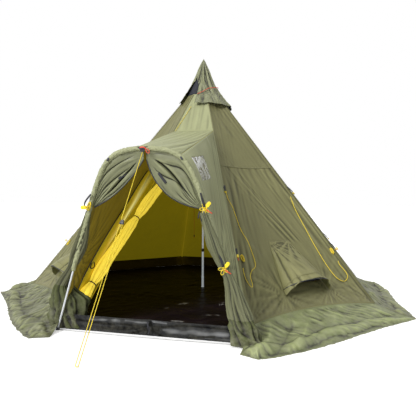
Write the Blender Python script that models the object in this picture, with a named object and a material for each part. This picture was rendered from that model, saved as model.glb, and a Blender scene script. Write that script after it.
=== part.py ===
"""A lavvu tent with a porch: an eight-sided fabric wall on one telescopic pole, a snow skirt,
an arch-poled porch with its doors drawn back, and a yellow inner tent on a tub groundsheet.

Metres, +Z up. The origin is on the ground under the pole, and the porch looks along -Y.
"""

import math

import bmesh
import bpy
from mathutils import Vector
from mathutils.bvhtree import BVHTree

# Outer wall: eight ridges run from the hem corners towards one peak
SIDES = 8
HEM_CORNER_R = 2.00
HEM_Z = 0.09
HEM_RISE = 0.05
PEAK_Z = 2.58
WALL_TOP_Z = 2.33
WALL_SAG = 0.020
WALL_T = 0.002
WALL_COLUMNS = 6
WALL_ROWS = 6
RIDGE_GAP = 0.0012
SEAM_GAP = 0.0006

# Snow skirt, as its width beyond the hem at both ends of a side
SKIRT_FRONT_W = (0.49, 0.35)
SKIRT_SIDE_W = (0.34, 0.28)
SKIRT_BACK_W = (0.28, 0.28)
SKIRT_T = 0.0025
SKIRT_FOLD = 0.024
SKIRT_FOLDS_A_METRE = 2.1
SKIRT_LIE_Z = 0.0004

# Cap over the top vent: depth and radius down its side, its hem, and the slit at its front left
CAP_TOP_Z = 2.80
CAP_HEM_Z = 2.185
CAP_HEM_LIFT = 0.085
CAP_PROFILE = (
    (0.0, 0.0), (0.045, 0.024), (0.12, 0.052), (0.22, 0.092), (0.34, 0.146), (0.46, 0.222),
    (0.55, 0.290), (0.63, 0.354),
)
CAP_ROWS = (0.075, 0.20, 0.37, 0.55, 0.75, 0.88, 1.0)
CAP_COLUMNS = 36
CAP_SLIT_ROW = 2
CAP_SLIT_TOP = math.radians(-40)
CAP_SLIT_FROM = math.radians(-54)
CAP_SLIT_TO = math.radians(-6)
CAP_FOLD = 0.006
CAP_FOLDS = 9
CAP_T = 0.002
NET_T = 0.0012
NET_BELOW_TIP = 0.085
NET_TOP_Z = CAP_TOP_Z - NET_BELOW_TIP

# Vents in the two front side walls
VENT_TOP_Z = 0.70
VENT_FOOT_Z = 0.30
VENT_TOP_HALF_W = 0.12
VENT_FOOT_HALF_W = 0.27
VENT_LIFT = 0.17
VENT_HOOD_T = 0.002
VENT_MARGIN = 0.035
LIP_R = 0.004
LIP_GAP = 0.0006

# Centre pole
POLE_R = 0.010
POLE_WALL = 0.0012
POLE_SLIDE_GAP = 0.0003
POLE_LOWER_WALL = 0.0018
POLE_LOWER_TOP_Z = 0.47
POLE_OVERLAP = 0.12
POLE_FOOT_H = 0.022
POLE_FOOT_FLARE = 0.004
POLE_RING_Z = 0.12
POLE_RING_H = 0.010
POLE_RING_OUT = 0.0016
COLLAR_WALL = 0.0042
COLLAR_H = 0.034
COLLAR_LIP_H = 0.004
COLLAR_LIP_GAP = 0.0012
COLLAR_RIBS = 10
COLLAR_RIB_DEPTH = 0.0008
PLUG_R = 0.017
PLUG_FLANGE_T = 0.009
PLUG_STEM_L = 0.030
REST_GAP = 0.0003

# Groundsheet
FLOOR_T = 0.003
TUB_H = 0.13
TUB_CORNER_R = 1.84
TUB_T = 0.002
SILL_Y = -2.03
SILL_HALF_W = 0.735
SILL_T = 0.003
SILL_LEAN = 0.019

# Inner tent
INNER_TOP_Z = 2.22
INNER_TOP_R = 0.16
INNER_SAG = 0.024
INNER_T = 0.0015
INNER_FRONT_Z = 1.42
INNER_FRONT_TURN = math.radians(12)

# Rolled inner door: heights, and how far in from the inner tent's front left ridge
ROLL_R = 0.050
ROLL_FOOT = Vector((-0.675, -1.968, 0.062))
ROLL_ROUTE = (
    (0.22, 0.066), (0.35, 0.068), (0.50, 0.074), (0.70, 0.088), (0.90, 0.106), (1.10, 0.130),
)
ROLL_TIES = (0.33, 0.74)

# Porch arch: two straight legs, then one curve over the crown
ARCH_FOOT_HALF_W = 0.79
ARCH_FOOT_Y = -2.07
ARCH_LEAN = 0.075
ARCH_LEG_SLOPE = 0.317
ARCH_BEND_Z = 1.02
ARCH_CROWN_Z = 1.472
ARCH_BEND_PULL = 0.38
ARCH_CROWN_PULL = 0.30
ARCH_POLE_R = 0.008
ARCH_POLE_WALL = 0.001
ARCH_FOOT_Z = 0.012
ARCH_JOIN_Z = 0.98
ARCH_SPIGOT_L = 0.06
ARCH_SPIGOT_GAP = 0.0005
FOOT_TAB_R = 0.019
FOOT_CUP_H = 0.020
FOOT_CUP_WALL = 0.003
FOOT_CUP_PLAY = 0.0008

# Porch cloth
SHOULDER_Z = 1.41
SLEEVE_R = 0.021
SLEEVE_GATHER = 0.0012
SLEEVE_BORE_GAP = 0.0008
SLEEVE_END_Z = 0.50
ROOF_SEAM_Z = 1.83
PORCH_T = 0.002
PORCH_SAG = 0.030
CLOTH_SEAM = 0.0035
BUCKLE_Z = 1.015
WINDOW_HALF_L = 0.225
WINDOW_HALF_H = 0.105
FLAP_T = 0.0025
FLAP_FOLD = 0.013
FLAP_FOLDS = 3
FLAP_PARTING = 0.006
SWAG_RIGHT = (0.10, 1.05)
SWAG_LEFT = (0.19, 1.12)
BUNDLE_FLUTES = 5
BUNDLE_FLUTE = 0.16

# Cords
GUY_R = 0.00275
CORD_LIE = 0.0008
FRONT_GUY_Z = 1.438
FRONT_GUY_BEND_R = 0.011
FRONT_PEG = Vector((-0.254, -2.79, 0.0032))
SLIDER_ALONG = 0.36
SLIDER_HALF_L = 0.017
SLIDER_HALF_W = 0.019
SLIDER_HALF_T = 0.0055
SLIDER_BORE_GAP = 0.0008
CAP_GUY_R = 0.0022
CAP_GUY_TOP = Vector((-0.078, -0.352, 2.172))
CAP_GUY_LOW = Vector((-0.205, -0.566, 1.850))
PULL_CORD_R = 0.0018
PULL_CORD_X = -0.11
PULL_CORD_LOW_Z = 0.60
PULL_KNOT_R = 0.0045
PULL_KNOT_H = 0.012
TOGGLE_R = 0.008
TOGGLE_H = 0.022
HANK_CORD_R = 0.003
HANK_LOOPS = 2.5
HANK_LOOP_POINTS = 14
HANK_STEP = 0.0074
HANK_HALF_L = 0.025
HANK_HALF_W = 0.0082
HANK_SQUARE = 0.75
HANK_WAIST = 0.14

OLIVE_DARK = (0.170, 0.158, 0.075, 1)
OLIVE_LIGHT = (0.255, 0.290, 0.135, 1)
YELLOW = (0.78, 0.60, 0.045, 1)
BLACK = (0.02, 0.02, 0.022, 1)
STEEL = (0.62, 0.64, 0.66, 1)


# Materials

def principled(name, colour, roughness, metallic=0.0, alpha=1.0):
    """One Principled material for one object."""
    material = bpy.data.materials.new(name)
    material.use_nodes = True
    shader = material.node_tree.nodes["Principled BSDF"]
    shader.inputs["Base Color"].default_value = colour
    shader.inputs["Roughness"].default_value = roughness
    shader.inputs["Metallic"].default_value = metallic
    shader.inputs["Alpha"].default_value = alpha
    material.diffuse_color = colour
    return material


# Mesh helpers

def add_mesh(name, points, faces, look, origin=(0, 0, 0)):
    """A mesh object with its origin where it is asked for, smooth with sharp creases."""
    place = Vector(origin)
    mesh = bpy.data.meshes.new(name)
    mesh.from_pydata([tuple(Vector(p) - place) for p in points], [], faces)
    mesh.validate()
    mesh.shade_smooth()
    mesh.set_sharp_from_angle(angle=math.radians(35))
    mesh.materials.append(principled(name + "_finish", *look))
    piece = bpy.data.objects.new(name, mesh)
    piece.location = place
    bpy.context.scene.collection.objects.link(piece)
    return piece


def edit_mesh(piece, operation, **options):
    """Runs one bmesh operator on a piece."""
    work = bmesh.new()
    work.from_mesh(piece.data)
    operation(work, **options)
    work.to_mesh(piece.data)
    work.free()


def grid_faces(rows, columns, closed=False):
    """Quads of a grid whose rows rise and whose columns run to the right, seen from outside."""
    faces = []
    wrap = columns if closed else columns - 1
    for row in range(rows - 1):
        for column in range(wrap):
            right = (column + 1) % columns
            low = row * columns
            high = low + columns
            faces.append((low + column, low + right, high + right, high + column))
    return faces


def sheet(name, grid, thickness, look, outward=False, closed=False):
    """Cloth of one thickness behind, or in front of, a grid of points."""
    points = [point for row in grid for point in row]
    piece = add_mesh(name, points, grid_faces(len(grid), len(grid[0]), closed), look)
    cloth = piece.modifiers.new("Cloth thickness", "SOLIDIFY")
    cloth.thickness = thickness
    cloth.offset = 1.0 if outward else -1.0
    return piece


def merge_axis_points(work):
    """Joins the points that meet on an axis, and drops the faces that collapse there."""
    bmesh.ops.remove_doubles(work, verts=work.verts, dist=0.00001)
    bmesh.ops.dissolve_degenerate(work, edges=work.edges, dist=0.00001)


def lathe(name, profile, sides, look, place=(0, 0, 0)):
    """A turned solid about Z. The profile is a closed outline of (radius, height), outer side upwards."""
    points = []
    faces = []
    count = len(profile)
    for step in range(sides):
        angle = 2 * math.pi * step / sides
        for radius, height in profile:
            points.append(Vector((radius * math.cos(angle), radius * math.sin(angle), height)))
    for step in range(sides):
        here = step * count
        there = ((step + 1) % sides) * count
        for row in range(count):
            after = (row + 1) % count
            faces.append((here + row, there + row, there + after, here + after))
    piece = add_mesh(name, points, faces, look)
    edit_mesh(piece, merge_axis_points)
    piece.location = place
    return piece


def frames_along(path):
    """Two directions square to the path at each point, carried along it without twisting."""
    frames = []
    side = None
    for index in range(len(path)):
        before = path[max(index - 1, 0)]
        after = path[min(index + 1, len(path) - 1)]
        along = (after - before).normalized()
        if side is None:
            side = along.orthogonal().normalized()
        side = (side - along * side.dot(along)).normalized()
        frames.append((side, along.cross(side)))
    return frames


def swept(name, path, radii, sides, look, bore=None, origin=(0, 0, 0)):
    """A round bar along a path, with one radius for each point, solid or with a bore open at both ends."""
    points = []
    faces = []
    frames = frames_along(path)
    for shell in (radii, bore or []):
        for centre, radius, (side, other) in zip(path, shell, frames):
            for step in range(sides):
                angle = 2 * math.pi * step / sides
                points.append(centre + radius * (math.cos(angle) * side + math.sin(angle) * other))
    stations = len(path)
    inner = stations * sides
    last = (stations - 1) * sides
    for step in range(sides):
        turn = (step + 1) % sides
        for station in range(stations - 1):
            low = station * sides
            high = low + sides
            faces.append((low + step, low + turn, high + turn, high + step))
            if bore:
                faces.append((inner + low + turn, inner + low + step, inner + high + step, inner + high + turn))
        if bore:
            faces.append((inner + step, inner + turn, turn, step))
            faces.append((last + step, last + turn, inner + last + turn, inner + last + step))
    if not bore:
        faces.append(tuple(reversed(range(sides))))
        faces.append(tuple(range(last, last + sides)))
    return add_mesh(name, points, faces, look, origin)


def cord(name, points, radius, look, resolution=2, knot=None):
    """A round cord with filled ends along a list of points, perhaps with a knot at its far end."""
    curve = bpy.data.curves.new(name, "CURVE")
    curve.dimensions = "3D"
    curve.bevel_depth = radius
    curve.bevel_resolution = resolution
    curve.use_fill_caps = True
    spline = curve.splines.new("POLY")
    spline.points.add(len(points) - 1)
    for target, point in zip(spline.points, points):
        target.co = (*point, 1.0)
    if knot:
        for target in spline.points[-3:-1]:
            target.radius = knot / radius
    curve.materials.append(principled(name + "_finish", *look))
    piece = bpy.data.objects.new(name, curve)
    bpy.context.scene.collection.objects.link(piece)
    return piece


def evenly(fine, count):
    """The same path with evenly spaced points."""
    lengths = [0.0]
    for a, b in zip(fine, fine[1:]):
        lengths.append(lengths[-1] + (b - a).length)
    points = []
    at = 0
    for step in range(count):
        goal = lengths[-1] * step / (count - 1)
        while at < len(fine) - 2 and lengths[at + 1] < goal:
            at += 1
        span = max(lengths[at + 1] - lengths[at], 1e-9)
        points.append(fine[at].lerp(fine[at + 1], min(max((goal - lengths[at]) / span, 0.0), 1.0)))
    return points


def smooth_path(knots, count):
    """Evenly spaced points on a smooth curve through a few knots."""
    fine = []
    ends = [knots[0] * 2 - knots[1]] + list(knots) + [knots[-1] * 2 - knots[-2]]
    for index in range(1, len(ends) - 2):
        p0, p1, p2, p3 = ends[index - 1:index + 3]
        for step in range(24):
            t = step / 24
            fine.append(0.5 * (2 * p1 + (p2 - p0) * t + (2 * p0 - 5 * p1 + 4 * p2 - p3) * t ** 2
                               + (3 * p1 - p0 - 3 * p2 + p3) * t ** 3))
    fine.append(knots[-1])
    return evenly(fine, count)


def cut(piece, cutter, operation="DIFFERENCE"):
    """A Boolean with a hidden cutter."""
    modifier = piece.modifiers.new("Cut", "BOOLEAN")
    modifier.operation = operation
    modifier.solver = "EXACT"
    modifier.object = cutter
    cutter.hide_render = True
    cutter.display_type = "WIRE"


def face_outwards(work):
    bmesh.ops.recalc_face_normals(work, faces=work.faces)


def prism(name, outline, depth):
    """A cutter: an outline pushed both ways along one direction."""
    count = len(outline)
    points = [p - depth for p in outline] + [p + depth for p in outline]
    faces = [tuple(reversed(range(count))), tuple(range(count, 2 * count))]
    for index in range(count):
        after = (index + 1) % count
        faces.append((index, after, count + after, count + index))
    piece = add_mesh(name, points, faces, (OLIVE_DARK, 0.8))
    edit_mesh(piece, face_outwards)
    piece.hide_render = True
    return piece


def surface_of(piece):
    """A finished piece's faces, ready to be measured against."""
    bpy.context.view_layer.update()
    return BVHTree.FromObject(piece, bpy.context.evaluated_depsgraph_get())


def drop_distance(surface, points, down, radius):
    """How far a cord's points may move along a direction until it lies a little off the surface."""
    reach = 0.3
    nearest = reach
    for point in points:
        hit = surface.ray_cast(point - down * reach, down)
        if hit[0]:
            nearest = min(nearest, (hit[0] - point).dot(down) - radius - CORD_LIE)
    return nearest


def least_gap(points, radius):
    """The smallest clear distance between turns of one cord that aren't next to each other along it."""
    smallest = math.inf
    travelled = [0.0]
    for a, b in zip(points, points[1:]):
        travelled.append(travelled[-1] + (b - a).length)
    for first in range(len(points)):
        for second in range(first + 1, len(points) - 1):
            if travelled[second] - travelled[first] < 6 * radius:
                continue
            a, b = points[second], points[second + 1]
            share = min(max((points[first] - a).dot(b - a) / (b - a).length_squared, 0.0), 1.0)
            smallest = min(smallest, (points[first] - a.lerp(b, share)).length - 2 * radius)
    return smallest


# Where the fabric shells lie

def ridge_direction(ridge):
    """Level direction of one ridge: ridge 0 is just right of the porch, ridge 7 just left of it."""
    angle = 2 * math.pi * (ridge + 0.5) / SIDES
    return Vector((math.sin(angle), -math.cos(angle), 0))


def outer_radius(z):
    return HEM_CORNER_R * (PEAK_Z - z) / (PEAK_Z - HEM_Z)


def outer_ridge(ridge, z):
    return ridge_direction(ridge) * outer_radius(z) + Vector((0, 0, z))


def face_normal(line, side, low_z, high_z):
    """The outward direction of the flat face between two ridges."""
    left = line(side, low_z)
    return (line(side + 1, low_z) - left).cross(line(side, high_z) - left).normalized()


def wall_point(line, side, across, z, low_z, high_z, sag):
    """A point on one face of a ridged wall, hollowed a little between its ridges."""
    left = line(side, z)
    right = line(side + 1, z)
    share = min(max((z - low_z) / (high_z - low_z), 0.0), 1.0)
    width = (line(side + 1, low_z) - line(side, low_z)).length
    hollow = sag * width * 4 * across * (1 - across) * math.sin(math.pi * share) ** 0.8
    return left.lerp(right, across) - face_normal(line, side, low_z, high_z) * hollow


def hem_height(across):
    return HEM_Z + HEM_RISE * 4 * across * (1 - across)


def draw_back(line, gap):
    """Moves both ends of a line of points inwards a little, so that neighbours don't touch."""
    line[0] = line[0] + (line[1] - line[0]).normalized() * gap
    line[-1] = line[-1] + (line[-2] - line[-1]).normalized() * gap


def wall_grid(line, sides, low_z, high_z, sag, columns, rows, hem=None):
    """Rows of points over one or more neighbouring faces, drawn back from the ridges at both ends."""
    grid = []
    for row in range(rows + 1):
        points = []
        for index, side in enumerate(sides):
            for step in range(1 if index else 0, columns + 1):
                across = step / columns
                foot = hem(across) if hem else low_z
                z = foot + (high_z - foot) * row / rows
                points.append(wall_point(line, side, across, z, low_z, high_z, sag))
        draw_back(points, RIDGE_GAP)
        grid.append(points)
    return grid


def outer_wall(name, sides):
    grid = wall_grid(outer_ridge, sides, HEM_Z, WALL_TOP_Z, WALL_SAG, WALL_COLUMNS, WALL_ROWS, hem_height)
    return sheet(name, grid, WALL_T, (OLIVE_DARK, 0.75))


# Outer wall, its vents and its skirt

def wall_normal(side):
    return face_normal(outer_ridge, side, HEM_Z, WALL_TOP_Z)


def vent_spot(side, across_m, z, lift):
    """A point on a vented wall: metres right of its middle, height, and metres off the cloth."""
    width = (outer_ridge(side + 1, z) - outer_ridge(side, z)).length
    point = wall_point(outer_ridge, side, 0.5 + across_m / width, z, HEM_Z, WALL_TOP_Z, WALL_SAG)
    return point + wall_normal(side) * lift


def vent_outline(side, inset):
    """The opening behind a hood, inset from the hood's own edges."""
    return [
        vent_spot(side, -VENT_FOOT_HALF_W + inset, VENT_FOOT_Z + inset, 0),
        vent_spot(side, VENT_FOOT_HALF_W - inset, VENT_FOOT_Z + inset, 0),
        vent_spot(side, VENT_TOP_HALF_W - inset, VENT_TOP_Z - inset, 0),
        vent_spot(side, -VENT_TOP_HALF_W + inset, VENT_TOP_Z - inset, 0),
    ]


def vented_wall(hand, side):
    """A wall face with its vent opening, and the net that fills the opening."""
    depth = wall_normal(side) * 0.12
    wall = outer_wall("outer_panel_front_" + hand, [side])
    cut(wall, prism("vent_cutter_" + hand, vent_outline(side, VENT_MARGIN), depth))
    net = outer_wall("vent_net_" + hand, [side])
    cut(net, prism("net_cutter_" + hand, vent_outline(side, VENT_MARGIN + SEAM_GAP), depth), "INTERSECT")
    return wall


def vent_hood(hand, side, wall):
    """A scoop of cloth, narrow and flat at its top and held out over the opening at its foot."""
    rows = 4
    columns = 10
    surface = surface_of(wall)
    down = -wall_normal(side)
    grid = []
    for row in range(rows + 1):
        share = 1 - row / rows
        half = VENT_TOP_HALF_W + (VENT_FOOT_HALF_W - VENT_TOP_HALF_W) * share
        z = VENT_TOP_Z + (VENT_FOOT_Z - VENT_TOP_Z) * share
        line = []
        for column in range(columns + 1):
            across = -math.cos(math.pi * column / columns)
            arc = math.sin(math.pi * column / columns)
            sewn = vent_spot(side, half * across, z, 0)
            if row == rows or column in (0, columns):
                sewn += down * drop_distance(surface, [sewn], down, 0)
            line.append(sewn - down * (VENT_LIFT * share ** 1.1 * arc))
        grid.append(line)
    return sheet("vent_hood_" + hand, grid, VENT_HOOD_T, (OLIVE_DARK, 0.75), outward=True)


def vent_lip(hand, side):
    """The hoop that holds a hood open. It turns on a line through its two feet."""
    steps = 12
    drop = wall_normal(side).cross(ridge_direction(side + 0.5).cross(Vector((0, 0, 1)))).normalized()
    drop = drop if drop.z < 0 else -drop
    path = []
    for step in range(steps + 1):
        angle = math.pi * step / steps
        across = -math.cos(angle) * (VENT_FOOT_HALF_W - 2 * LIP_R)
        lift = 2 * LIP_R + (VENT_LIFT - 2 * LIP_R) * math.sin(angle)
        path.append(vent_spot(side, across, VENT_FOOT_Z, lift) + drop * (LIP_R + LIP_GAP))
    origin = path[0].lerp(path[-1], 0.5)
    return swept("vent_lip_" + hand, path, [LIP_R] * len(path), 8, (BLACK, 0.5), origin=origin)


def skirt(name, hems, outers, phase):
    """Cloth that falls from the hem and lies out on the ground in shallow folds."""
    rows = 4
    travelled = [0.0]
    for a, b in zip(outers, outers[1:]):
        travelled.append(travelled[-1] + (b - a).length)
    lie = SKIRT_T + SKIRT_LIE_Z
    grid = []
    for row in range(rows + 1):
        share = 1 - row / rows
        line = []
        for hem, outer, along in zip(hems, outers, travelled):
            wave = math.sin(2 * math.pi * SKIRT_FOLDS_A_METRE * along + phase + 1.7 * share)
            slow = math.sin(2 * math.pi * 0.9 * along + 2.1 * phase + 3.0 * share)
            fold = SKIRT_FOLD * math.sin(math.pi * share) * (0.6 + 0.4 * wave) * (0.75 + 0.25 * slow)
            level = hem.lerp(outer, share)
            line.append(Vector((level.x, level.y, lie + (hem.z - lie) * (1 - share) ** 1.7 + fold)))
        grid.append(line)
    return sheet(name, grid, SKIRT_T, (OLIVE_LIGHT, 0.8))


def hem_point(side, across):
    """A point just off the wall's hem, where the skirt is sewn on."""
    point = wall_point(outer_ridge, side, across, hem_height(across), HEM_Z, WALL_TOP_Z, WALL_SAG)
    return point + wall_normal(side) * SEAM_GAP - Vector((0, 0, SEAM_GAP))


def skirt_run(sides, widths, split=2):
    """Hem and outer edge of the skirt along some faces. Its hem keeps to the wall's own straight steps."""
    hems = []
    outers = []
    columns = WALL_COLUMNS * split
    for index, side in enumerate(sides):
        for step in range(1 if index else 0, columns + 1):
            across = step / columns
            before = hem_point(side, (step // split) / WALL_COLUMNS)
            after = hem_point(side, min(step // split + 1, WALL_COLUMNS) / WALL_COLUMNS)
            hem = before.lerp(after, (step % split) / split)
            edge = outer_ridge(side, 0).lerp(outer_ridge(side + 1, 0), across)
            hem_r = edge.length * outer_radius(HEM_Z) / outer_radius(0)
            width = widths[0] + (widths[1] - widths[0]) * across
            wobble = 0.018 * math.sin(7.3 * across + 2 * side)
            hems.append(hem)
            outers.append(edge.normalized() * (hem_r + width + wobble))
    return hems, outers


def add_skirts():
    """Five lengths of skirt. The front ones carry on round the porch walls to the arch's feet."""
    back_w = SKIRT_BACK_W
    left_w = tuple(reversed(SKIRT_SIDE_W))
    for name, sides, widths in (
        ("skirt_right", [1], SKIRT_SIDE_W),
        ("skirt_back", [2, 3, 4], back_w),
        ("skirt_left", [5], left_w),
    ):
        hems, outers = skirt_run(sides, widths)
        draw_back(hems, RIDGE_GAP)
        draw_back(outers, RIDGE_GAP)
        skirt(name, hems, outers, sides[0] * 1.3)
    hems, outers = skirt_run([0], SKIRT_FRONT_W)
    foot = arch_at_height(1, HEM_Z)
    down = Vector((0, 0, -SEAM_GAP))
    clear = Vector((SEAM_GAP, 0, 0))
    corner = outer_ridge(0, HEM_Z) + clear + down
    leg = foot + Vector((ARCH_POLE_R + 0.004, 0.012, 0)) + down
    hems = [leg, leg.lerp(corner, 0.5) + clear, corner + clear] + hems[1:]
    outers = [
        Vector((foot.x + 0.045, foot.y - 0.25, 0)),
        Vector((foot.x + 0.13, foot.y - 0.265, 0)),
        outers[0],
    ] + outers[1:]
    hems[-1] = hems[-1] + (hems[-2] - hems[-1]).normalized() * RIDGE_GAP
    outers[-1] = outers[-1] + (outers[-2] - outers[-1]).normalized() * RIDGE_GAP
    skirt("skirt_front_right", hems, outers, 0.4)
    hems = [Vector((-p.x, p.y, p.z)) for p in reversed(hems)]
    outers = [Vector((-p.x, p.y, p.z)) for p in reversed(outers)]
    skirt("skirt_front_left", hems, outers, 2.2)


# Cap and top net

def cap_radius(z):
    """The cap's radius at a height, read from its profile."""
    depth = CAP_TOP_Z - z
    for (high, narrow), (low, wide) in zip(CAP_PROFILE, CAP_PROFILE[1:]):
        if depth <= low:
            return narrow + (wide - narrow) * (depth - high) / (low - high)
    return CAP_PROFILE[-1][1]


def cap_point(angle, share):
    """A point on the cap: its hem is drawn up beside the slit, and its folds deepen downwards."""
    turn = (angle - math.radians(-82) + math.pi) % (2 * math.pi) - math.pi
    hem = CAP_HEM_Z + CAP_HEM_LIFT * math.exp(-(turn / math.radians(32)) ** 2) + 0.008 * math.sin(2 * angle + 0.6)
    z = CAP_TOP_Z - (CAP_TOP_Z - hem) * share
    radius = cap_radius(z) + CAP_FOLD * (0.25 + 0.75 * share) * math.cos(CAP_FOLDS * angle)
    return Vector((radius * math.sin(angle), -radius * math.cos(angle), z))


def add_cap():
    """A gathered hood on the pole's tip. It is whole at the top and slit at one side from there down."""
    around = CAP_COLUMNS
    points = [Vector((0, 0, CAP_TOP_Z))]
    rows = []
    for row, share in enumerate(CAP_ROWS):
        opened = min(max((row - CAP_SLIT_ROW) / 2, 0.0), 1.0)
        start = CAP_SLIT_TOP + (CAP_SLIT_TO - CAP_SLIT_TOP) * opened
        end = CAP_SLIT_TOP + (CAP_SLIT_FROM - CAP_SLIT_TOP) * opened + 2 * math.pi
        line = []
        for step in range(around + (1 if row > CAP_SLIT_ROW else 0)):
            line.append(len(points))
            points.append(cap_point(start + (end - start) * step / around, share))
        rows.append(line)
    faces = [(0, rows[0][step], rows[0][(step + 1) % around]) for step in range(around)]
    for upper, lower in zip(rows, rows[1:]):
        for step in range(around):
            low_next = lower[(step + 1) % len(lower)]
            high_next = upper[(step + 1) % len(upper)]
            faces.append((lower[step], low_next, high_next, upper[step]))
    piece = add_mesh("cap_hood", points, faces, (OLIVE_LIGHT, 0.8))
    cloth = piece.modifiers.new("Cloth thickness", "SOLIDIFY")
    cloth.thickness = CAP_T
    cloth.offset = -1.0
    return piece


def net_radius(z):
    """The top net's corner radius: from the walls' top ring in to the plug's flange."""
    foot_r = outer_radius(WALL_TOP_Z)
    top_r = (PLUG_R + SEAM_GAP + NET_T) / math.cos(math.pi / SIDES)
    foot_z = WALL_TOP_Z + SEAM_GAP
    return foot_r + (top_r - foot_r) * (z - foot_z) / (NET_TOP_Z - foot_z)


def add_top_net():
    """The fly net that carries the walls' top ring up to the pole's tip."""
    rows = 3
    grid = []
    foot_z = WALL_TOP_Z + SEAM_GAP
    for row in range(rows + 1):
        z = foot_z + (NET_TOP_Z - foot_z) * row / rows
        grid.append([ridge_direction(ridge) * net_radius(z) + Vector((0, 0, z)) for ridge in range(SIDES)])
    return sheet("top_net", grid, NET_T, ((0.02, 0.022, 0.03, 1), 0.7), closed=True)


# Centre pole

def add_pole():
    """A thin upper tube that telescopes in a thicker lower one, with a twist collar, foot and top plug."""
    tube = (STEEL, 0.3, 0.9)
    plastic = (BLACK, 0.5)
    lower_bore = POLE_R + POLE_SLIDE_GAP
    lower_r = lower_bore + POLE_LOWER_WALL
    foot_r = lower_r + POLE_FOOT_FLARE
    ring_r = lower_r + POLE_RING_OUT
    foot_z = FLOOR_T + REST_GAP
    cup_z = foot_z + POLE_FOOT_H
    ring_top = POLE_RING_Z + POLE_RING_H
    plug_z = NET_TOP_Z - PLUG_FLANGE_T / 2
    upper_low = POLE_LOWER_TOP_Z - POLE_OVERLAP
    upper_top = plug_z - REST_GAP
    upper_bore = POLE_R - POLE_WALL
    lathe("pole_upper", [
        (upper_bore, upper_low), (POLE_R, upper_low), (POLE_R, upper_top), (upper_bore, upper_top),
    ], 20, tube)
    lathe("pole_lower", [
        (0.0, foot_z), (foot_r, foot_z), (foot_r, foot_z + 0.3 * POLE_FOOT_H), (ring_r, foot_z + 0.6 * POLE_FOOT_H),
        (ring_r, POLE_RING_Z), (ring_r + POLE_RING_OUT, POLE_RING_Z), (ring_r + POLE_RING_OUT, ring_top),
        (lower_r, ring_top + POLE_RING_OUT), (lower_r, POLE_LOWER_TOP_Z), (lower_bore, POLE_LOWER_TOP_Z),
        (lower_bore, cup_z), (0.0, cup_z),
    ], 20, tube)
    add_collar(lower_r, plastic)
    tip = CAP_TOP_Z - CAP_T - 0.0015
    stem_r = upper_bore - REST_GAP
    lathe("pole_top_plug", [
        (0.0, plug_z - PLUG_STEM_L), (stem_r, plug_z - PLUG_STEM_L), (stem_r, plug_z), (PLUG_R, plug_z),
        (PLUG_R, plug_z + PLUG_FLANGE_T), (0.011, plug_z + PLUG_STEM_L), (0.008, tip - 0.022),
        (0.0025, tip - 0.005), (0.0, tip),
    ], 16, plastic)


def add_collar(lower_r, look):
    """The ribbed twist collar: it turns on the lower tube and closes round the upper one."""
    bore = lower_r + POLE_SLIDE_GAP
    outer = bore + COLLAR_WALL
    low = POLE_LOWER_TOP_Z - COLLAR_H
    shoulder = POLE_LOWER_TOP_Z + POLE_SLIDE_GAP
    lip_r = POLE_R + COLLAR_LIP_GAP
    collar = lathe("pole_lock_collar", [
        (bore, low), (outer - 0.0015, low), (outer, low + 0.003), (outer, POLE_LOWER_TOP_Z),
        (outer - 0.002, shoulder + COLLAR_LIP_H), (lip_r, shoulder + COLLAR_LIP_H), (lip_r, shoulder), (bore, shoulder),
    ], COLLAR_RIBS * 2, look)
    step = math.pi / COLLAR_RIBS
    for vertex in collar.data.vertices:
        level = vertex.co.xy.length
        column = round(math.atan2(vertex.co.y, vertex.co.x) / step)
        if column % 2 and level > bore + 0.001:
            vertex.co.x *= 1 - COLLAR_RIB_DEPTH / level
            vertex.co.y *= 1 - COLLAR_RIB_DEPTH / level


# Groundsheet

def floor_corner(corner, radius=TUB_CORNER_R, half_w=SILL_HALF_W):
    """Corner 0 is the sill's right end, 1 to 8 go round the back, and 9 is the sill's left end."""
    if corner == 0:
        return Vector((half_w, SILL_Y, 0))
    if corner == SIDES + 1:
        return Vector((-half_w, SILL_Y, 0))
    return ridge_direction(corner - 1) * radius


def add_groundsheet():
    """The floor, the low wall round it and the raised sill across the porch."""
    outline = [floor_corner(corner) for corner in range(SIDES + 2)]
    count = len(outline)
    points = outline + [p + Vector((0, 0, FLOOR_T)) for p in outline]
    faces = [tuple(reversed(range(count))), tuple(range(count, 2 * count))]
    for index in range(count):
        after = (index + 1) % count
        faces.append((index, after, count + after, count + index))
    add_mesh("groundsheet_floor", points, faces, ((0.016, 0.012, 0.010, 1), 0.45))

    low = FLOOR_T + REST_GAP
    grid = []
    for z in (low, TUB_H):
        line = []
        for a, b in zip(outline, outline[1:]):
            line += [a.lerp(b, step / 2) + Vector((0, 0, z)) for step in range(2)]
        line.append(outline[-1] + Vector((0, 0, z)))
        grid.append(line)
    sheet("groundsheet_wall", grid, TUB_T, ((0.020, 0.015, 0.010, 1), 0.5))

    rows = 3
    columns = 14
    grid = []
    for row in range(rows + 1):
        share = row / rows
        line = []
        for column in range(columns + 1):
            x = -SILL_HALF_W + 2 * SILL_HALF_W * column / columns
            slack = 0.005 * math.sin(9.0 * x + 0.8) * math.sin(math.pi * share)
            drawn = 0.010 * math.exp(-(x / 0.09) ** 2) * share
            line.append(Vector((x, SILL_Y - SEAM_GAP - SILL_LEAN * share + slack + drawn, low + (TUB_H - low) * share)))
        grid.append(line)
    sheet("groundsheet_sill", grid, SILL_T, ((0.075, 0.078, 0.085, 1), 0.45), outward=True)


# Inner tent

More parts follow.
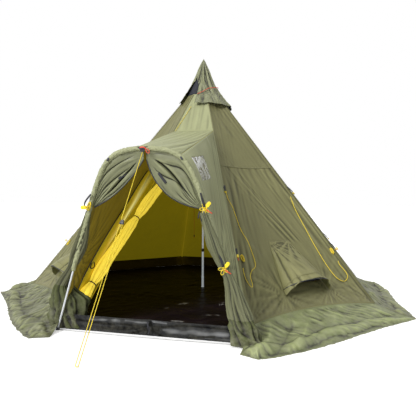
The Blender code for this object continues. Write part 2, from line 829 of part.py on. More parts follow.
def inner_line(corner, z):
    """An inner ridge, from a corner of the tub's rim up to the small ring round the pole."""
    if corner == 0:
        top = Vector((math.sin(INNER_FRONT_TURN), -math.cos(INNER_FRONT_TURN), 0))
    elif corner == SIDES + 1:
        top = Vector((-math.sin(INNER_FRONT_TURN), -math.cos(INNER_FRONT_TURN), 0))
    else:
        top = ridge_direction(corner - 1)
    share = (z - TUB_H) / (INNER_TOP_Z - TUB_H)
    point = floor_corner(corner).lerp(top * INNER_TOP_R, share)
    return Vector((point.x, point.y, z))


def add_inner_tent():
    """Yellow walls that stand on the tub's rim, and the front above the open door."""
    look = ((0.56, 0.50, 0.03, 1), 0.7)
    foot = TUB_H + REST_GAP + 0.7 * INNER_T
    for name, corners in (("inner_wall_right", [0, 1, 2]), ("inner_wall_back", [3, 4, 5]), ("inner_wall_left", [6, 7, 8])):
        grid = wall_grid(inner_line, corners, foot, INNER_TOP_Z, INNER_SAG, 4, 5)
        sheet(name, grid, INNER_T, look)
    sheet("inner_wall_front", front_grid(), INNER_T, look)


def inner_front(across, z):
    """A point on the plane of the inner tent's front, from its left ridge to its right one."""
    return inner_line(SIDES + 1, z).lerp(inner_line(0, z), across)


def front_grid(rows=3, columns=4):
    grid = []
    for row in range(rows + 1):
        z = INNER_FRONT_Z + (INNER_TOP_Z - INNER_FRONT_Z) * row / rows
        line = [inner_front(column / columns, z) for column in range(columns + 1)]
        draw_back(line, RIDGE_GAP + 0.6 * INNER_T)
        grid.append(line)
    return grid


def add_door_roll():
    """The inner door, rolled up and tied twice. It hangs from the front's lower edge to the tub."""
    knots = [inner_line(SIDES + 1, z) + Vector((inward, 0, 0)) for z, inward in ROLL_ROUTE]
    slope = (inner_front(0.5, INNER_TOP_Z) - inner_front(0.5, INNER_FRONT_Z)).normalized()
    hung = inner_line(SIDES + 1, INNER_FRONT_Z) + Vector((0.165, INNER_T / 2, 0)) - slope * SEAM_GAP
    path = smooth_path([ROLL_FOOT] + knots + [hung - slope * 0.10], 21) + [hung]
    radii = []
    for index in range(len(path)):
        share = index / (len(path) - 1)
        pinch = max(math.exp(-((share - tie) / 0.035) ** 2) for tie in ROLL_TIES)
        taper = 0.94 + 0.06 * math.sin(9 * share) - 0.45 * max(share - 0.72, 0) / 0.28
        radii.append(ROLL_R * taper * (1 - 0.38 * pinch))
    return swept("inner_door_roll", path, radii, 10, (YELLOW, 0.6))


# Porch

def arch_y(z):
    return ARCH_FOOT_Y - ARCH_LEAN * z


def arch_half():
    """The arch's right half from its foot to its crown: a straight leg, then a curve that ends level."""
    bend = Vector((ARCH_FOOT_HALF_W - ARCH_LEG_SLOPE * ARCH_BEND_Z, 0, ARCH_BEND_Z))
    foot = Vector((ARCH_FOOT_HALF_W, 0, 0))
    leaving = bend + (bend - foot).normalized() * ARCH_BEND_PULL
    arriving = Vector((ARCH_CROWN_PULL, 0, ARCH_CROWN_Z))
    crown = Vector((0, 0, ARCH_CROWN_Z))
    points = [foot.lerp(bend, step / 8) for step in range(8)]
    for step in range(12):
        t = step / 11
        a = bend.lerp(leaving, t).lerp(leaving.lerp(arriving, t), t)
        b = leaving.lerp(arriving, t).lerp(arriving.lerp(crown, t), t)
        points.append(a.lerp(b, t))
    return [Vector((p.x, arch_y(p.z), p.z)) for p in points]


ARCH_HALF = arch_half()


def arch_at_height(hand, z):
    """A point on one leg of the arch: hand is 1 for the right leg and -1 for the left."""
    for a, b in zip(ARCH_HALF, ARCH_HALF[1:]):
        if a.z <= z <= b.z:
            point = a.lerp(b, (z - a.z) / max(b.z - a.z, 1e-9))
            return Vector((hand * point.x, point.y, point.z))
    return ARCH_HALF[-1].copy()


def arch_above(from_z):
    """Points of the arch from its right side over the crown to its left, above a height."""
    right = [arch_at_height(1, from_z)] + [p for p in ARCH_HALF if p.z > from_z + 0.012]
    return right + [Vector((-p.x, p.y, p.z)) for p in reversed(right[:-1])]


def add_arch():
    """Two tube legs, and a bent crown whose ends are spigots that sit in the legs."""
    look = (STEEL, 0.3, 0.9)
    bore = ARCH_POLE_R - ARCH_POLE_WALL
    for hand, name in ((1, "porch_pole_leg_right"), (-1, "porch_pole_leg_left")):
        path = [arch_at_height(hand, z) for z in (ARCH_FOOT_Z, ARCH_JOIN_Z / 2, ARCH_JOIN_Z)]
        swept(name, path, [ARCH_POLE_R] * 3, 12, look, bore=[bore] * 3)
    shoulder = ARCH_JOIN_Z + REST_GAP
    bent = arch_above(shoulder + 0.0015)
    spigot = bore - ARCH_SPIGOT_GAP
    ends = []
    for hand in (1, -1):
        ends.append([arch_at_height(hand, ARCH_JOIN_Z - ARCH_SPIGOT_L), arch_at_height(hand, shoulder)])
    path = ends[0] + bent + list(reversed(ends[1]))
    radii = [spigot] * 2 + [ARCH_POLE_R] * len(bent) + [spigot] * 2
    swept("porch_pole_crown", path, radii, 12, look)


def add_sleeve():
    """The gathered sleeve that holds the porch cloth on the arch."""
    path = arch_above(SLEEVE_END_Z)
    radii = []
    for index in range(len(path)):
        drawn = 0.004 if index in (0, len(path) - 1) else 0.0
        radii.append(SLEEVE_R - SLEEVE_GATHER * (index % 2) - drawn)
    bore = [ARCH_POLE_R + SLEEVE_BORE_GAP] * len(path)
    return swept("porch_sleeve", path, radii, 10, (OLIVE_LIGHT, 0.8), bore=bore)


def porch_wall_grid(hand, rows=7, columns=7):
    """One side wall of the porch, from its ridge to the arch's leg."""
    ridge = 0 if hand > 0 else SIDES - 1
    grid = []
    for row in range(rows + 1):
        share = row / rows
        back = outer_ridge(ridge, HEM_Z + (ROOF_SEAM_Z - CLOTH_SEAM - HEM_Z) * share)
        front = arch_at_height(hand, HEM_Z + (SHOULDER_Z - HEM_Z) * share)
        along = (front - back).normalized()
        start = back + along * RIDGE_GAP
        end = front - along * (SLEEVE_R + SEAM_GAP)
        line = []
        for column in range(columns + 1):
            t = column / columns
            hollow = PORCH_SAG * 4 * t * (1 - t) * math.sin(math.pi * share)
            line.append(start.lerp(end, t) - Vector((hand * hollow, 0, 0)))
        if hand > 0:
            line.reverse()
        grid.append(line)
    return grid


def roof_grid(rows=7, columns=10):
    """The porch roof, from the arch's crown back to the seam on the front wall."""
    crown = evenly(list(reversed(arch_above(SHOULDER_Z))), columns + 1)
    left = outer_ridge(SIDES - 1, ROOF_SEAM_Z)
    right = outer_ridge(0, ROOF_SEAM_Z)
    inward = (right - left).normalized() * CLOTH_SEAM
    grid = []
    for row in range(rows + 1):
        share = row / rows
        line = []
        for column, arch in enumerate(crown):
            across = column / columns
            back = (left + inward).lerp(right - inward, across) - Vector((0, 0.0004, 0))
            start = arch + (back - arch).normalized() * (SLEEVE_R + SEAM_GAP)
            hollow = PORCH_SAG * math.sin(math.pi * share) * math.sin(math.pi * across)
            line.append(start.lerp(back, share) - Vector((0, 0, hollow)))
        line[0] = line[0] + inward * (1 - share)
        line[-1] = line[-1] - inward * (1 - share)
        grid.append(line)
    return grid


def window_outline(shrink):
    """Corners of the clear window in the porch's right wall."""
    centre = Vector((0.36, -1.71, 1.35))
    along = Vector((0.01, 0.93, 0.10)).normalized() * (WINDOW_HALF_L - shrink)
    down = Vector((0.22, 0.16, -0.60)).normalized() * (WINDOW_HALF_H - shrink)
    return [centre - along - down, centre - along + down, centre + along + down, centre + along - down]


def add_porch_cloth():
    """Roof, walls and the window's pane."""
    look = (OLIVE_DARK, 0.75)
    through = Vector((0.12, 0, 0.036))
    sheet("porch_roof", roof_grid(), PORCH_T, look)
    sheet("porch_wall_left", porch_wall_grid(-1), PORCH_T, look)
    wall = sheet("porch_wall_right", porch_wall_grid(1), PORCH_T, look)
    cut(wall, prism("window_cutter", window_outline(0.0), through))
    pane = sheet("porch_window", porch_wall_grid(1), PORCH_T, ((0.75, 0.78, 0.74, 1), 0.1, 0.0, 0.4))
    cut(pane, prism("pane_cutter", window_outline(SEAM_GAP), through), "INTERSECT")


def flap_grid(hand, surface, rows=8, columns=12):
    """A door half drawn up to the arch's leg: folds run from the tie point to the crown."""
    pull_x, pull_z = SWAG_RIGHT if hand > 0 else SWAG_LEFT
    buckle = arch_at_height(hand, BUCKLE_Z) + Vector((-hand * (SLEEVE_R + 0.010), 0.012, 0))
    crown = Vector((hand * 0.012, arch_y(ARCH_CROWN_Z) + 0.010, ARCH_CROWN_Z - 0.087))
    pull = Vector((hand * pull_x, arch_y(pull_z) + 0.012, pull_z))
    arch = [arch_at_height(1, BUCKLE_Z + 0.03)] + [p for p in ARCH_HALF if p.z > BUCKLE_Z + 0.04]
    arch = evenly(list(reversed(arch)), columns + 1)
    arch[0].x += FLAP_PARTING
    grid = []
    for row in range(rows + 1):
        share = row / rows
        line = []
        for column, edge in enumerate(arch):
            t = column / columns
            along = (arch[min(column + 1, columns)] - arch[max(column - 1, 0)]).normalized()
            along.x *= hand
            edge = Vector((hand * edge.x, edge.y, edge.z))
            swag = crown.lerp(pull, t).lerp(pull.lerp(buckle, t), t)
            inward = swag - edge
            inward = (inward - along * inward.dot(along)).normalized()
            top = edge + inward * (1.5 * SLEEVE_R)
            top -= inward * drop_distance(surface, [top], -inward, 0)
            fold = FLAP_FOLD * math.sin(2 * math.pi * FLAP_FOLDS * share + 0.7) * math.sin(math.pi * share)
            fold *= 0.35 + 0.65 * math.sin(math.pi * t)
            line.append(swag.lerp(top, share) + Vector((0, fold, 0)))
        if hand < 0:
            line.reverse()
        grid.append(line)
    return grid


def add_flaps(sleeve):
    for hand, name in ((1, "door_flap_right"), (-1, "door_flap_left")):
        sheet(name, flap_grid(hand, surface_of(sleeve)), FLAP_T, (OLIVE_DARK, 0.75))


def add_bundles(sleeve):
    """The lower half of each door, gathered in flutes along the inside of the arch's leg."""
    surface = surface_of(sleeve)
    stations = 12
    sides = 16
    top_z = BUCKLE_Z - 0.035
    foot_z = 0.012
    for hand, name in ((1, "door_bundle_right"), (-1, "door_bundle_left")):
        inboard = Vector((-hand * 0.81, -0.59, 0)).normalized()
        points = []
        for station in range(stations + 1):
            share = station / stations
            z = foot_z + (top_z - foot_z) * share
            waist = 0.62 + 0.38 * math.sin(math.pi * (1 - share) ** 0.8) + 0.75 * max(0.35 - share, 0) / 0.35
            radius = 0.030 * waist * (1 - 0.45 * max(share - 0.8, 0) / 0.2)
            centre = arch_at_height(hand, z) + inboard * (1.5 * SLEEVE_R + radius)
            for step in range(sides):
                angle = 2 * math.pi * step / sides
                flute = 1 + BUNDLE_FLUTE * math.cos(BUNDLE_FLUTES * angle + 2.5 * share)
                spoke = Vector((math.cos(angle), math.sin(angle), 0))
                points.append(centre + spoke * (radius * flute))
        closer = drop_distance(surface, points, -inboard, 0)
        points = [point - inboard * closer for point in points]
        last = stations * sides
        faces = grid_faces(stations + 1, sides, closed=True)
        faces.append(tuple(reversed(range(sides))))
        faces.append(tuple(range(last, last + sides)))
        add_mesh(name, points, faces, (OLIVE_DARK, 0.75))


def add_foot_tabs():
    """A cup on a round tab for each end of the arch, and the white strap between them."""
    lean = math.atan(math.hypot(ARCH_LEG_SLOPE, ARCH_LEAN))
    cup_bore = ARCH_POLE_R / math.cos(lean) + (FOOT_CUP_H - ARCH_FOOT_Z) * math.tan(lean) + FOOT_CUP_PLAY
    cup_r = cup_bore + FOOT_CUP_WALL
    seat_z = ARCH_FOOT_Z - ARCH_POLE_R * math.sin(lean) - REST_GAP
    for hand, name in ((1, "porch_foot_tab_right"), (-1, "porch_foot_tab_left")):
        foot = arch_at_height(hand, ARCH_FOOT_Z)
        lathe(name, [
            (0.0, SEAM_GAP), (FOOT_TAB_R, SEAM_GAP), (FOOT_TAB_R, 0.004), (cup_r, 0.009),
            (cup_r, FOOT_CUP_H), (cup_bore, FOOT_CUP_H), (cup_bore, seat_z), (0.0, seat_z),
        ], 12, (BLACK, 0.7), place=(foot.x, foot.y, 0.0))
    foot = arch_at_height(1, ARCH_FOOT_Z)
    half = foot.x - FOOT_TAB_R - SEAM_GAP
    grid = []
    for side in (-0.008, 0.008):
        line = []
        for step in range(9):
            share = step / 8
            bow = 0.02 * math.sin(math.pi * share)
            line.append(Vector((-half + 2 * half * share, foot.y - bow + side, 0.0030)))
        grid.append(line)
    sheet("ground_strap", grid, 0.0016, ((0.75, 0.75, 0.75, 1), 0.8))


# Cords

def front_guy_line():
    """Where the front guy leaves its tab on the crown, and the direction in which it runs down."""
    start = Vector((-0.004, arch_y(FRONT_GUY_Z) - 2 * SLEEVE_R, FRONT_GUY_Z))
    return start, (FRONT_PEG - start).normalized()


def add_crown_tab(sleeve):
    """The webbing tab on the crown that the front guy is tied to."""
    start, down = front_guy_line()
    surface = surface_of(sleeve)
    crown = Vector((-0.015, arch_y(ARCH_CROWN_Z), ARCH_CROWN_Z))
    grid = [[start - down * REST_GAP + Vector((0.0045 * step, 0, 0)) for step in (-2, -1, 0, 1, 2)]]
    for turn, half in ((4, 0.030), (30, 0.045)):
        outward = Vector((0, -math.cos(math.radians(turn)), math.sin(math.radians(turn))))
        seat = crown + outward * (1.5 * SLEEVE_R)
        line = [seat + Vector((half * step / 2, 0, 0)) for step in (-2, -1, 0, 1, 2)]
        closer = drop_distance(surface, line, -outward, 0.0006)
        grid.append([point - outward * closer for point in line])
    sheet("crown_tab", grid, 0.0020, (BLACK, 0.8), outward=True)


def add_front_guy():
    """One cord: from the crown down to the ground, round a bend there and back up to the slider."""
    start, down = front_guy_line()
    across = down.cross(Vector((0, -1, 0.6))).normalized()
    if across.x < 0:
        across = -across
    length = (FRONT_PEG - start).length
    turn = start + down * (length - FRONT_GUY_BEND_R - GUY_R)
    points = [(start + down * REST_GAP).lerp(turn, step / 12) for step in range(12)]
    for step in range(9):
        angle = math.pi * step / 8
        swing = across * (1 - math.cos(angle)) + down * math.sin(angle)
        points.append(turn + swing * FRONT_GUY_BEND_R)
    slider_at = start + down * (length * SLIDER_ALONG)
    finish = slider_at + down * (SLIDER_HALF_L + REST_GAP) + across * (2 * FRONT_GUY_BEND_R)
    low = points[-1]
    points += [low.lerp(finish, step / 8) for step in range(1, 9)]
    cord("front_guy", points, GUY_R, (YELLOW, 0.6))
    add_slider(slider_at, down, across)


def add_slider(centre, down, across):
    """The guy's slider: a tapered plate that the cord runs through, tied to the returning strand."""
    front = down.cross(across).normalized()
    middle = centre + across * FRONT_GUY_BEND_R
    points = []
    for along in (-1, 1):
        width = SLIDER_HALF_W * (0.62 if along < 0 else 1.0)
        for x, y in ((-1, -1), (1, -1), (1, 1), (-1, 1)):
            points.append(middle + across * (x * width) + front * (y * SLIDER_HALF_T) + down * (along * SLIDER_HALF_L))
    faces = [(0, 1, 2, 3), (7, 6, 5, 4), (0, 4, 5, 1), (1, 5, 6, 2), (2, 6, 7, 3), (3, 7, 4, 0)]
    piece = add_mesh("front_guy_slider", points, faces, (BLACK, 0.5), origin=centre)
    edit_mesh(piece, face_outwards)
    bore = []
    for step in range(12):
        angle = 2 * math.pi * step / 12
        bore.append(centre + (across * math.cos(angle) + front * math.sin(angle)) * (GUY_R + SLIDER_BORE_GAP))
    cut(piece, prism("slider_bore", bore, down * 0.05))
    print("front_guy_slider slides from", tuple(round(v, 5) for v in centre),
          "along", tuple(round(-v, 5) for v in down))


def add_cap_guy():
    """The taut cord from the cap's hem to the left end of the roof seam."""
    normal = wall_normal(SIDES - 1)
    base = outer_ridge(SIDES - 1, HEM_Z)
    ends = []
    for point, lift in ((CAP_GUY_TOP, 0.008), (CAP_GUY_LOW, CAP_GUY_R + CORD_LIE)):
        ends.append(point - normal * (point - base).dot(normal) + normal * lift)
    cord("cap_guy", [ends[0].lerp(ends[1], step / 10) for step in range(11)], CAP_GUY_R, (YELLOW, 0.6))


def add_pull_cord():
    """The red cord that works the top vent from inside. It hangs from the net, and a knot stops its toggle."""
    reach = (abs(PULL_CORD_X) + PULL_CORD_R + NET_T + SEAM_GAP) / math.cos(math.pi / SIDES)
    top_z = NET_TOP_Z
    while net_radius(top_z) < reach:
        top_z -= 0.0005
    points = [Vector((PULL_CORD_X, 0, top_z + (PULL_CORD_LOW_Z - top_z) * step / 8)) for step in range(8)]
    knot_top = PULL_CORD_LOW_Z + PULL_KNOT_H
    points = [p for p in points if p.z > knot_top + 0.004]
    for z in (knot_top + 0.002, knot_top - 0.003, PULL_CORD_LOW_Z + 0.003, PULL_CORD_LOW_Z):
        points.append(Vector((PULL_CORD_X, 0, z)))
    cord("vent_pull_cord", points, PULL_CORD_R, ((0.45, 0.06, 0.03, 1), 0.7), knot=PULL_KNOT_R)
    low = knot_top + 0.0026
    bore = PULL_CORD_R + 0.0005
    lathe("vent_pull_toggle", [
        (bore, 0.0), (TOGGLE_R - 0.002, 0.0), (TOGGLE_R, 0.004), (TOGGLE_R, TOGGLE_H - 0.004),
        (TOGGLE_R - 0.002, TOGGLE_H), (bore, TOGGLE_H),
    ], 12, (BLACK, 0.5), place=(PULL_CORD_X, 0, low))


# Slack guys lie down the front right wall: metres right of its middle, and height
FRONT_RIGHT_GUY = (
    (-0.424, 1.160), (-0.440, 1.085), (-0.425, 1.009), (-0.431, 0.925), (-0.440, 0.826), (-0.435, 0.764),
    (-0.421, 0.698), (-0.424, 0.626), (-0.436, 0.545), (-0.462, 0.492), (-0.520, 0.462), (-0.560, 0.420),
    (-0.572, 0.372), (-0.585, 0.343), (-0.605, 0.352), (-0.618, 0.400), (-0.612, 0.455), (-0.600, 0.490),
)
RIGHT_GUY = (
    (0.395, 1.110), (0.378, 1.000), (0.380, 0.882), (0.383, 0.764), (0.386, 0.650), (0.395, 0.545),
    (0.405, 0.463), (0.424, 0.385), (0.456, 0.328), (0.515, 0.300), (0.575, 0.318), (0.603, 0.352),
    (0.594, 0.398), (0.575, 0.440), (0.583, 0.475),
)


def add_ridge_guys(wall):
    surface = surface_of(wall)
    down = -wall_normal(0)
    for name, route in (("ridge_guy_front_right", FRONT_RIGHT_GUY), ("ridge_guy_right", RIGHT_GUY)):
        points = []
        for point in smooth_path([vent_spot(0, across, z, 0.02) for across, z in route], 36):
            points.append(point + down * drop_distance(surface, [point], down, GUY_R))
        cord(name, points, GUY_R, (YELLOW, 0.6))


def hank_points(centre, long_way, wide_way):
    """Loops that spiral in on one layer, climb in the turn-round and spiral out again on the next."""
    thin = long_way.cross(wide_way).normalized()
    steps = round(HANK_LOOPS * HANK_LOOP_POINTS)
    points = []
    for step in range(steps + 1):
        angle = 2 * math.pi * step / HANK_LOOP_POINTS
        loops_left = HANK_LOOPS / 2 - step / HANK_LOOP_POINTS
        grow = HANK_STEP * abs(loops_left)
        climb = min(max(0.5 - loops_left * 2, 0.0), 1.0)
        swing = math.copysign(abs(math.sin(angle)) ** HANK_SQUARE, math.sin(angle))
        waist = 1 - HANK_WAIST * math.sin(angle) ** 4
        points.append(
            centre
            + long_way * ((HANK_HALF_L + grow) * math.cos(angle))
            + wide_way * ((HANK_HALF_W + grow / (1 - HANK_WAIST)) * swing * waist)
            + thin * (HANK_STEP * (climb - 0.5))
        )
    return points


def add_hank(name, surface, centre, long_way, down):
    """A guy line put away in a small hank that lies against what is behind it."""
    wide_way = down.cross(long_way).normalized()
    points = hank_points(centre, long_way, wide_way)
    fall = drop_distance(surface, points, down, HANK_CORD_R)
    points = [p + down * fall for p in points]
    print(name, "least gap between its loops in mm:", round(1000 * least_gap(points, HANK_CORD_R), 2))
    cord(name, points, HANK_CORD_R, (YELLOW, 0.6), resolution=1)


def add_hanks(sleeve, right_wall, left_wall):
    """Guy lines put away at the porch's buckles and at the lower ridge points."""
    surface = surface_of(sleeve)
    back = Vector((0, 1, 0))
    inboard = Vector((-0.88, 0.47, 0)).normalized()
    for name, hand, z, down in (
        ("porch_hank_right", 1, BUCKLE_Z + 0.012, back),
        ("porch_hank_left", -1, BUCKLE_Z + 0.012, back),
        ("porch_hank_low", 1, 0.575, inboard),
    ):
        lean = (arch_at_height(hand, z) - arch_at_height(hand, z - 0.2)).normalized()
        spot = arch_at_height(hand, z) - down * 0.06
        add_hank(name, surface, spot, (lean - down * lean.dot(down)).normalized(), down)
    for name, wall, side, across in (
        ("ridge_hank_front_right", right_wall, 0, -0.565),
        ("ridge_hank_right", right_wall, 0, 0.565),
        ("ridge_hank_left", left_wall, SIDES - 2, -0.565),
    ):
        down = -wall_normal(side)
        spot = vent_spot(side, across, 0.565, 0.05)
        right = (outer_ridge(side + 1, 0.5) - outer_ridge(side, 0.5)).normalized()
        add_hank(name, surface_of(wall), spot, right.cross(down).normalized(), down)


def main():
    for item in list(bpy.data.objects):
        bpy.data.objects.remove(item, do_unlink=True)
    front = wall_grid(outer_ridge, [SIDES - 1], ROOF_SEAM_Z + REST_GAP, WALL_TOP_Z, 0.0, 4, 2)
    sheet("outer_panel_front", front, WALL_T, (OLIVE_DARK, 0.75))
    right_wall = vented_wall("right", 0)
    left_wall = vented_wall("left", SIDES - 2)
    outer_wall("outer_panel_right", [1])
    outer_wall("outer_panel_back", [2, 3, 4])
    outer_wall("outer_panel_left", [5])
    for side, hand, wall in ((0, "right", right_wall), (SIDES - 2, "left", left_wall)):
        vent_hood(hand, side, wall)
        vent_lip(hand, side)
    add_skirts()
    add_cap()
    add_top_net()
    add_pole()
    add_groundsheet()
    add_inner_tent()
    add_door_roll()
    add_arch()
    sleeve = add_sleeve()
    add_porch_cloth()
    add_flaps(sleeve)
    add_bundles(sleeve)
    add_foot_tabs()
    add_crown_tab(sleeve)
    add_front_guy()
    add_cap_guy()
    add_pull_cord()
    add_ridge_guys(right_wall)
    add_hanks(sleeve, right_wall, left_wall)


main()
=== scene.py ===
"""Looks for a lavvu tent with a porch: its wrinkled cloths, cords, webbing, zips and stitches, built round
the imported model, with a plain stage and a camera at the photograph's viewing angle.

It is laid out as an add-on and run as a script. Metres, +Z up, and the porch looks along -Y.
"""

import math

import bmesh
import bpy
import numpy as np
from bpy.props import FloatProperty, FloatVectorProperty, PointerProperty
from mathutils import Matrix, Vector
from mathutils.bvhtree import BVHTree


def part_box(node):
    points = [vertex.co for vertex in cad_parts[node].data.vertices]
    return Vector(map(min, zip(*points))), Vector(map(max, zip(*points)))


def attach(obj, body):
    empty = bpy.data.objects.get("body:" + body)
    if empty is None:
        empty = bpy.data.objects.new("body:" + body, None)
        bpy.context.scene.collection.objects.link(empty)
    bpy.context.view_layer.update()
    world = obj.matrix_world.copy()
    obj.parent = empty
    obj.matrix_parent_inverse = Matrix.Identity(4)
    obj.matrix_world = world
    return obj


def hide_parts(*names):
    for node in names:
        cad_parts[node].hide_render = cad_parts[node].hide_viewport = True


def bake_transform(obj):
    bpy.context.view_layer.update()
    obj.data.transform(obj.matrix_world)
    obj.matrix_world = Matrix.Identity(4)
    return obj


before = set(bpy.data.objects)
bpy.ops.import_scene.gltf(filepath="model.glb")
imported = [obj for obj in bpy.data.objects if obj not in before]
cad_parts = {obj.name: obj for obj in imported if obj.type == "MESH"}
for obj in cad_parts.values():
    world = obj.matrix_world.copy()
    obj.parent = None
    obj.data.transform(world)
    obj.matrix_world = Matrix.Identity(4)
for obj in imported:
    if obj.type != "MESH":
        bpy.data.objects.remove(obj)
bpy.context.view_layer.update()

bl_info = {
    "name": "Lavvu tent looks",
    "version": (1, 0, 0),
    "blender": (4, 5, 0),
    "location": "3D View > Sidebar > Tent",
    "description": "Builds the visible cloths, cords and fittings of a lavvu tent round its packed model",
    "category": "Add Mesh",
}

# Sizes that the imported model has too
SIDES = 8
HEM_CORNER_R = 2.00
HEM_Z = 0.09
HEM_RISE = 0.05
PEAK_Z = 2.58
WALL_TOP_Z = 2.33
WALL_SAG = 0.020
SLANT = 1.24
RIDGE_LEAN = 0.62
RIDGE_GAP = 0.0012
SEAM_GAP = 0.0006
SEAM_T = 0.0012
CLOTH_T = 0.0012
THICK_CLOTH_T = 0.0014
COATED_CLOTH_T = 0.0018
WEBBING_T = 0.0018
ROOF_SEAM_Z = 1.83
WALL_SEAM_Z = 1.43
PORCH_SAG = 0.030
CLOTH_SEAM = 0.0035
SHOULDER_Z = 1.41
VENT_TOP_Z = 0.70
VENT_FOOT_Z = 0.30
VENT_TOP_HALF_W = 0.12
VENT_FOOT_HALF_W = 0.27
VENT_LIFT = 0.17
VENT_MARGIN = 0.035
SKIRT_FRONT_W = (0.49, 0.35)
SKIRT_SIDE_W = (0.34, 0.28)
SKIRT_BACK_W = (0.28, 0.28)
CAP_TOP_Z = 2.80
CAP_HEM_Z = 2.185
CAP_HEM_LIFT = 0.085
CAP_LIFT_AT = math.radians(-82)
CAP_LIFT_SPREAD = math.radians(32)
CAP_DEPTHS = (0.0, 0.045, 0.12, 0.22, 0.34, 0.46, 0.55, 0.63)
CAP_RADII = (0.0, 0.024, 0.052, 0.092, 0.146, 0.222, 0.290, 0.354)
CAP_SLIT_TOP = math.radians(-40)
CAP_SLIT_FROM = math.radians(-54)
CAP_SLIT_TO = math.radians(-6)
CAP_FOLDS = 9
DRAW_CORD_R = 0.0032
NET_TOP_Z = 2.715
NET_T = 0.0008
PLUG_R = 0.017
TUB_H = 0.13
TUB_CORNER_R = 1.84
FLOOR_T = 0.003
TUB_FOOT_Z = FLOOR_T + 0.0003
FRONT = np.array((0, -1.0, 0))
SILL_Y = -2.03
SILL_HALF_W = 0.735
SILL_LEAN = 0.019
INNER_TOP_Z = 2.22
INNER_TOP_R = 0.16
INNER_SAG = 0.024
INNER_T = 0.0010
INNER_FRONT_Z = 1.42
INNER_FRONT_TURN = math.radians(12)
ARCH_FOOT_HALF_W = 0.79
ARCH_FOOT_Y = -2.07
ARCH_LEAN = 0.075
ARCH_LEG_SLOPE = 0.317
ARCH_BEND_Z = 1.02
ARCH_CROWN_Z = 1.472
ARCH_BEND_PULL = 0.38
ARCH_CROWN_PULL = 0.30
ARCH_POLE_R = 0.008
SLEEVE_R = 0.021
SLEEVE_END_Z = 0.50
BUCKLE_Z = 1.015
SWAG_RIGHT = (0.10, 1.05)
SWAG_LEFT = (0.19, 1.12)
GUY_R = 0.00275
HANK_CORD_R = 0.003


# Settings that a user would change

def length_setting(name, text, value, low, high):
    return FloatProperty(name=name, description=text, default=value, min=low, max=high, unit="LENGTH")


def colour_setting(name, text, value):
    return FloatVectorProperty(name=name, description=text, subtype="COLOR", size=4, min=0, max=1,
                               default=(*value, 1))


class TentCloth(bpy.types.PropertyGroup):
    """How deep the cloths fold and how fine they are woven."""

    wall_fold: length_setting(
        "Wall folds", "Height of the tension folds in the outer walls", 0.0085, 0.0, 0.02)
    skirt_fold: length_setting("Skirt folds", "Height of the folds in the snow skirt", 0.042, 0.0, 0.06)
    door_fold: length_setting("Door folds", "Depth of the long folds in the drawn doors", 0.026, 0.0, 0.05)
    floor_fold: length_setting("Floor creases", "Height of the creases in the groundsheet", 0.007, 0.0, 0.02)
    thread: length_setting("Thread spacing", "Distance between neighbouring threads", 0.0012, 0.0003, 0.01)
    stitch: length_setting("Stitch length", "Length of one stitch in the seams", 0.0045, 0.002, 0.01)


class TentColours(bpy.types.PropertyGroup):
    """The colours of the cloths, cords and fittings."""

    # The wall and porch colours are one cloth: the wall colour is darker, as painted shade from the dark
    # inner tent behind it, and the porch colour is lighter, as painted daylight through the cloth
    olive: colour_setting(
        "Wall cloth", "Olive walls, with the dark inner tent behind them", (0.190, 0.184, 0.083))
    porch: colour_setting(
        "Porch cloth", "The same cloth where daylight comes through it", (0.345, 0.360, 0.195))
    door: colour_setting("Door cloth", "Olive cloth of the porch doors and the cap", (0.178, 0.186, 0.098))
    skirt: colour_setting("Skirt cloth", "Lighter cloth of the snow skirt", (0.212, 0.240, 0.105))
    inner: colour_setting("Inner cloth", "Yellow cloth of the inner tent", (0.56, 0.46, 0.020))
    roll: colour_setting("Rolled door", "Yellow cloth of the rolled inner door", (0.84, 0.64, 0.060))
    floor: colour_setting("Floor cloth", "Dark coated cloth of the groundsheet", (0.0100, 0.0060, 0.0110))
    sill: colour_setting(
        "Sill cloth", "Grey coated cloth of the sill across the porch", (0.026, 0.027, 0.029))
    cord: colour_setting("Guy cord", "Yellow braided cord", (0.86, 0.66, 0.035))
    red: colour_setting("Red cord", "Red cords and pull loops", (0.72, 0.075, 0.035))
    black: colour_setting(
        "Webbing and plastic", "Black webbing, net and moulded fittings", (0.018, 0.019, 0.024))


class TentLight(bpy.types.PropertyGroup):
    """The plain studio light."""

    key: FloatProperty(name="Main light", description="Strength of the soft light from the front left",
                       default=3.0, min=0.0, max=6.0)
    fill: FloatProperty(name="Fill light", description="Strength of the even light from all round",
                        default=0.27, min=0.0, max=2.0)


# Numbers over surfaces

HASH_STEPS = (73856093, 19349663, 83492791)
HASH_MIX = ((13, 1274126177), (11, 668265263))
HASH_MASK = 0x3FFFFFFF
SLOPE_BITS = 10
SLOPE_MAX = 2 ** SLOPE_BITS - 1
SEED_STEP = 17.31
NOISE_GAIN = 1.5
# How a fold's depth is measured: over how many cells, and how much that counts
FOLD_REACHES = ((2, 0.9), (5, 1.0), (11, 0.7))
KNOT_STEPS = 24


def noise(points, size, seed=0):
    """Smooth noise from about -1 to 1 over an array of points, with features of one size."""
    place = np.asarray(points, float) / size + SEED_STEP * (seed + 1)
    cell = np.floor(place).astype(np.int64)
    part = place - cell
    ease = part ** 3 * (part * (part * 6 - 15) + 10)
    total = np.zeros(place.shape[:-1])
    for corner in np.ndindex(2, 2, 2):
        steps = (cell + corner) * HASH_STEPS
        key = steps[..., 0] ^ steps[..., 1] ^ steps[..., 2]
        for shift, factor in HASH_MIX:
            key = ((key ^ (key >> shift)) * factor) & HASH_MASK
        dot = 0.0
        weight = 1.0
        for axis in range(3):
            slope = ((key >> SLOPE_BITS * axis) & SLOPE_MAX) / (SLOPE_MAX / 2) - 1
            dot = dot + slope * (part[..., axis] - corner[axis])
            weight = weight * np.abs(1 - corner[axis] - ease[..., axis])
        total += dot * weight
    return total * NOISE_GAIN


def flat_noise(u, v, size, seed=0):
    """Smooth noise over two directions."""
    return noise(np.stack(np.broadcast_arrays(u, v, 0.0), -1), size, seed)


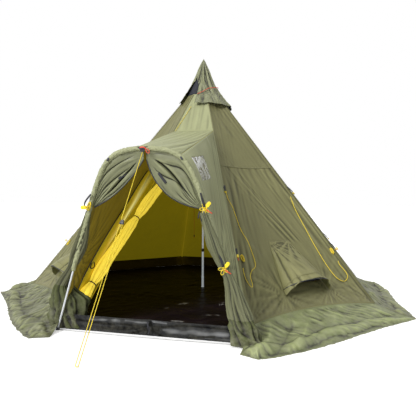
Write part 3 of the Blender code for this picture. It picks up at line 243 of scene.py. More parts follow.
def ring_points(turn, along):
    """Points round a bar of radius 1, for noise that closes on itself."""
    return np.stack(np.broadcast_arrays(np.cos(turn), np.sin(turn), along), -1)


def crumple(points, size, seed=0, levels=3):
    """Ridged noise from 0 to about 1: sharp folds that cross each other, as in slack coated cloth."""
    points = np.asarray(points, float)
    bend = np.stack([noise(points, size * 1.7, seed + 40 + axis) for axis in range(3)], -1) * size * 0.55
    total = 0.0
    share = 0.0
    weight = 1.0
    for level in range(levels):
        ridge = np.clip(1 - np.abs(noise(points + bend, size / 1.9 ** level, seed + level)), 0, 1)
        total = total + weight * ridge ** 2.2
        share += weight
        weight *= 0.5
    return total / share


def facets(points, size, seed=0, count=5):
    """Flat facets between sharp folds that fade in and out, from about -1 to 1, as in crumpled nylon."""
    random = np.random.default_rng(seed)
    points = np.asarray(points, float)
    bend = np.stack([noise(points, size * 1.5, seed + 70 + axis) for axis in range(3)], -1) * size * 0.55
    total = 0.0
    for step in range(count):
        way = unit(random.normal(size=3))
        wave = ((points + bend) @ way) / (size * (0.6 + 0.8 * random.random())) + random.random()
        strength = ramp(noise(points, size * 1.9, seed + 90 + step), -0.30, 0.35)
        total = total + (4 * np.abs(wave % 1 - 0.5) - 1) * strength
    return total / math.sqrt(count)


def ramp(value, low, high):
    """Rises smoothly from 0 at low to 1 at high."""
    share = np.clip((value - low) / (high - low), 0.0, 1.0)
    return share * share * (3 - 2 * share)


def unit(vectors):
    vectors = np.asarray(vectors, float)
    return vectors / np.maximum(np.linalg.norm(vectors, axis=-1, keepdims=True), 1e-12)


def blend(a, b, share):
    """Points between two arrays of points."""
    share = np.asarray(share, float)[..., None]
    return a * (1 - share) + b * share


def grid_normals(grid):
    """The outward direction at each point of a grid whose rows rise and whose columns run to the right."""
    up = np.gradient(grid, axis=0)
    right = np.gradient(grid, axis=1)
    return unit(np.cross(right, up))


def hollows(grid, closed=False):
    """How far each point of a grid lies below its neighbours: 1 in a deep fold, -1 on a crest."""
    out = grid_normals(grid)
    total = np.zeros(grid.shape[:2])
    for reach, weight in FOLD_REACHES:
        for axis in (0, 1):
            if grid.shape[axis] <= 2 * reach:
                continue
            room = [(0, 0), (0, 0), (0, 0)]
            room[axis] = (reach, reach)
            if closed and axis == 1:
                wide = np.pad(grid, room, mode="wrap")
            else:
                wide = np.pad(grid, room, mode="reflect", reflect_type="odd")
            count = grid.shape[axis]
            before = np.take(wide, range(0, count), axis)
            after = np.take(wide, range(2 * reach, 2 * reach + count), axis)
            span = np.linalg.norm(after - before, axis=-1) / 2 + 1e-6
            total += weight * (((before + after) / 2 - grid) * out).sum(-1) / span
    return np.clip(total, -1, 1)


def store(piece, name, values):
    """Stores a value for each point of a piece, for its finish to read. Points that thickness adds have 0."""
    layer = piece.data.attributes.get(name) or piece.data.attributes.new(name, "FLOAT", "POINT")
    stored = np.zeros(len(piece.data.vertices), np.float32)
    stored[:np.size(values)] = np.ravel(values)
    layer.data.foreach_set("value", stored)
    return piece


def mark_folds(piece, grid, closed=False, gain=1.0):
    """Stores how deep each point lies in a fold, for the finish to paint shade into the folds and light onto
    the crests.
    """
    return store(piece, "fold", np.clip(hollows(grid, closed) * gain, -1, 1))


def mark_tones(piece, values):
    """Stores a fold value for each point of a piece, for the finish to paint: 1 is painted shade, -1 a
    painted gleam.
    """
    return store(piece, "fold", np.clip(values, -1, 1))


def near_lines(points, lines):
    """From 0 to 1, how near each flat point lies to any line. A line is its two ends and a width."""
    near = np.zeros(points.shape[:-1])
    for start, end, width in lines:
        start, run = np.array(start, float), np.array(end, float) - np.array(start, float)
        share = np.clip(((points - start) @ run) / (run @ run), 0, 1)
        away = np.linalg.norm(points - start - share[..., None] * run, axis=-1)
        near = np.maximum(near, np.exp(-(away / width) ** 2))
    return near


def raised(grid, height):
    """A grid moved along its own normals."""
    return grid + grid_normals(grid) * np.asarray(height)[..., None]


def travel(points):
    """How far along a line each of its points lies."""
    return np.concatenate([[0], np.cumsum(np.linalg.norm(np.diff(points, axis=0), axis=1))])


def turns(count):
    """Evenly spaced angles round one full turn."""
    return 2 * math.pi * np.arange(count) / count


def shares(rows, columns):
    """How far across and how far up each point of a grid lies, from 0 to 1."""
    across = np.linspace(0, 1, columns + 1)[None, :] * np.ones((rows + 1, 1))
    up = np.linspace(0, 1, rows + 1)[:, None] * np.ones((1, columns + 1))
    return across, up


def evenly(points, count):
    """The same line of points with a number of evenly spaced ones."""
    points = np.asarray(points, float)
    travelled = travel(points)
    goals = np.linspace(0, travelled[-1], count)
    return np.stack([np.interp(goals, travelled, points[:, axis]) for axis in range(3)], -1)


def smooth_line(knots, count):
    """Evenly spaced points on a smooth curve through a few knots."""
    knots = np.asarray(knots, float)
    ends = np.vstack([2 * knots[0] - knots[1], knots, 2 * knots[-1] - knots[-2]])
    fine = []
    for index in range(1, len(ends) - 2):
        p0, p1, p2, p3 = ends[index - 1:index + 3]
        t = np.linspace(0, 1, KNOT_STEPS, endpoint=False)[:, None]
        fine.append(0.5 * (2 * p1 + (p2 - p0) * t + (2 * p0 - 5 * p1 + 4 * p2 - p3) * t ** 2
                           + (3 * p1 - p0 - 3 * p2 + p3) * t ** 3))
    fine.append(knots[-1:])
    return evenly(np.vstack(fine), count)


def line_length(points):
    return float(np.linalg.norm(np.diff(np.asarray(points, float), axis=0), axis=1).sum())


# Mesh building

# How far past an outline faces are cut, and how far off a surface a ray to it starts
CUT_MARGIN = 0.08
RAY_START = 0.25
# A sheet's area is worked out as at least this share of its rectangle, and a little under what is measured
LEAST_FILL = 0.31


def add_object(name, data):
    """A new object at the origin, in the scene."""
    holder = bpy.data.objects.new(name, data)
    bpy.context.scene.collection.objects.link(holder)
    return holder


def mesh_piece(name, points, faces, finish, corner_uv=None, sharp=40):
    """A mesh object at the origin with one finish, given by its name in the table of finishes."""
    mesh = bpy.data.meshes.new(name)
    mesh.from_pydata([tuple(p) for p in points], [], [tuple(f) for f in faces])
    if corner_uv is not None:
        layer = mesh.uv_layers.new(name="UVMap")
        layer.data.foreach_set("uv", np.asarray(corner_uv, np.float32).ravel())
    mesh.shade_smooth()
    if sharp:
        mesh.set_sharp_from_angle(angle=math.radians(sharp))
    mesh.materials.append(finish_of(finish))
    return add_object(name, mesh)


def grid_faces(rows, columns, closed=False):
    """Quads of a grid, as an array of corner numbers."""
    wrap = columns if closed else columns - 1
    row, column = np.meshgrid(np.arange(rows - 1), np.arange(wrap), indexing="ij")
    right = (column + 1) % columns
    low = row * columns
    high = low + columns
    return np.stack([low + column, low + right, high + right, high + column], -1).reshape(-1, 4)


def capped_faces(stations, around):
    """The faces of a closed bar made of rings, with its two ends."""
    last = (stations - 1) * around
    faces = grid_faces(stations, around, closed=True).tolist()
    return faces + [list(reversed(range(around))), list(range(last, last + around))]


def grid_uv(grid, closed=False):
    """The corner UVs of a grid in metres: across along u and up along v."""
    columns = grid.shape[1]
    ring = np.concatenate([grid, grid[:, :1]], 1) if closed else grid
    across = np.concatenate([[0], np.cumsum(np.linalg.norm(np.diff(ring, axis=1), axis=2).mean(0))])
    upward = np.concatenate([[0], np.cumsum(np.linalg.norm(np.diff(grid, axis=0), axis=2).mean(1))])
    wrap = columns if closed else columns - 1
    return cell_uv(across, upward, wrap)


def cell_uv(across, upward, columns):
    """The corner UVs of a grid's cells, from the u of its columns and the v of its rows."""
    row, column = np.meshgrid(np.arange(len(upward) - 1), np.arange(columns), indexing="ij")
    u = np.stack([across[column], across[column + 1], across[column + 1], across[column]], -1)
    v = np.stack([upward[row], upward[row], upward[row + 1], upward[row + 1]], -1)
    return np.stack([u, v], -1).reshape(-1, 2)


def thicken(piece, thickness, outward=False):
    cloth = piece.modifiers.new("Cloth thickness", "SOLIDIFY")
    cloth.thickness = thickness
    cloth.offset = 1.0 if outward else -1.0
    return piece


def cloth(name, grid, finish, thickness=CLOTH_T, outward=False, closed=False, yellow_lit_inside=None, gain=1.0):
    """A sheet of cloth over a grid of points, with its own thickness and a UV map in metres."""
    faces = grid_faces(grid.shape[0], grid.shape[1], closed)
    piece = mesh_piece(name, grid.reshape(-1, 3), faces, finish, grid_uv(grid, closed), sharp=0)
    mark_folds(piece, grid, closed, gain)
    thicken(piece, thickness, outward)
    # The inside face can take a second finish; the porch walls' one paints yellow light there
    if yellow_lit_inside:
        piece.data.materials.append(finish_of(yellow_lit_inside))
        piece.modifiers[-1].material_offset = 1
    return piece


def frames_along(path):
    """Two directions square to a path at each point, carried along it without twisting."""
    path = np.asarray(path, float)
    along = unit(np.gradient(path, axis=0))
    side = np.cross(along[0], (0.0, 0.0, 1.0))
    if np.linalg.norm(side) < 0.1:
        side = np.cross(along[0], (1.0, 0.0, 0.0))
    sides = []
    for way in along:
        side = side - way * (side @ way)
        side = side / np.linalg.norm(side)
        sides.append(side)
    sides = np.array(sides)
    return sides, np.cross(along, sides)


def ring_grid(path, radii):
    """Rings of points square to a path, in rows along it."""
    first, second = frames_along(path)
    angle = turns(radii.shape[1])
    spoke = np.cos(angle)[:, None] * first[:, None, :] + np.sin(angle)[:, None] * second[:, None, :]
    return path[:, None, :] + spoke * radii[..., None]


def tube(name, path, radii, around, finish, sharp=0):
    """A closed bar along a path. Its radii are one number, one for each point, or one for each point
    and turn."""
    path = np.asarray(path, float)
    radii = np.asarray(radii, float)
    radii = np.broadcast_to(radii[:, None] if radii.ndim == 1 else radii, (len(path), around))
    points = ring_grid(path, radii)
    travelled = travel(path)
    girth = 2 * math.pi * float(radii.mean())
    corner_uv = cell_uv(np.arange(around + 1) / around * girth, travelled, around).tolist()
    corner_uv += [(0.0, 0.0)] * around + [(0.0, float(travelled[-1]))] * around
    return mesh_piece(name, points.reshape(-1, 3), capped_faces(len(path), around), finish, corner_uv, sharp)


def ribbon(name, path, normals, width, finish, thickness=0.0016, lift=0.0, columns=4, crown=0.0):
    """A flat strip along a path, lying on a surface whose outward directions are given."""
    path = np.asarray(path, float)
    normals = unit(np.broadcast_to(np.asarray(normals, float), path.shape))
    along = unit(np.gradient(path, axis=0))
    side = unit(np.cross(along, normals))
    width = np.broadcast_to(np.asarray(width, float), (len(path),))
    across = np.linspace(-0.5, 0.5, columns + 1)
    rise = lift + crown * (1 - 4 * across ** 2)
    grid = path[:, None, :] + side[:, None, :] * (across[None, :, None] * width[:, None, None])
    grid = grid + normals[:, None, :] * rise[None, :, None]
    return cloth(name, grid, finish, thickness, outward=True)


def join(pieces, name):
    """Several pieces with live thickness made into one mesh piece."""
    graph = bpy.context.evaluated_depsgraph_get()
    work = bmesh.new()
    finishes = []
    for piece in pieces:
        graph.update()
        mesh = bpy.data.meshes.new_from_object(piece.evaluated_get(graph))
        offset = {}
        for index, finish in enumerate(mesh.materials):
            if finish not in finishes:
                finishes.append(finish)
            offset[index] = finishes.index(finish)
        start = len(work.faces)
        work.from_mesh(mesh)
        work.faces.ensure_lookup_table()
        for face in work.faces[start:]:
            face.material_index = offset[face.material_index]
        bpy.data.meshes.remove(mesh)
        bpy.data.objects.remove(piece, do_unlink=True)
    mesh = bpy.data.meshes.new(name)
    work.to_mesh(mesh)
    work.free()
    for finish in finishes:
        mesh.materials.append(finish)
    return add_object(name, mesh)


def open_outline(piece, outline, way, keep_inside=False):
    """Cuts a sheet along the edges of a convex outline, and takes away what is inside it, or outside it."""
    outline = [Vector(p) for p in outline]
    way = Vector(way).normalized()
    centre = sum(outline, Vector()) / len(outline)
    planes = []
    for a, b in zip(outline, outline[1:] + outline[:1]):
        side = (b - a).cross(way).normalized()
        if (centre - a).dot(side) > 0:
            side = -side
        planes.append((a, side))
    work = bmesh.new()
    work.from_mesh(piece.data)
    reach = max((p - centre).length for p in outline) + CUT_MARGIN
    for a, side in planes:
        near = [f for f in work.faces if (f.calc_center_median() - centre).length < reach]
        geometry = set(near)
        for face in near:
            geometry.update(face.edges)
            geometry.update(face.verts)
        bmesh.ops.bisect_plane(work, geom=list(geometry), plane_co=a, plane_no=side, dist=1e-6)
    gone = []
    for face in work.faces:
        middle = face.calc_center_median()
        inside = (middle - centre).length < reach and all((middle - a).dot(side) < 0 for a, side in planes)
        if inside != keep_inside:
            gone.append(face)
    bmesh.ops.delete(work, geom=gone, context="FACES")
    work.to_mesh(piece.data)
    work.free()
    return piece


def surface_of(piece):
    """A finished piece's faces, ready to be measured against."""
    points = [piece.matrix_world @ vertex.co for vertex in piece.data.vertices]
    return BVHTree.FromPolygons(points, [tuple(face.vertices) for face in piece.data.polygons])


def laid_on(surface, points, down, gap):
    """Points moved along a direction until each is a gap off the surface, where there is one."""
    down = Vector(down).normalized()
    laid = []
    for point in points:
        point = Vector(point)
        hit = surface.ray_cast(point - down * RAY_START, down)
        laid.append(hit[0] - down * gap if hit[0] else point)
    return np.array([tuple(p) for p in laid])


def place(piece, body, slot, *nodes):
    """A piece rides on a body and stands for the nodes that are named, which are hidden. Its slot is not
    used.
    """
    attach(piece, body)
    if nodes:
        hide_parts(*nodes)
    return piece


def declare_cloth(piece, base, ease=1.0):
    """Works out how large a sheet was cut: its longest width and length, and its area before the small folds,
    but keeps none of them.
    """
    right = np.linalg.norm(np.diff(base, axis=1), axis=2)
    up = np.linalg.norm(np.diff(base, axis=0), axis=2)
    width = float(right.sum(1).max())
    length = float(up.sum(0).max())
    a, b, c, d = base[:-1, :-1], base[:-1, 1:], base[1:, 1:], base[1:, :-1]
    halves = [np.linalg.norm(np.cross(b - corner, d - corner), axis=2) for corner in (a, c)]
    area = float((halves[0] + halves[1]).sum() / 2)
    area = min(max(area * ease, LEAST_FILL * width * length), width * length)
    return piece


# Shader node groups, each built once

def new_group(name, inputs, outputs):
    """An empty shader group. Inputs are names with a number, a colour, three numbers or None for a vector."""
    group = bpy.data.node_groups.new(name, "ShaderNodeTree")
    for label, default in inputs.items():
        kind = "Vector"
        if isinstance(default, float):
            kind = "Float"
        elif default and len(default) == 4:
            kind = "Color"
        socket = group.interface.new_socket(name=label, in_out="INPUT", socket_type="NodeSocket" + kind)
        if default is not None:
            socket.default_value = default
    for label in outputs:
        kind = "Color" if label == "Colour" else "Float"
        group.interface.new_socket(name=label, in_out="OUTPUT", socket_type="NodeSocket" + kind)
    entry = group.nodes.new("NodeGroupInput")
    leave = group.nodes.new("NodeGroupOutput")
    return group, entry.outputs, leave


def wire(tree, node, **links):
    """Sets a node's sockets by name or number: each gets a value, or a socket to link from."""
    for key, value in links.items():
        target = node.inputs[int(key[1:]) if key[0] == "n" and key[1:].isdigit() else key.replace("_", " ")]
        if isinstance(value, bpy.types.NodeSocket):
            tree.links.new(value, target)
        else:
            target.default_value = value
    return node


def add_node(tree, kind, settings=None, **links):
    """A node with settings by attribute, and sockets by name or number."""
    node = tree.nodes.new(kind)
    for key, value in (settings or {}).items():
        setattr(node, key, value)
    return wire(tree, node, **links)


def math_node(tree, operation, first, second=0.5, third=0.5):
    node = add_node(tree, "ShaderNodeMath", {"operation": operation}, n0=first, n1=second, n2=third)
    return node.outputs[0]


def mix_colour(tree, share, first, second, blend_type="MIX"):
    settings = {"data_type": "RGBA", "blend_type": blend_type}
    return add_node(tree, "ShaderNodeMix", settings, n0=share, n6=first, n7=second).outputs[2]


def ranged(tree, value, from_range=(0.0, 1.0), to_range=(0.0, 1.0), ease="LINEAR"):
    """A value carried from one range to another."""
    return add_node(tree, "ShaderNodeMapRange", {"interpolation_type": ease}, Value=value,
                    From_Min=from_range[0], From_Max=from_range[1],
                    To_Min=to_range[0], To_Max=to_range[1]).outputs[0]


def scaled_vector(tree, vector, stretch):
    settings = {"operation": "MULTIPLY"}
    return add_node(tree, "ShaderNodeVectorMath", settings, n0=vector, n1=stretch).outputs[0]


def noise_node(tree, vector, scale, detail, roughness=0.5, distortion=0.0, **settings):
    return add_node(tree, "ShaderNodeTexNoise", settings, Vector=vector, Scale=scale, Detail=detail,
                    Roughness=roughness, Distortion=distortion).outputs[0]


def weave_group(name):
    """Plain weave on a UV map in metres: a height, and a shade that darkens between the threads."""
    group, given, leave = new_group(name, {"Vector": None, "Spacing": 0.0012}, ("Height", "Shade"))
    split = add_node(group, "ShaderNodeSeparateXYZ", Vector=given["Vector"]).outputs
    turn = math_node(group, "DIVIDE", math.pi, given["Spacing"])
    across = math_node(group, "SINE", math_node(group, "MULTIPLY", split[0], turn))
    along = math_node(group, "SINE", math_node(group, "MULTIPLY", split[1], turn))
    over = math_node(group, "MULTIPLY", across, along)
    wire(group, leave, Height=math_node(group, "MULTIPLY_ADD", over, 0.5, 0.5),
         Shade=math_node(group, "ABSOLUTE", over))
    return group


def crease_group(name):
    """Small sharp creases of coated cloth: a height and a mask of the folds that catch light."""
    inputs = {"Vector": None, "Size": 0.08, "Stretch": (1.0, 1.0, 1.0)}
    group, given, leave = new_group(name, inputs, ("Height", "Mask"))
    scale = math_node(group, "DIVIDE", 1.0, given["Size"])
    flat = scaled_vector(group, given["Vector"], given["Stretch"])
    large = noise_node(group, flat, scale, 1.5, 0.4, 0.6, noise_type="RIDGED_MULTIFRACTAL", normalize=True)
    small = noise_node(group, flat, math_node(group, "MULTIPLY", scale, 2.2), 1.5, 0.5, 0.9, normalize=True)
    height = math_node(group, "MULTIPLY_ADD", small, 0.30, large)
    wire(group, leave, Height=height, Mask=ranged(group, large, (0.35, 0.85)))
    return group


def drift_group(name):
    """Slow changes of colour over a cloth, as from dye, handling and light behind it."""
    inputs = {"Colour": (0.5, 0.5, 0.5, 1), "Vector": None, "Size": 0.4, "Amount": 0.15}
    group, given, leave = new_group(name, inputs, ("Colour",))
    cloud = noise_node(group, given["Vector"], math_node(group, "DIVIDE", 1.0, given["Size"]), 5.0, 0.55)
    low = math_node(group, "SUBTRACT", 1.0, given["Amount"])
    high = math_node(group, "ADD", 1.0, given["Amount"])
    shift = ranged(group, cloud, (0.3, 0.7), (low, high))
    changed = add_node(group, "ShaderNodeHueSaturation", Color=given["Colour"], Value=shift)
    wire(group, leave, Colour=changed.outputs[0])
    return group


def dust_group(name):
    """Dry dust near the ground: the colour with dust on it, and where the dust is."""
    inputs = {"Colour": (0.5, 0.5, 0.5, 1), "Dust": (0.42, 0.40, 0.32, 1), "Vector": None, "Height": 0.35,
              "Amount": 0.3}
    group, given, leave = new_group(name, inputs, ("Colour", "Mask"))
    split = add_node(group, "ShaderNodeSeparateXYZ", Vector=given["Vector"]).outputs
    share = math_node(group, "DIVIDE", split[2], given["Height"])
    low = ranged(group, share, to_range=(1.0, 0.0), ease="SMOOTHSTEP")
    speck = noise_node(group, given["Vector"], 18.0, 8.0, 0.7)
    both = math_node(group, "MULTIPLY", low, ranged(group, speck, (0.38, 0.68)))
    mask = math_node(group, "MULTIPLY", both, given["Amount"])
    wire(group, leave, Colour=mix_colour(group, mask, given["Colour"], given["Dust"]), Mask=mask)
    return group


def braid_group(name):
    """The braid of a round cord on a UV map in metres: crossing strands as a height and a shade."""
    inputs = {"Vector": None, "Girth": 0.0173, "Strands": 4.0, "Pitch": 0.006}
    group, given, leave = new_group(name, inputs, ("Height", "Shade"))
    split = add_node(group, "ShaderNodeSeparateXYZ", Vector=given["Vector"]).outputs
    round_turns = math_node(group, "DIVIDE", split[0], given["Girth"])
    round_turns = math_node(group, "MULTIPLY", round_turns, given["Strands"])
    along = math_node(group, "DIVIDE", split[1], given["Pitch"])
    strands = []
    for way in ("ADD", "SUBTRACT"):
        turned = math_node(group, way, along, round_turns)
        strands.append(math_node(group, "SINE", math_node(group, "MULTIPLY", turned, math.pi)))
    right, left = (math_node(group, "ABSOLUTE", strand) for strand in strands)
    over = math_node(group, "MAXIMUM", right, left)
    wire(group, leave, Height=over, Shade=ranged(group, over, (0.55, 1.0), (0.80, 1.0)))
    return group


def scuff_group(name):
    """Fine scratches and handling marks on moulded and drawn parts, as a value round a half."""
    group, given, leave = new_group(name, {"Vector": None, "Stretch": (60.0, 60.0, 6.0)}, ("Value",))
    flat = scaled_vector(group, given["Vector"], given["Stretch"])
    wire(group, leave, Value=noise_node(group, flat, 4.0, 7.0, 0.65))
    return group


GROUP_MAKERS = {
    "Plain weave": weave_group,
    "Cloth creases": crease_group,
    "Colour drift": drift_group,
    "Ground dust": dust_group,
    "Cord braid": braid_group,
    "Scuffs": scuff_group,
}


def group_node(tree, name, **links):
    """Places a shared group in a material, and builds the group the first time."""
    group = bpy.data.node_groups.get(name) or GROUP_MAKERS[name](name)
    return wire(tree, add_node(tree, "ShaderNodeGroup", {"node_tree": group}), **links).outputs


def new_material(name, colour, roughness, **shader_values):
    """A Principled material, and what a finish starts from: its tree, shader and coordinates."""
    material = bpy.data.materials.new(name)
    material.use_nodes = True
    material.diffuse_color = colour
    tree = material.node_tree
    shader = tree.nodes["Principled BSDF"]
    wire(tree, shader, Base_Color=colour, Roughness=roughness, **shader_values)
    return material, tree, shader, tree.nodes.new("ShaderNodeTexCoord").outputs


def cloth_finish(name, colour, roughness, crease, crease_depth, stretch, drift, dust=0.0,
                 thread=None, thread_depth=0.00012, fold_shade=0.7, crest_gain=0.4,
                 glowing=False, gleam=None, **shader_values):
    """Woven, coated cloth: threads, small creases, slow colour changes and dust near the ground, with painted
    shade in its folds and painted light on its crests, as each point's fold value says. A glowing cloth
    shines with painted light of its own toned colour, so its painted fold shade shows in that light too. A
    gleam is a
    painted highlight: the pale colour that its highest crests are mixed towards."""
    thread = thread or bpy.context.scene.tent_cloth.thread
    material, tree, shader, at = new_material(name, colour, roughness, **shader_values)
    drifted = group_node(tree, "Colour drift", Colour=colour, Vector=at["Object"], Amount=drift)
    weave = group_node(tree, "Plain weave", Vector=at["UV"], Spacing=thread)
    creases = group_node(tree, "Cloth creases", Vector=at["Object"], Size=crease, Stretch=stretch)
    between = ranged(tree, weave["Shade"], to_range=(0.90, 1.04))
    toned = mix_colour(tree, 1.0, drifted[0], between, "MULTIPLY")
    light = ranged(tree, creases["Mask"], to_range=(0.95, 1.08))
    toned = mix_colour(tree, 1.0, toned, light, "MULTIPLY")
    # Painted shade in the folds and painted highlight on the crests, from each point's fold value
    deep = add_node(tree, "ShaderNodeAttribute", {"attribute_name": "fold"}).outputs["Fac"]
    shadow = ranged(tree, deep, (0.04, 0.75), (1.0, 1 - fold_shade))
    crest = ranged(tree, deep, (-0.6, -0.04), (1 + crest_gain * fold_shade, 1.0))
    toned = mix_colour(tree, 1.0, toned, math_node(tree, "MULTIPLY", shadow, crest), "MULTIPLY")
    rough = ranged(tree, creases["Mask"], to_range=(roughness + 0.06, roughness - 0.08))
    # Painted gleam: the highest crests are mixed towards a pale colour
    if gleam:
        toned = mix_colour(tree, ranged(tree, deep, (-0.9, -0.25), (1.0, 0.0)), toned, gleam)
    if dust:
        toned = group_node(tree, "Ground dust", Colour=toned, Vector=at["Object"], Amount=dust)["Colour"]
    # Painted glow: the toned colour shines as the cloth's own light
    if glowing:
        wire(tree, shader, Emission_Color=toned)
    folds = add_node(tree, "ShaderNodeBump", Strength=1.0, Distance=crease_depth, Height=creases["Height"])
    threads = add_node(tree, "ShaderNodeBump", Strength=0.6, Distance=thread_depth, Height=weave["Height"],
                       Normal=folds.outputs[0])
    wire(tree, shader, Base_Color=toned, Roughness=rough, Normal=threads.outputs[0])
    return material


def daylit_finish(name, colour, *values, dark, bright):
    """Cloth with daylight through it, as strong as its points' glow says."""
    material = cloth_finish(name, colour, *values, Emission_Strength=1.0)
    tree = material.node_tree
    glow = add_node(tree, "ShaderNodeAttribute", {"attribute_name": "glow"}).outputs["Fac"]
    wire(tree, tree.nodes["Principled BSDF"], Emission_Color=mix_colour(tree, glow, dark, bright))
    return material


def cord_finish(name, colour, girth, pitch=0.006, roughness=0.6):
    """Braided cord: crossing strands and a little colour change along it."""
    material, tree, shader, at = new_material(name, colour, roughness)
    braid = group_node(tree, "Cord braid", Vector=at["UV"], Girth=girth, Pitch=pitch)
    drifted = group_node(tree, "Colour drift", Colour=colour, Vector=at["Object"], Size=0.05, Amount=0.10)
    toned = mix_colour(tree, 1.0, drifted[0], braid["Shade"], "MULTIPLY")
    bump = add_node(tree, "ShaderNodeBump", Strength=0.8, Distance=girth * 0.008, Height=braid["Height"])
    wire(tree, shader, Base_Color=toned, Normal=bump.outputs[0])
    return material


def hard_finish(name, colour, roughness, stretch=(60.0, 60.0, 60.0), contrast=0.12, depth=0.00004,
                **shader_values):
    """Moulded plastic or drawn metal with fine scuffs."""
    material, tree, shader, at = new_material(name, colour, roughness, **shader_values)
    scuffs = group_node(tree, "Scuffs", Vector=at["Object"], Stretch=stretch)[0]
    tone = ranged(tree, scuffs, (0.3, 0.7), (1 - contrast, 1 + contrast))
    toned = mix_colour(tree, 1.0, colour, tone, "MULTIPLY")
    rough = ranged(tree, scuffs, (0.3, 0.7), (roughness - 0.07, roughness + 0.1))
    bump = add_node(tree, "ShaderNodeBump", Strength=0.5, Distance=depth, Height=scuffs)
    wire(tree, shader, Base_Color=toned, Roughness=rough, Normal=bump.outputs[0])
    return material


def seen_straight(tree):
    """1 for a ray from the camera, straight or through gloss or film, and 0 for the rest."""
    rays_of = tree.nodes.new("ShaderNodeLightPath").outputs
    seen = math_node(tree, "MAXIMUM", rays_of["Is Camera Ray"], rays_of["Is Glossy Ray"])
    return math_node(tree, "MAXIMUM", seen, rays_of["Is Transmission Ray"])


def stage_finish(name, colour, roughness, glow):
    """The pale floor of the stage, lit up a little where it is seen."""
    material, tree, shader, _ = new_material(name, colour, roughness)
    strength = math_node(tree, "MULTIPLY", seen_straight(tree), glow)
    wire(tree, shader, Emission_Color=(1, 1, 1, 1), Emission_Strength=strength)
    return material


def film_finish(name, colour, roughness, dull, painted_reflection, **shader_values):
    """Clear flexible film with the gloss of its wrinkles, and painted reflections: pale patches over a noise,
    mixed into its colour.
    """
    material, tree, shader, at = new_material(name, colour, roughness, **shader_values)
    creases = group_node(tree, "Cloth creases", Vector=at["Object"], Size=0.060)
    patch = noise_node(tree, at["Object"], 8.0, 2.5, distortion=2.6)
    bump = add_node(tree, "ShaderNodeBump", Strength=1.0, Distance=0.012, Height=creases["Height"])
    glint = ranged(tree, patch, (0.40, 0.52), ease="SMOOTHSTEP")
    alpha = ranged(tree, glint, to_range=(0.60, 0.95))
    wire(tree, shader, Normal=bump.outputs[0], Alpha=alpha, Base_Color=mix_colour(tree, glint, dull, painted_reflection))
    return material


EVEN = (1, 1, 1)
METAL_GRAIN = (160.0, 160.0, 5.0)

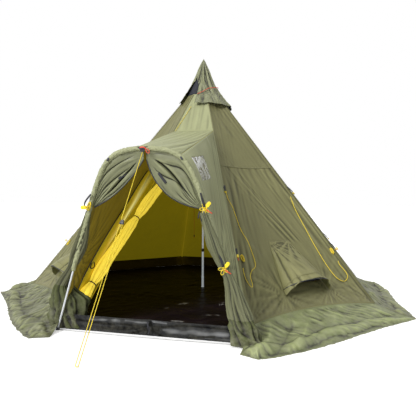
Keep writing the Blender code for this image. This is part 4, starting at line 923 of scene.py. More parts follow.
# Each finish: how it is made, its material's name, its colour or the setting that holds it, and its values.
# A cloth's are its roughness, the size and depth of its small creases, how they are stretched and how far
# its colour drifts. A hard finish has its roughness, and its grain's stretch, contrast and depth.
DOOR_CREASES = (0.42, 0.08, 0.006, (1, 1, 0.5), 0.09)
FINISHES = {
    # The wall and porch finishes are shaded and lit copies of one cloth: painted shade on the walls, painted
    # daylight on the porch, its sleeve and the upper front wall
    "wall": (cloth_finish, "Olive wall cloth", "olive", (0.44, 0.11, 0.006, (1, 1, 0.25), 0.07), {
        "dust": 0.22, "fold_shade": 0.5, "crest_gain": 0.6, "Specular_IOR_Level": 0.2}),
    "porch": (cloth_finish, "Olive porch cloth", "porch", (0.46, 0.09, 0.006, (1, 1, 0.35), 0.07), {
        "dust": 0.2, "fold_shade": 0.55, "Specular_IOR_Level": 0.2}),
    "door": (cloth_finish, "Olive door cloth", "door", (0.42, 0.08, 0.006, (1, 1, 0.6), 0.09), {
        "dust": 0.2, "fold_shade": 0.93, "Specular_IOR_Level": 0.4}),
    # Darker copies of the door cloth for the doors' gathered lower halves, and a much darker cloth for the
    # heap at their feet: painted shade
    "shaded_low_door": (cloth_finish, "Shaded door cloth", (0.108, 0.112, 0.056, 1), DOOR_CREASES, {
        "dust": 0.2, "fold_shade": 0.95, "Specular_IOR_Level": 0.4}),
    "shaded_left_door": (cloth_finish, "Dark door cloth", (0.072, 0.074, 0.038, 1), DOOR_CREASES, {
        "dust": 0.2, "fold_shade": 0.95, "crest_gain": 0.8, "Specular_IOR_Level": 0.25}),
    "shaded_door_skirt": (cloth_finish, "Crumpled door skirt", (0.050, 0.056, 0.022, 1),
                   (0.42, 0.07, 0.006, EVEN, 0.12), {
        "dust": 0.3, "fold_shade": 0.95, "crest_gain": 0.9, "Specular_IOR_Level": 0.12}),
    "cap": (cloth_finish, "Gathered cap cloth", "door", (0.42, 0.07, 0.006, (1, 1, 0.5), 0.09), {
        "fold_shade": 0.9, "Specular_IOR_Level": 0.4}),
    # Painted light: a yellow, glowing copy of the porch cloth for the porch walls' inside face, where yellow
    # light falls
    "yellow_lit_inside": (cloth_finish, "Porch cloth in yellow light", (0.205, 0.150, 0.014, 1),
               (0.6, 0.10, 0.004, (1, 1, 0.4), 0.12), {
        "Emission_Color": (0.205, 0.150, 0.010, 1), "Emission_Strength": 0.30}),
    "skirt": (cloth_finish, "Crumpled skirt cloth", "skirt", (0.42, 0.14, 0.006, EVEN, 0.12), {
        "dust": 0.3, "fold_shade": 0.85, "crest_gain": 0.7, "Specular_IOR_Level": 0.25}),
    # A darker copy of the skirt cloth: painted shade on the skirts that lie in shade
    "shaded_skirt": (cloth_finish, "Shaded skirt cloth", (0.152, 0.164, 0.078, 1),
                     (0.42, 0.10, 0.006, EVEN, 0.16), {
        "dust": 0.3, "fold_shade": 0.9, "crest_gain": 0.8, "Specular_IOR_Level": 0.2}),
    "sleeve": (cloth_finish, "Gathered sleeve cloth", "porch", (0.55, 0.022, 0.004, EVEN, 0.10), {
        "fold_shade": 0.85}),
    # The inner cloth glows a little: painted daylight through it
    "inner": (cloth_finish, "Yellow inner cloth", "inner", (0.65, 0.16, 0.003, (1, 1, 0.4), 0.08), {
        "Emission_Color": (0.50, 0.40, 0.012, 1), "Emission_Strength": 0.16}),
    "daylit": (daylit_finish, "Inner cloth in daylight", "inner", (0.6, 0.12, 0.003, (1, 1, 0.4), 0.08), {
        "dark": (0.075, 0.060, 0.002, 1), "bright": (0.56, 0.53, 0.20, 1)}),
    # The rolled door glows with painted light of its own colour, shaded in its folds
    "roll": (cloth_finish, "Rolled yellow cloth", "roll", (0.5, 0.05, 0.003, (1, 1, 0.25), 0.08), {
        "fold_shade": 0.75, "crest_gain": 0.5, "glowing": True, "Emission_Strength": 0.62}),
    # The inner seams glow a little: painted light over their lighter yellow
    "bright_seam": (cloth_finish, "Bright inner seam", "roll", (0.6, 0.03, 0.001, EVEN, 0.08), {
        "Emission_Color": (0.55, 0.45, 0.02, 1), "Emission_Strength": 0.20}),
    # The floor's gleam colour and strong crest gain paint highlights on its creases
    "floor": (cloth_finish, "Dark groundsheet cloth", "floor", (0.24, 0.22, 0.014, EVEN, 0.30), {
        "crest_gain": 3.0, "gleam": (0.34, 0.35, 0.36, 1), "Specular_IOR_Level": 0.01}),
    # A lighter copy of the groundsheet cloth for its low wall: painted light
    "tub": (cloth_finish, "Groundsheet wall cloth", (0.085, 0.070, 0.022, 1),
            (0.35, 0.12, 0.008, EVEN, 0.25), {
        "crest_gain": 2.0, "Specular_IOR_Level": 0.2}),
    # The sill's gleam colour is a painted highlight on its creases
    "sill": (cloth_finish, "Grey sill cloth", "sill", (0.30, 0.10, 0.008, EVEN, 0.15), {
        "dust": 0.12, "fold_shade": 0.93, "crest_gain": 1.0, "gleam": (0.21, 0.215, 0.22, 1),
        "Specular_IOR_Level": 0.06}),
    "webbing": (cloth_finish, "Black webbing", "black", (0.7, 0.03, 0.0005, EVEN, 0.2), {
        "thread": 0.0016, "thread_depth": 0.0004}),
    "white_tape": (cloth_finish, "White woven tape", (0.80, 0.80, 0.80, 1),
                   (0.75, 0.04, 0.0006, EVEN, 0.06), {
        "thread": 0.0014, "thread_depth": 0.0003}),
    "red_tape": (cloth_finish, "Red woven tape", "red", (0.6, 0.03, 0.0006, EVEN, 0.1), {
        "thread": 0.0014, "thread_depth": 0.0003}),
    "net": (cloth_finish, "Fine black net", (0.012, 0.013, 0.019, 1), (0.8, 0.06, 0.002, EVEN, 0.15), {
        "thread": 0.0022, "thread_depth": 0.0006}),
    "seam": (cloth_finish, "Folded seam cloth", "olive", (0.5, 0.03, 0.001, EVEN, 0.08), {
        "Specular_IOR_Level": 0.35}),
    "piping": (cloth_finish, "Dark blue piping", (0.016, 0.020, 0.034, 1),
               (0.5, 0.03, 0.0006, EVEN, 0.15), {}),
    # The film's pale colour is a painted reflection, laid in patches
    "film": (film_finish, "Clear window film", (0.80, 0.83, 0.80, 1),
             (0.12, (0.16, 0.16, 0.14, 1), (0.95, 0.97, 0.95, 1)), {
        "Alpha": 0.42, "Coat_Weight": 0.6, "Coat_Roughness": 0.08}),
    "plastic": (hard_finish, "Black moulded plastic", "black", (0.42,), {}),
    "yellow_plastic": (hard_finish, "Yellow moulded plastic", (0.88, 0.68, 0.02, 1), (0.35,), {}),
    "thread": (hard_finish, "Olive sewing thread", (0.16, 0.165, 0.085, 1), (0.7,), {}),
    "teeth": (hard_finish, "Dark zip teeth", (0.012, 0.014, 0.026, 1), (0.35,), {}),
    "metal": (hard_finish, "Satin drawn tube", (0.66, 0.68, 0.70, 1), (0.30, METAL_GRAIN, 0.06, 0.00002), {
        "Metallic": 0.45}),
    # The pole inside the tent glows: painted light, as it stands in the tent's shade
    "glowing_metal": (hard_finish, "Satin tube in the tent", (0.62, 0.66, 0.70, 1),
                     (0.34, METAL_GRAIN, 0.06, 0.00002), {
        "Metallic": 0.25, "Emission_Color": (0.50, 0.56, 0.62, 1), "Emission_Strength": 0.42}),
    "cord": (cord_finish, "Yellow braided cord", "cord", (2 * math.pi * GUY_R,), {}),
    "stage": (stage_finish, "Studio floor", (0.80, 0.80, 0.80, 1), (0.9, 0.45), {}),
    "red_cord": (cord_finish, "Red braided cord", "red", (2 * math.pi * 0.0018, 0.004), {}),
}


def finish_of(key):
    """The material of a finish, made the first time that it is asked for."""
    maker, name, colour, values, named = FINISHES[key]
    if isinstance(colour, str):
        colour = getattr(bpy.context.scene.tent_colours, colour)
    return bpy.data.materials.get(name) or maker(name, colour, *values, **named)


def refinish(key, *nodes):
    """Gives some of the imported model's own pieces another finish."""
    for node in nodes:
        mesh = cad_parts[node].data
        mesh.materials.clear()
        mesh.materials.append(finish_of(key))


# Where the cloths lie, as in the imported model

def ridge_way(ridge):
    """Level direction of a ridge: ridge 0 is just right of the porch, ridge 7 just left of it."""
    angle = 2 * math.pi * (ridge + 0.5) / SIDES
    return np.array((math.sin(angle), -math.cos(angle), 0.0))


def ridge_out(ridge):
    """The way straight off the cloth at a ridge."""
    return unit(ridge_way(ridge) + np.array((0, 0, RIDGE_LEAN)))


def outer_radius(z):
    return HEM_CORNER_R * (PEAK_Z - np.asarray(z, float)) / (PEAK_Z - HEM_Z)


def outer_ridge(ridge, z):
    z = np.asarray(z, float)
    point = ridge_way(ridge) * outer_radius(z)[..., None]
    point[..., 2] = z
    return point


def floor_corner(corner):
    """Corner 0 is the sill's right end, 1 to 8 go round the back, and 9 is the sill's left end."""
    if corner == 0:
        return np.array((SILL_HALF_W, SILL_Y, 0.0))
    if corner == SIDES + 1:
        return np.array((-SILL_HALF_W, SILL_Y, 0.0))
    return ridge_way(corner - 1) * TUB_CORNER_R


def inner_ridge(corner, z):
    """An inner ridge, from a corner of the tub's rim up to the small ring round the pole."""
    z = np.asarray(z, float)
    if corner == 0:
        top = np.array((math.sin(INNER_FRONT_TURN), -math.cos(INNER_FRONT_TURN), 0))
    elif corner == SIDES + 1:
        top = np.array((-math.sin(INNER_FRONT_TURN), -math.cos(INNER_FRONT_TURN), 0))
    else:
        top = ridge_way(corner - 1)
    share = (z - TUB_H) / (INNER_TOP_Z - TUB_H)
    point = blend(np.broadcast_to(floor_corner(corner), share.shape + (3,)), top * INNER_TOP_R, share)
    point[..., 2] = z
    return point


def face_normal(line, side, low_z, high_z):
    left = line(side, low_z)
    return unit(np.cross(line(side + 1, low_z) - left, line(side, high_z) - left))


def wall_point(line, side, across, z, low_z, high_z, sag):
    """Points on one face of a ridged wall, hollowed a little between its ridges."""
    across = np.asarray(across, float)
    share = np.clip((np.asarray(z, float) - low_z) / (high_z - low_z), 0.0, 1.0)
    width = float(np.linalg.norm(line(side + 1, low_z) - line(side, low_z)))
    hollow = sag * width * 4 * across * (1 - across) * np.sin(math.pi * share) ** 0.8
    point = blend(line(side, z), line(side + 1, z), across)
    return point - face_normal(line, side, low_z, high_z) * hollow[..., None]


def hem_height(across):
    return HEM_Z + HEM_RISE * 4 * across * (1 - across)


def wall_way(side):
    return face_normal(outer_ridge, side, HEM_Z, WALL_TOP_Z)


def seamed(grid):
    """A face's grid, drawn in a little at both ridges to leave room for its seams."""
    grid[:, 0] += unit(grid[:, 1] - grid[:, 0]) * RIDGE_GAP
    grid[:, -1] += unit(grid[:, -2] - grid[:, -1]) * RIDGE_GAP
    return grid


def outer_face(side, columns, rows, low_z=None, sag=WALL_SAG):
    """The plain grid of one outer face, with each point's place across it and its height."""
    across, up = shares(rows, columns)
    foot = hem_height(across) if low_z is None else np.full_like(across, low_z)
    z = foot + (WALL_TOP_Z - foot) * up
    return seamed(wall_point(outer_ridge, side, across, z, HEM_Z, WALL_TOP_Z, sag)), across, z


def outer_width(side, z):
    """How wide an outer face is at a height."""
    return np.linalg.norm(outer_ridge(side + 1, z) - outer_ridge(side, z), axis=-1)


def vent_spot(side, across_m, z, lift=0.0):
    """Points on a vented wall: metres right of its middle, height, and metres off the cloth."""
    across_m = np.asarray(across_m, float)
    z = np.asarray(z, float)
    width = outer_width(side, z)
    point = wall_point(outer_ridge, side, 0.5 + across_m / width, z, HEM_Z, WALL_TOP_Z, WALL_SAG)
    return point + wall_way(side) * np.asarray(lift, float)[..., None]


def vent_outline(side, inset):
    corners = ((-VENT_FOOT_HALF_W, VENT_FOOT_Z, 1, 1), (VENT_FOOT_HALF_W, VENT_FOOT_Z, -1, 1),
               (VENT_TOP_HALF_W, VENT_TOP_Z, -1, -1), (-VENT_TOP_HALF_W, VENT_TOP_Z, 1, -1))
    return [vent_spot(side, x + inset * right, z + inset * up) for x, z, right, up in corners]


def arch_y(z):
    return ARCH_FOOT_Y - ARCH_LEAN * z


def arch_half(steps=60):
    """The arch's right half from its foot to its crown: a straight leg, then a curve that ends level."""
    foot = np.array((ARCH_FOOT_HALF_W, 0.0))
    bend = np.array((ARCH_FOOT_HALF_W - ARCH_LEG_SLOPE * ARCH_BEND_Z, ARCH_BEND_Z))
    leaving = bend + unit(bend - foot) * ARCH_BEND_PULL
    arriving = np.array((ARCH_CROWN_PULL, ARCH_CROWN_Z))
    crown = np.array((0.0, ARCH_CROWN_Z))
    leg = foot + (bend - foot) * np.linspace(0, 1, 20, endpoint=False)[:, None]
    t = np.linspace(0, 1, steps)[:, None]
    left = 1 - t
    curve = bend * left ** 3 + 3 * leaving * t * left ** 2 + 3 * arriving * t ** 2 * left + crown * t ** 3
    flat = np.vstack([leg, curve])
    return np.stack([flat[:, 0], arch_y(flat[:, 1]), flat[:, 1]], -1)


ARCH_HALF = arch_half()


def arch_at(hand, z):
    """Points on one leg of the arch: hand is 1 for the right leg and -1 for the left."""
    z = np.asarray(z, float)
    x = np.interp(z, ARCH_HALF[:, 2], ARCH_HALF[:, 0])
    return np.stack([hand * x, arch_y(z), z], -1)


def arch_above(from_z):
    """The arch from its right side over the crown to its left, above a height."""
    right = np.vstack([arch_at(1, from_z)[None], ARCH_HALF[ARCH_HALF[:, 2] > from_z + 0.004]])
    left = right[:-1][::-1] * np.array((-1, 1, 1))
    return np.vstack([right, left])


def edge_share(across, z, low_z, high_z, width, fade=0.05):
    """Fades from 0 at a panel's edges to 1 a little inside it."""
    side = np.minimum(across, 1 - across) * width
    top = high_z - z
    foot = z - low_z
    return ramp(side, 0.0, fade) * ramp(top, 0.0, fade) * ramp(foot, -0.02, fade)


# Outer walls

def rays(s, t, from_s, from_t, count, reach, phase):
    """Folds that fan out from a point where the cloth is pulled, from -1 to 1, dying out with distance."""
    away_s = s - from_s
    away_t = t - from_t
    distance = np.hypot(away_s, away_t)
    angle = np.arctan2(away_t, away_s)
    wave = flat_noise(count * angle / 2.6, distance / 0.9, 1.0, int(7 * phase) + count)
    return wave * np.exp(-(distance / reach) ** 1.3) * ramp(distance, 0.0, 0.10)


def streaks(distance, along, seed, width, length):
    """Long folds that run beside a ridge."""
    return flat_noise(distance / width, along / length, 1.0, seed)


def wall_folds(side, grid, across, z, width_z, depth):
    """One outer wall's folds: beside the ridges, under the seam, from its corners and overall."""
    s = (across - 0.5) * width_z
    t = (z - HEM_Z) / math.cos(math.atan(0.74))
    strength = 0.3 + 0.7 * ramp(WALL_SEAM_Z - z, -0.05, 0.25)
    folds = 0.0
    for index, beside in enumerate((across * width_z, (1 - across) * width_z)):
        ridge_folds = 2.0 * streaks(beside, t, 3 * side + index, 0.038, 0.7)
        folds = folds + ridge_folds * np.exp(-beside / 0.15) * strength
    below = np.clip(WALL_SEAM_Z - z, 0, None)
    gathers = flat_noise(s / 0.055, t / 0.9, 1.0, 60 + side)
    folds += 0.9 * gathers * np.exp(-below / 0.22) * (z < WALL_SEAM_Z)
    hem_half = 0.5 * float(outer_width(side, HEM_Z))
    folds += 1.2 * rays(s, t, -hem_half, 0.0, 21, 0.42, side)
    folds += 1.2 * rays(s, t, hem_half, 0.0, 21, 0.42, side + 2.0)
    folds += 0.5 * rays(s, t, 0.0, (PEAK_Z - HEM_Z) * SLANT, 34, 0.9, 1.5 * side)
    folds += 0.8 * noise(grid, 0.55, 5 + side)
    return folds * depth


def vent_pulls(s, z, depth):
    """Folds that run up and out from a vent's upper corners."""
    t = (z - VENT_TOP_Z) * SLANT
    lean = s + 0.42 * t
    above = np.exp(-((lean - 0.16) / 0.10) ** 2) * ramp(t, -0.05, 0.05) * np.exp(-np.clip(t, 0, None) / 0.45)
    folds = 1.8 * streaks(lean, t, 41, 0.030, 0.5) * above
    low = (z - VENT_FOOT_Z) * SLANT
    folds = folds + 0.9 * rays(s, low, VENT_FOOT_HALF_W, -0.05, 19, 0.26, 1.1)
    folds = folds + 0.9 * rays(s, low, -VENT_FOOT_HALF_W, -0.05, 19, 0.26, 0.2)
    return 1.3 * folds * depth


# The faces that the photograph shows are made of finer cells
SEEN_SIDES = (0, 1, SIDES - 2)
SEEN_WALL_CELLS = (130, 150)
HIDDEN_WALL_CELLS = (90, 104)


def outer_panel(name, side, vented=False):
    """One face of the outer wall with its tension folds and the step of its level seam."""
    settings = bpy.context.scene.tent_cloth
    columns, rows = SEEN_WALL_CELLS if side in SEEN_SIDES else HIDDEN_WALL_CELLS
    base, across, z = outer_face(side, columns, rows)
    width_z = outer_width(side, z)
    height = wall_folds(side, base, across, z, width_z, settings.wall_fold)
    if vented:
        height = height + vent_pulls((across - 0.5) * width_z, z, settings.wall_fold)
    height = height * edge_share(across, z, hem_height(across), WALL_TOP_Z, width_z)
    height = height + 0.0014 * np.exp(-((z - WALL_SEAM_Z) / 0.006) ** 2)
    piece = cloth(name, raised(base, height), "wall", gain=2.2)
    if vented:
        open_outline(piece, vent_outline(side, VENT_MARGIN), wall_way(side))
    return piece, base


def seam_strip(name, points, normals, width, finish):
    """A folded seam: a strip that lies on the cloth, a little crowned."""
    return ribbon(name, points, normals, width, finish, SEAM_T, SEAM_T, 4, 0.0008)


class TENT_OT_outer_walls(bpy.types.Operator):
    """Builds the outer walls with their level seams"""

    bl_idname = "tent.outer_walls"
    bl_label = "Outer walls"

    def execute(self, context):
        base, across, z = outer_face(SIDES - 1, 40, 50, ROOF_SEAM_Z + 0.0003, 0.0)
        width_z = outer_width(SIDES - 1, z)
        folds = 0.4 * noise(base, 0.40, 3) + 0.4 * noise(base * np.array((1, 0.05, 0.05)), 0.035, 8)
        depth = context.scene.tent_cloth.wall_fold
        height = folds * depth * edge_share(across, z, ROOF_SEAM_Z, WALL_TOP_Z, width_z)
        # The upper front wall takes the lighter porch copy of the wall cloth: painted daylight
        piece = cloth("front_wall_upper", raised(base, height), "porch", gain=2.0)
        place(piece, "shell", "olive_cloth", "outer_panel_front")
        declare_cloth(piece, base)
        bands = []
        for name, side, node, vented in (
            ("front_right_wall", 0, "outer_panel_front_right", True),
            ("right_wall", 1, "outer_panel_right", False),
            ("back_wall_right", 2, "outer_panel_back", False),
            ("back_wall_middle", 3, "outer_panel_back", False),
            ("back_wall_left", 4, "outer_panel_back", False),
            ("left_wall", 5, "outer_panel_left", False),
            ("front_left_wall", 6, "outer_panel_front_left", True),
        ):
            piece, base = outer_panel(name, side, vented)
            place(piece, "shell", "olive_cloth", node)
            declare_cloth(piece, base)
            bands.append(level_seam(piece, side))
        place(join(bands, "level_seams"), "shell", "olive_cloth")
        return {"FINISHED"}


def level_seam(piece, side):
    """The level seam of one face: a folded strip that lies on its cloth."""
    across = np.linspace(0.03, 0.97, 90)
    z = np.full(90, WALL_SEAM_Z)
    way = wall_way(side)
    raw = wall_point(outer_ridge, side, across, z, HEM_Z, WALL_TOP_Z, WALL_SAG) + way * 0.03
    line = laid_on(surface_of(piece), raw, -way, 0.0012)
    return seam_strip("seam", line, way, 0.011, "seam")


# Vents

def hood_grid(side, rows=44, columns=56):
    """A scoop of cloth, narrow and flat at its top and held out over the opening at its foot."""
    across, up = shares(rows, columns)
    share = 1 - up
    turn = math.pi * across
    half = VENT_TOP_HALF_W + (VENT_FOOT_HALF_W - VENT_TOP_HALF_W) * share
    z = VENT_TOP_Z + (VENT_FOOT_Z - VENT_TOP_Z) * share
    across = -np.cos(turn)
    lift = VENT_LIFT * share ** 1.1 * np.sin(turn)
    z = z - 0.05 * share ** 3 * np.abs(across) ** 4
    leaning = 0.036 * (1 - share) * (1 if side == 0 else -1)
    grid = vent_spot(side, half * across - leaning, z, lift + 0.0035)
    pulls = rays(half * across, z, -VENT_TOP_HALF_W, VENT_TOP_Z, 19, 0.30, 0.4)
    pulls = pulls + rays(half * across, z, VENT_TOP_HALF_W, VENT_TOP_Z, 19, 0.30, 1.9)
    beside = np.minimum(turn, math.pi - turn)
    inside = ramp(beside, 0.0, 0.4) * ramp(share, 0.0, 0.1)
    height = 0.012 * pulls * inside + 0.008 * noise(grid, 0.11, 4 + side) * inside
    height = height - 0.017 * np.exp(-((beside - 0.62) / 0.10) ** 2) * ramp(share, 0.0, 0.4)
    height = height - 0.012 * np.exp(-((beside - 0.98) / 0.07) ** 2) * ramp(share, 0.3, 0.9)
    return grid, raised(grid, height)


def hood_seam(hand, side, grid):
    """The seam that runs round the hood a little above its mouth."""
    row = int(0.13 * (len(grid) - 1))
    out = grid_normals(grid)[row]
    if (out * wall_way(side)).sum() < 0:
        out = -out
    return seam_strip("vent_seam_" + hand, grid[row] + out * 0.0018, out, 0.013, "wall")


# Where the hood's cloth would start and end its change from wall to hoop: metres off the wall, and up it
HOOP_REACH = ((-0.036, 0.015), (0.144, -0.061))


def hang_on_hoop(piece, side, hand, *nodes):
    """Bakes a piece's place into its points and hides the named nodes. Where its change from wall to hoop
    starts and ends is worked out, but the cloth is not moved to follow the hoop.
    """
    foot = vent_spot(side, 0.0, VENT_FOOT_Z)
    rise = unit(vent_spot(side, 0.0, VENT_TOP_Z) - foot)
    start, end = (foot + off * wall_way(side) + up * rise for off, up in HOOP_REACH)
    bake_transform(piece)
    if nodes:
        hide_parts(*nodes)


class TENT_OT_vents(bpy.types.Operator):
    """Builds the nets and hoods of the two vents, and finishes their hoops"""

    bl_idname = "tent.vents"
    bl_label = "Vents"

    def execute(self, context):
        for hand, side in (("right", 0), ("left", SIDES - 2)):
            net = cloth("vent_mesh_" + hand, outer_face(side, 84, 140)[0], "net", NET_T)
            open_outline(net, vent_outline(side, VENT_MARGIN + SEAM_GAP), wall_way(side), keep_inside=True)
            place(net, "shell", "black_net", "vent_net_" + hand)
            flat, grid = hood_grid(side)
            hood = cloth("vent_scoop_" + hand, grid, "wall", THICK_CLOTH_T, outward=True, gain=3.0)
            hang_on_hoop(hood_seam(hand, side, grid), side, hand)
            hang_on_hoop(hood, side, hand, "vent_hood_" + hand)
            declare_cloth(hood, flat)
            refinish("plastic", "vent_lip_" + hand)
        return {"FINISHED"}


# Snow skirt

def hem_point(side, across):
    point = wall_point(outer_ridge, side, across, hem_height(across), HEM_Z, WALL_TOP_Z, WALL_SAG)
    return point + wall_way(side) * SEAM_GAP - np.array((0, 0, SEAM_GAP))


def skirt_run(sides, widths, columns=170):
    """Hem and outer edge of the skirt along some faces."""
    hems = []
    outers = []
    for index, side in enumerate(sides):
        across = np.linspace(0, 1, columns + 1)[1 if index else 0:]
        start = np.broadcast_to(outer_ridge(side, 0.0), (len(across), 3))
        edge = blend(start, outer_ridge(side + 1, 0.0), across)
        hem_r = np.linalg.norm(edge, axis=1) * outer_radius(HEM_Z) / outer_radius(0.0)
        width = widths[0] + (widths[1] - widths[0]) * across
        wobble = 0.018 * np.sin(7.3 * across + 2 * side)
        hems.append(hem_point(side, across))
        outers.append(unit(edge) * (hem_r + width + wobble)[:, None])
    return np.vstack(hems), np.vstack(outers)


def skirt_grid(hems, outers, seed, rows=64):
    """Cloth that falls from the hem and lies out on the ground, crumpled by its own slack."""
    depth = bpy.context.scene.tent_cloth.skirt_fold
    travelled = travel(outers)
    share = 1 - shares(rows, len(hems) - 1)[1]
    ragged = 0.010 * flat_noise(travelled, 0.0, 0.07, seed)
    ragged = ragged + 0.006 * flat_noise(travelled, 0.0, 0.022, seed + 5)
    ragged = ragged * ramp(np.minimum(travelled, travelled[-1] - travelled), 0.0, 0.06)
    outers = outers + unit(outers * np.array((1, 1, 0))) * ragged[:, None]
    level = blend(np.broadcast_to(hems, share.shape + (3,)), outers, share)
    fall = 0.003 + (hems[None, :, 2] - 0.003) * (1 - share) ** 1.7
    base = level.copy()
    base[..., 2] = fall
    along = np.broadcast_to(travelled, share.shape)
    spread = np.stack([along, share * 0.42, np.zeros_like(share)], -1)
    wide = noise(spread * np.array((1, 0.55, 1)), 0.20, seed + 1)
    lengthwise = spread * np.array((0.6, 1, 1))
    cross = facets(lengthwise, 0.26, seed + 2)
    small = facets(spread, 0.10, seed + 7)
    rolls = np.clip(np.sin(math.pi * (share * 3.2 + 0.9 * noise(lengthwise, 0.33, seed + 3))), 0, 1) ** 0.7
    ends = ramp(np.minimum(along, travelled[-1] - along), 0.0, 0.10)
    middle = ramp(share, 0.0, 0.10) * ramp(1 - share, 0.0, 0.09) * ends
    relief = 0.62 * cross + 0.65 * rolls * ramp(share, 0.3, 0.7) + 0.26 * small + 0.35
    fold = depth * (0.8 + 0.5 * wide) * relief
    fold = fold - 0.15 * depth
    grid = base.copy()
    grid[..., 2] = base[..., 2] + np.clip(fold, -0.3 * base[..., 2], None) * middle
    side = unit(np.gradient(level, axis=1))
    grid = grid + side * (0.010 * noise(spread, 0.09, seed + 11) * middle)[..., None]
    return base, grid


class TENT_OT_skirt(bpy.types.Operator):
    """Builds the snow skirt that lies round the tent"""

    bl_idname = "tent.skirt"
    bl_label = "Snow skirt"

    def execute(self, context):
        left_w = tuple(reversed(SKIRT_SIDE_W))
        for name, sides, widths in (
            ("right", [1], SKIRT_SIDE_W), ("back", [2, 3, 4], SKIRT_BACK_W), ("left", [5], left_w),
        ):
            hems, outers = skirt_run(sides, widths)
            self.build(name, hems, outers, 3 * sides[0])
        hems, outers = skirt_run([0], SKIRT_FRONT_W)
        foot = arch_at(1, HEM_Z)
        down = np.array((0, 0, -SEAM_GAP))
        clear = np.array((SEAM_GAP, 0, 0))
        corner = outer_ridge(0, HEM_Z) + clear + down
        leg = foot + np.array((ARCH_POLE_R + 0.004, 0.012, 0)) + down
        start = evenly([leg, (leg + corner) / 2 + clear, corner + clear], 64)
        by_foot = (foot[0] - 0.02, foot[1] - 0.20, 0)
        beyond = (foot[0] + 0.12, foot[1] - 0.265, 0)
        reach = evenly([by_foot, beyond, outers[0]], 64)
        hems = np.vstack([start, hems[1:]])
        outers = np.vstack([reach, outers[1:]])
        self.build("front_right", hems, outers, 2)
        mirror = np.array((-1, 1, 1))
        self.build("front_left", hems[::-1] * mirror, outers[::-1] * mirror, 31)
        return {"FINISHED"}

    def build(self, name, hems, outers, seed):
        base, grid = skirt_grid(hems, outers, seed, 44 if name == "back" else 64)
        # All but the front right and back skirts take the darker copy: painted shade
        finish = "skirt" if name in ("front_right", "back") else "shaded_skirt"
        piece = cloth("snow_skirt_" + name, grid, finish, THICK_CLOTH_T)
        place(piece, "shell", "skirt_cloth", "skirt_" + name)
        declare_cloth(piece, base, 1.0)


# Cap and top net

def cap_point(angle, share):
    """The cap's plain surface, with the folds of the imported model."""
    turn = (angle - CAP_LIFT_AT + math.pi) % (2 * math.pi) - math.pi
    hem = CAP_HEM_Z + CAP_HEM_LIFT * np.exp(-(turn / CAP_LIFT_SPREAD) ** 2) + 0.008 * np.sin(2 * angle + 0.6)
    z = CAP_TOP_Z - (CAP_TOP_Z - hem) * share
    radius = np.interp(CAP_TOP_Z - z, CAP_DEPTHS, CAP_RADII)
    radius = radius + 0.006 * ramp(share, 0.0, 0.08) * (0.25 + 0.75 * share) * np.cos(CAP_FOLDS * angle)
    return np.stack([radius * np.sin(angle), -radius * np.cos(angle), z], -1)


def cap_grid(rows=90, columns=240):
    """The cap as one sheet wrapped round the peak, open at its slit from a little below the tip down."""
    share = np.linspace(0.004, 1, rows + 1)[::-1][:, None] * np.ones((1, columns + 1))
    opened = ramp(share, 0.33, 0.62)
    start = CAP_SLIT_TOP + (CAP_SLIT_TO - CAP_SLIT_TOP) * opened
    end = CAP_SLIT_TOP + (CAP_SLIT_FROM - CAP_SLIT_TOP) * opened + 2 * math.pi
    angle = start + (end - start) * np.linspace(0, 1, columns + 1)[None, :]
    base = cap_point(angle, share)
    around = np.stack([np.cos(angle), np.sin(angle), share * 0.8], -1)
    gathers = noise(around * (1, 1, 0.35), 0.21, 3) + 0.35 * noise(around * (1, 1, 0.5), 0.08, 9)
    slack = crumple(base, 0.075, 21, 3) - 0.5
    drawn = np.exp(-((share - 0.80) / 0.05) ** 2)
    height = 0.017 * gathers * ramp(share, 0.02, 0.30) * (1 - 0.5 * drawn)
    height = height + (0.006 + 0.010 * drawn) * slack * ramp(share, 0.3, 0.8)
    across = np.linspace(0, 1, columns + 1)[None, :]
    lip = np.minimum(across, 1 - across)
    height = height + 0.010 * np.exp(-(lip / 0.012) ** 2) * opened
    return base, raised(base, height)


def add_draw_cord():
    """The red cord drawn round the cap, from the slit's edge to the back."""
    turn = np.radians(np.linspace(-4, 150, 60))
    z = np.interp(turn, np.radians((-4, 30, 97, 150)), (2.315, 2.395, 2.440, 2.430))
    radius = np.interp(CAP_TOP_Z - z, CAP_DEPTHS, CAP_RADII) + 0.018
    path = smooth_line(np.stack([radius * np.sin(turn), -radius * np.cos(turn), z], -1)[::6], 80)
    cord = tube("cap_draw_cord", path, DRAW_CORD_R, CORD_SIDES, "red_cord")
    place(cord, "shell", "red_cord")


def net_radius(z):
    foot_r = outer_radius(WALL_TOP_Z)
    top_r = (PLUG_R + SEAM_GAP + 0.0012) / math.cos(math.pi / SIDES)
    foot_z = WALL_TOP_Z + SEAM_GAP
    return foot_r + (top_r - foot_r) * (z - foot_z) / (NET_TOP_Z - foot_z)


class TENT_OT_cap(bpy.types.Operator):
    """Builds the gathered cap and the fly net under it"""

    bl_idname = "tent.cap"
    bl_label = "Cap and top net"

    def execute(self, context):
        base, grid = cap_grid()
        piece = cloth("cap_cloth", grid, "cap", THICK_CLOTH_T)
        place(piece, "shell", "skirt_cloth", "cap_hood")
        declare_cloth(piece, base)
        add_draw_cord()
        z = np.linspace(WALL_TOP_Z + SEAM_GAP, NET_TOP_Z, 30)
        rises = np.array((0, 0, 1)) * z[:, None]
        corners = [ridge_way(ridge)[None, :] * net_radius(z)[:, None] + rises for ridge in range(SIDES)]
        lines = []
        for ridge in range(SIDES):
            for part in np.linspace(0, 1, 6, endpoint=False):
                lines.append(corners[ridge] * (1 - part) + corners[(ridge + 1) % SIDES] * part)
        grid = np.stack(lines, 1)
        net = cloth("top_mesh", grid, "net", NET_T, closed=True)
        place(net, "shell", "black_net", "top_net")
        declare_cloth(net, grid)
        return {"FINISHED"}


# Porch

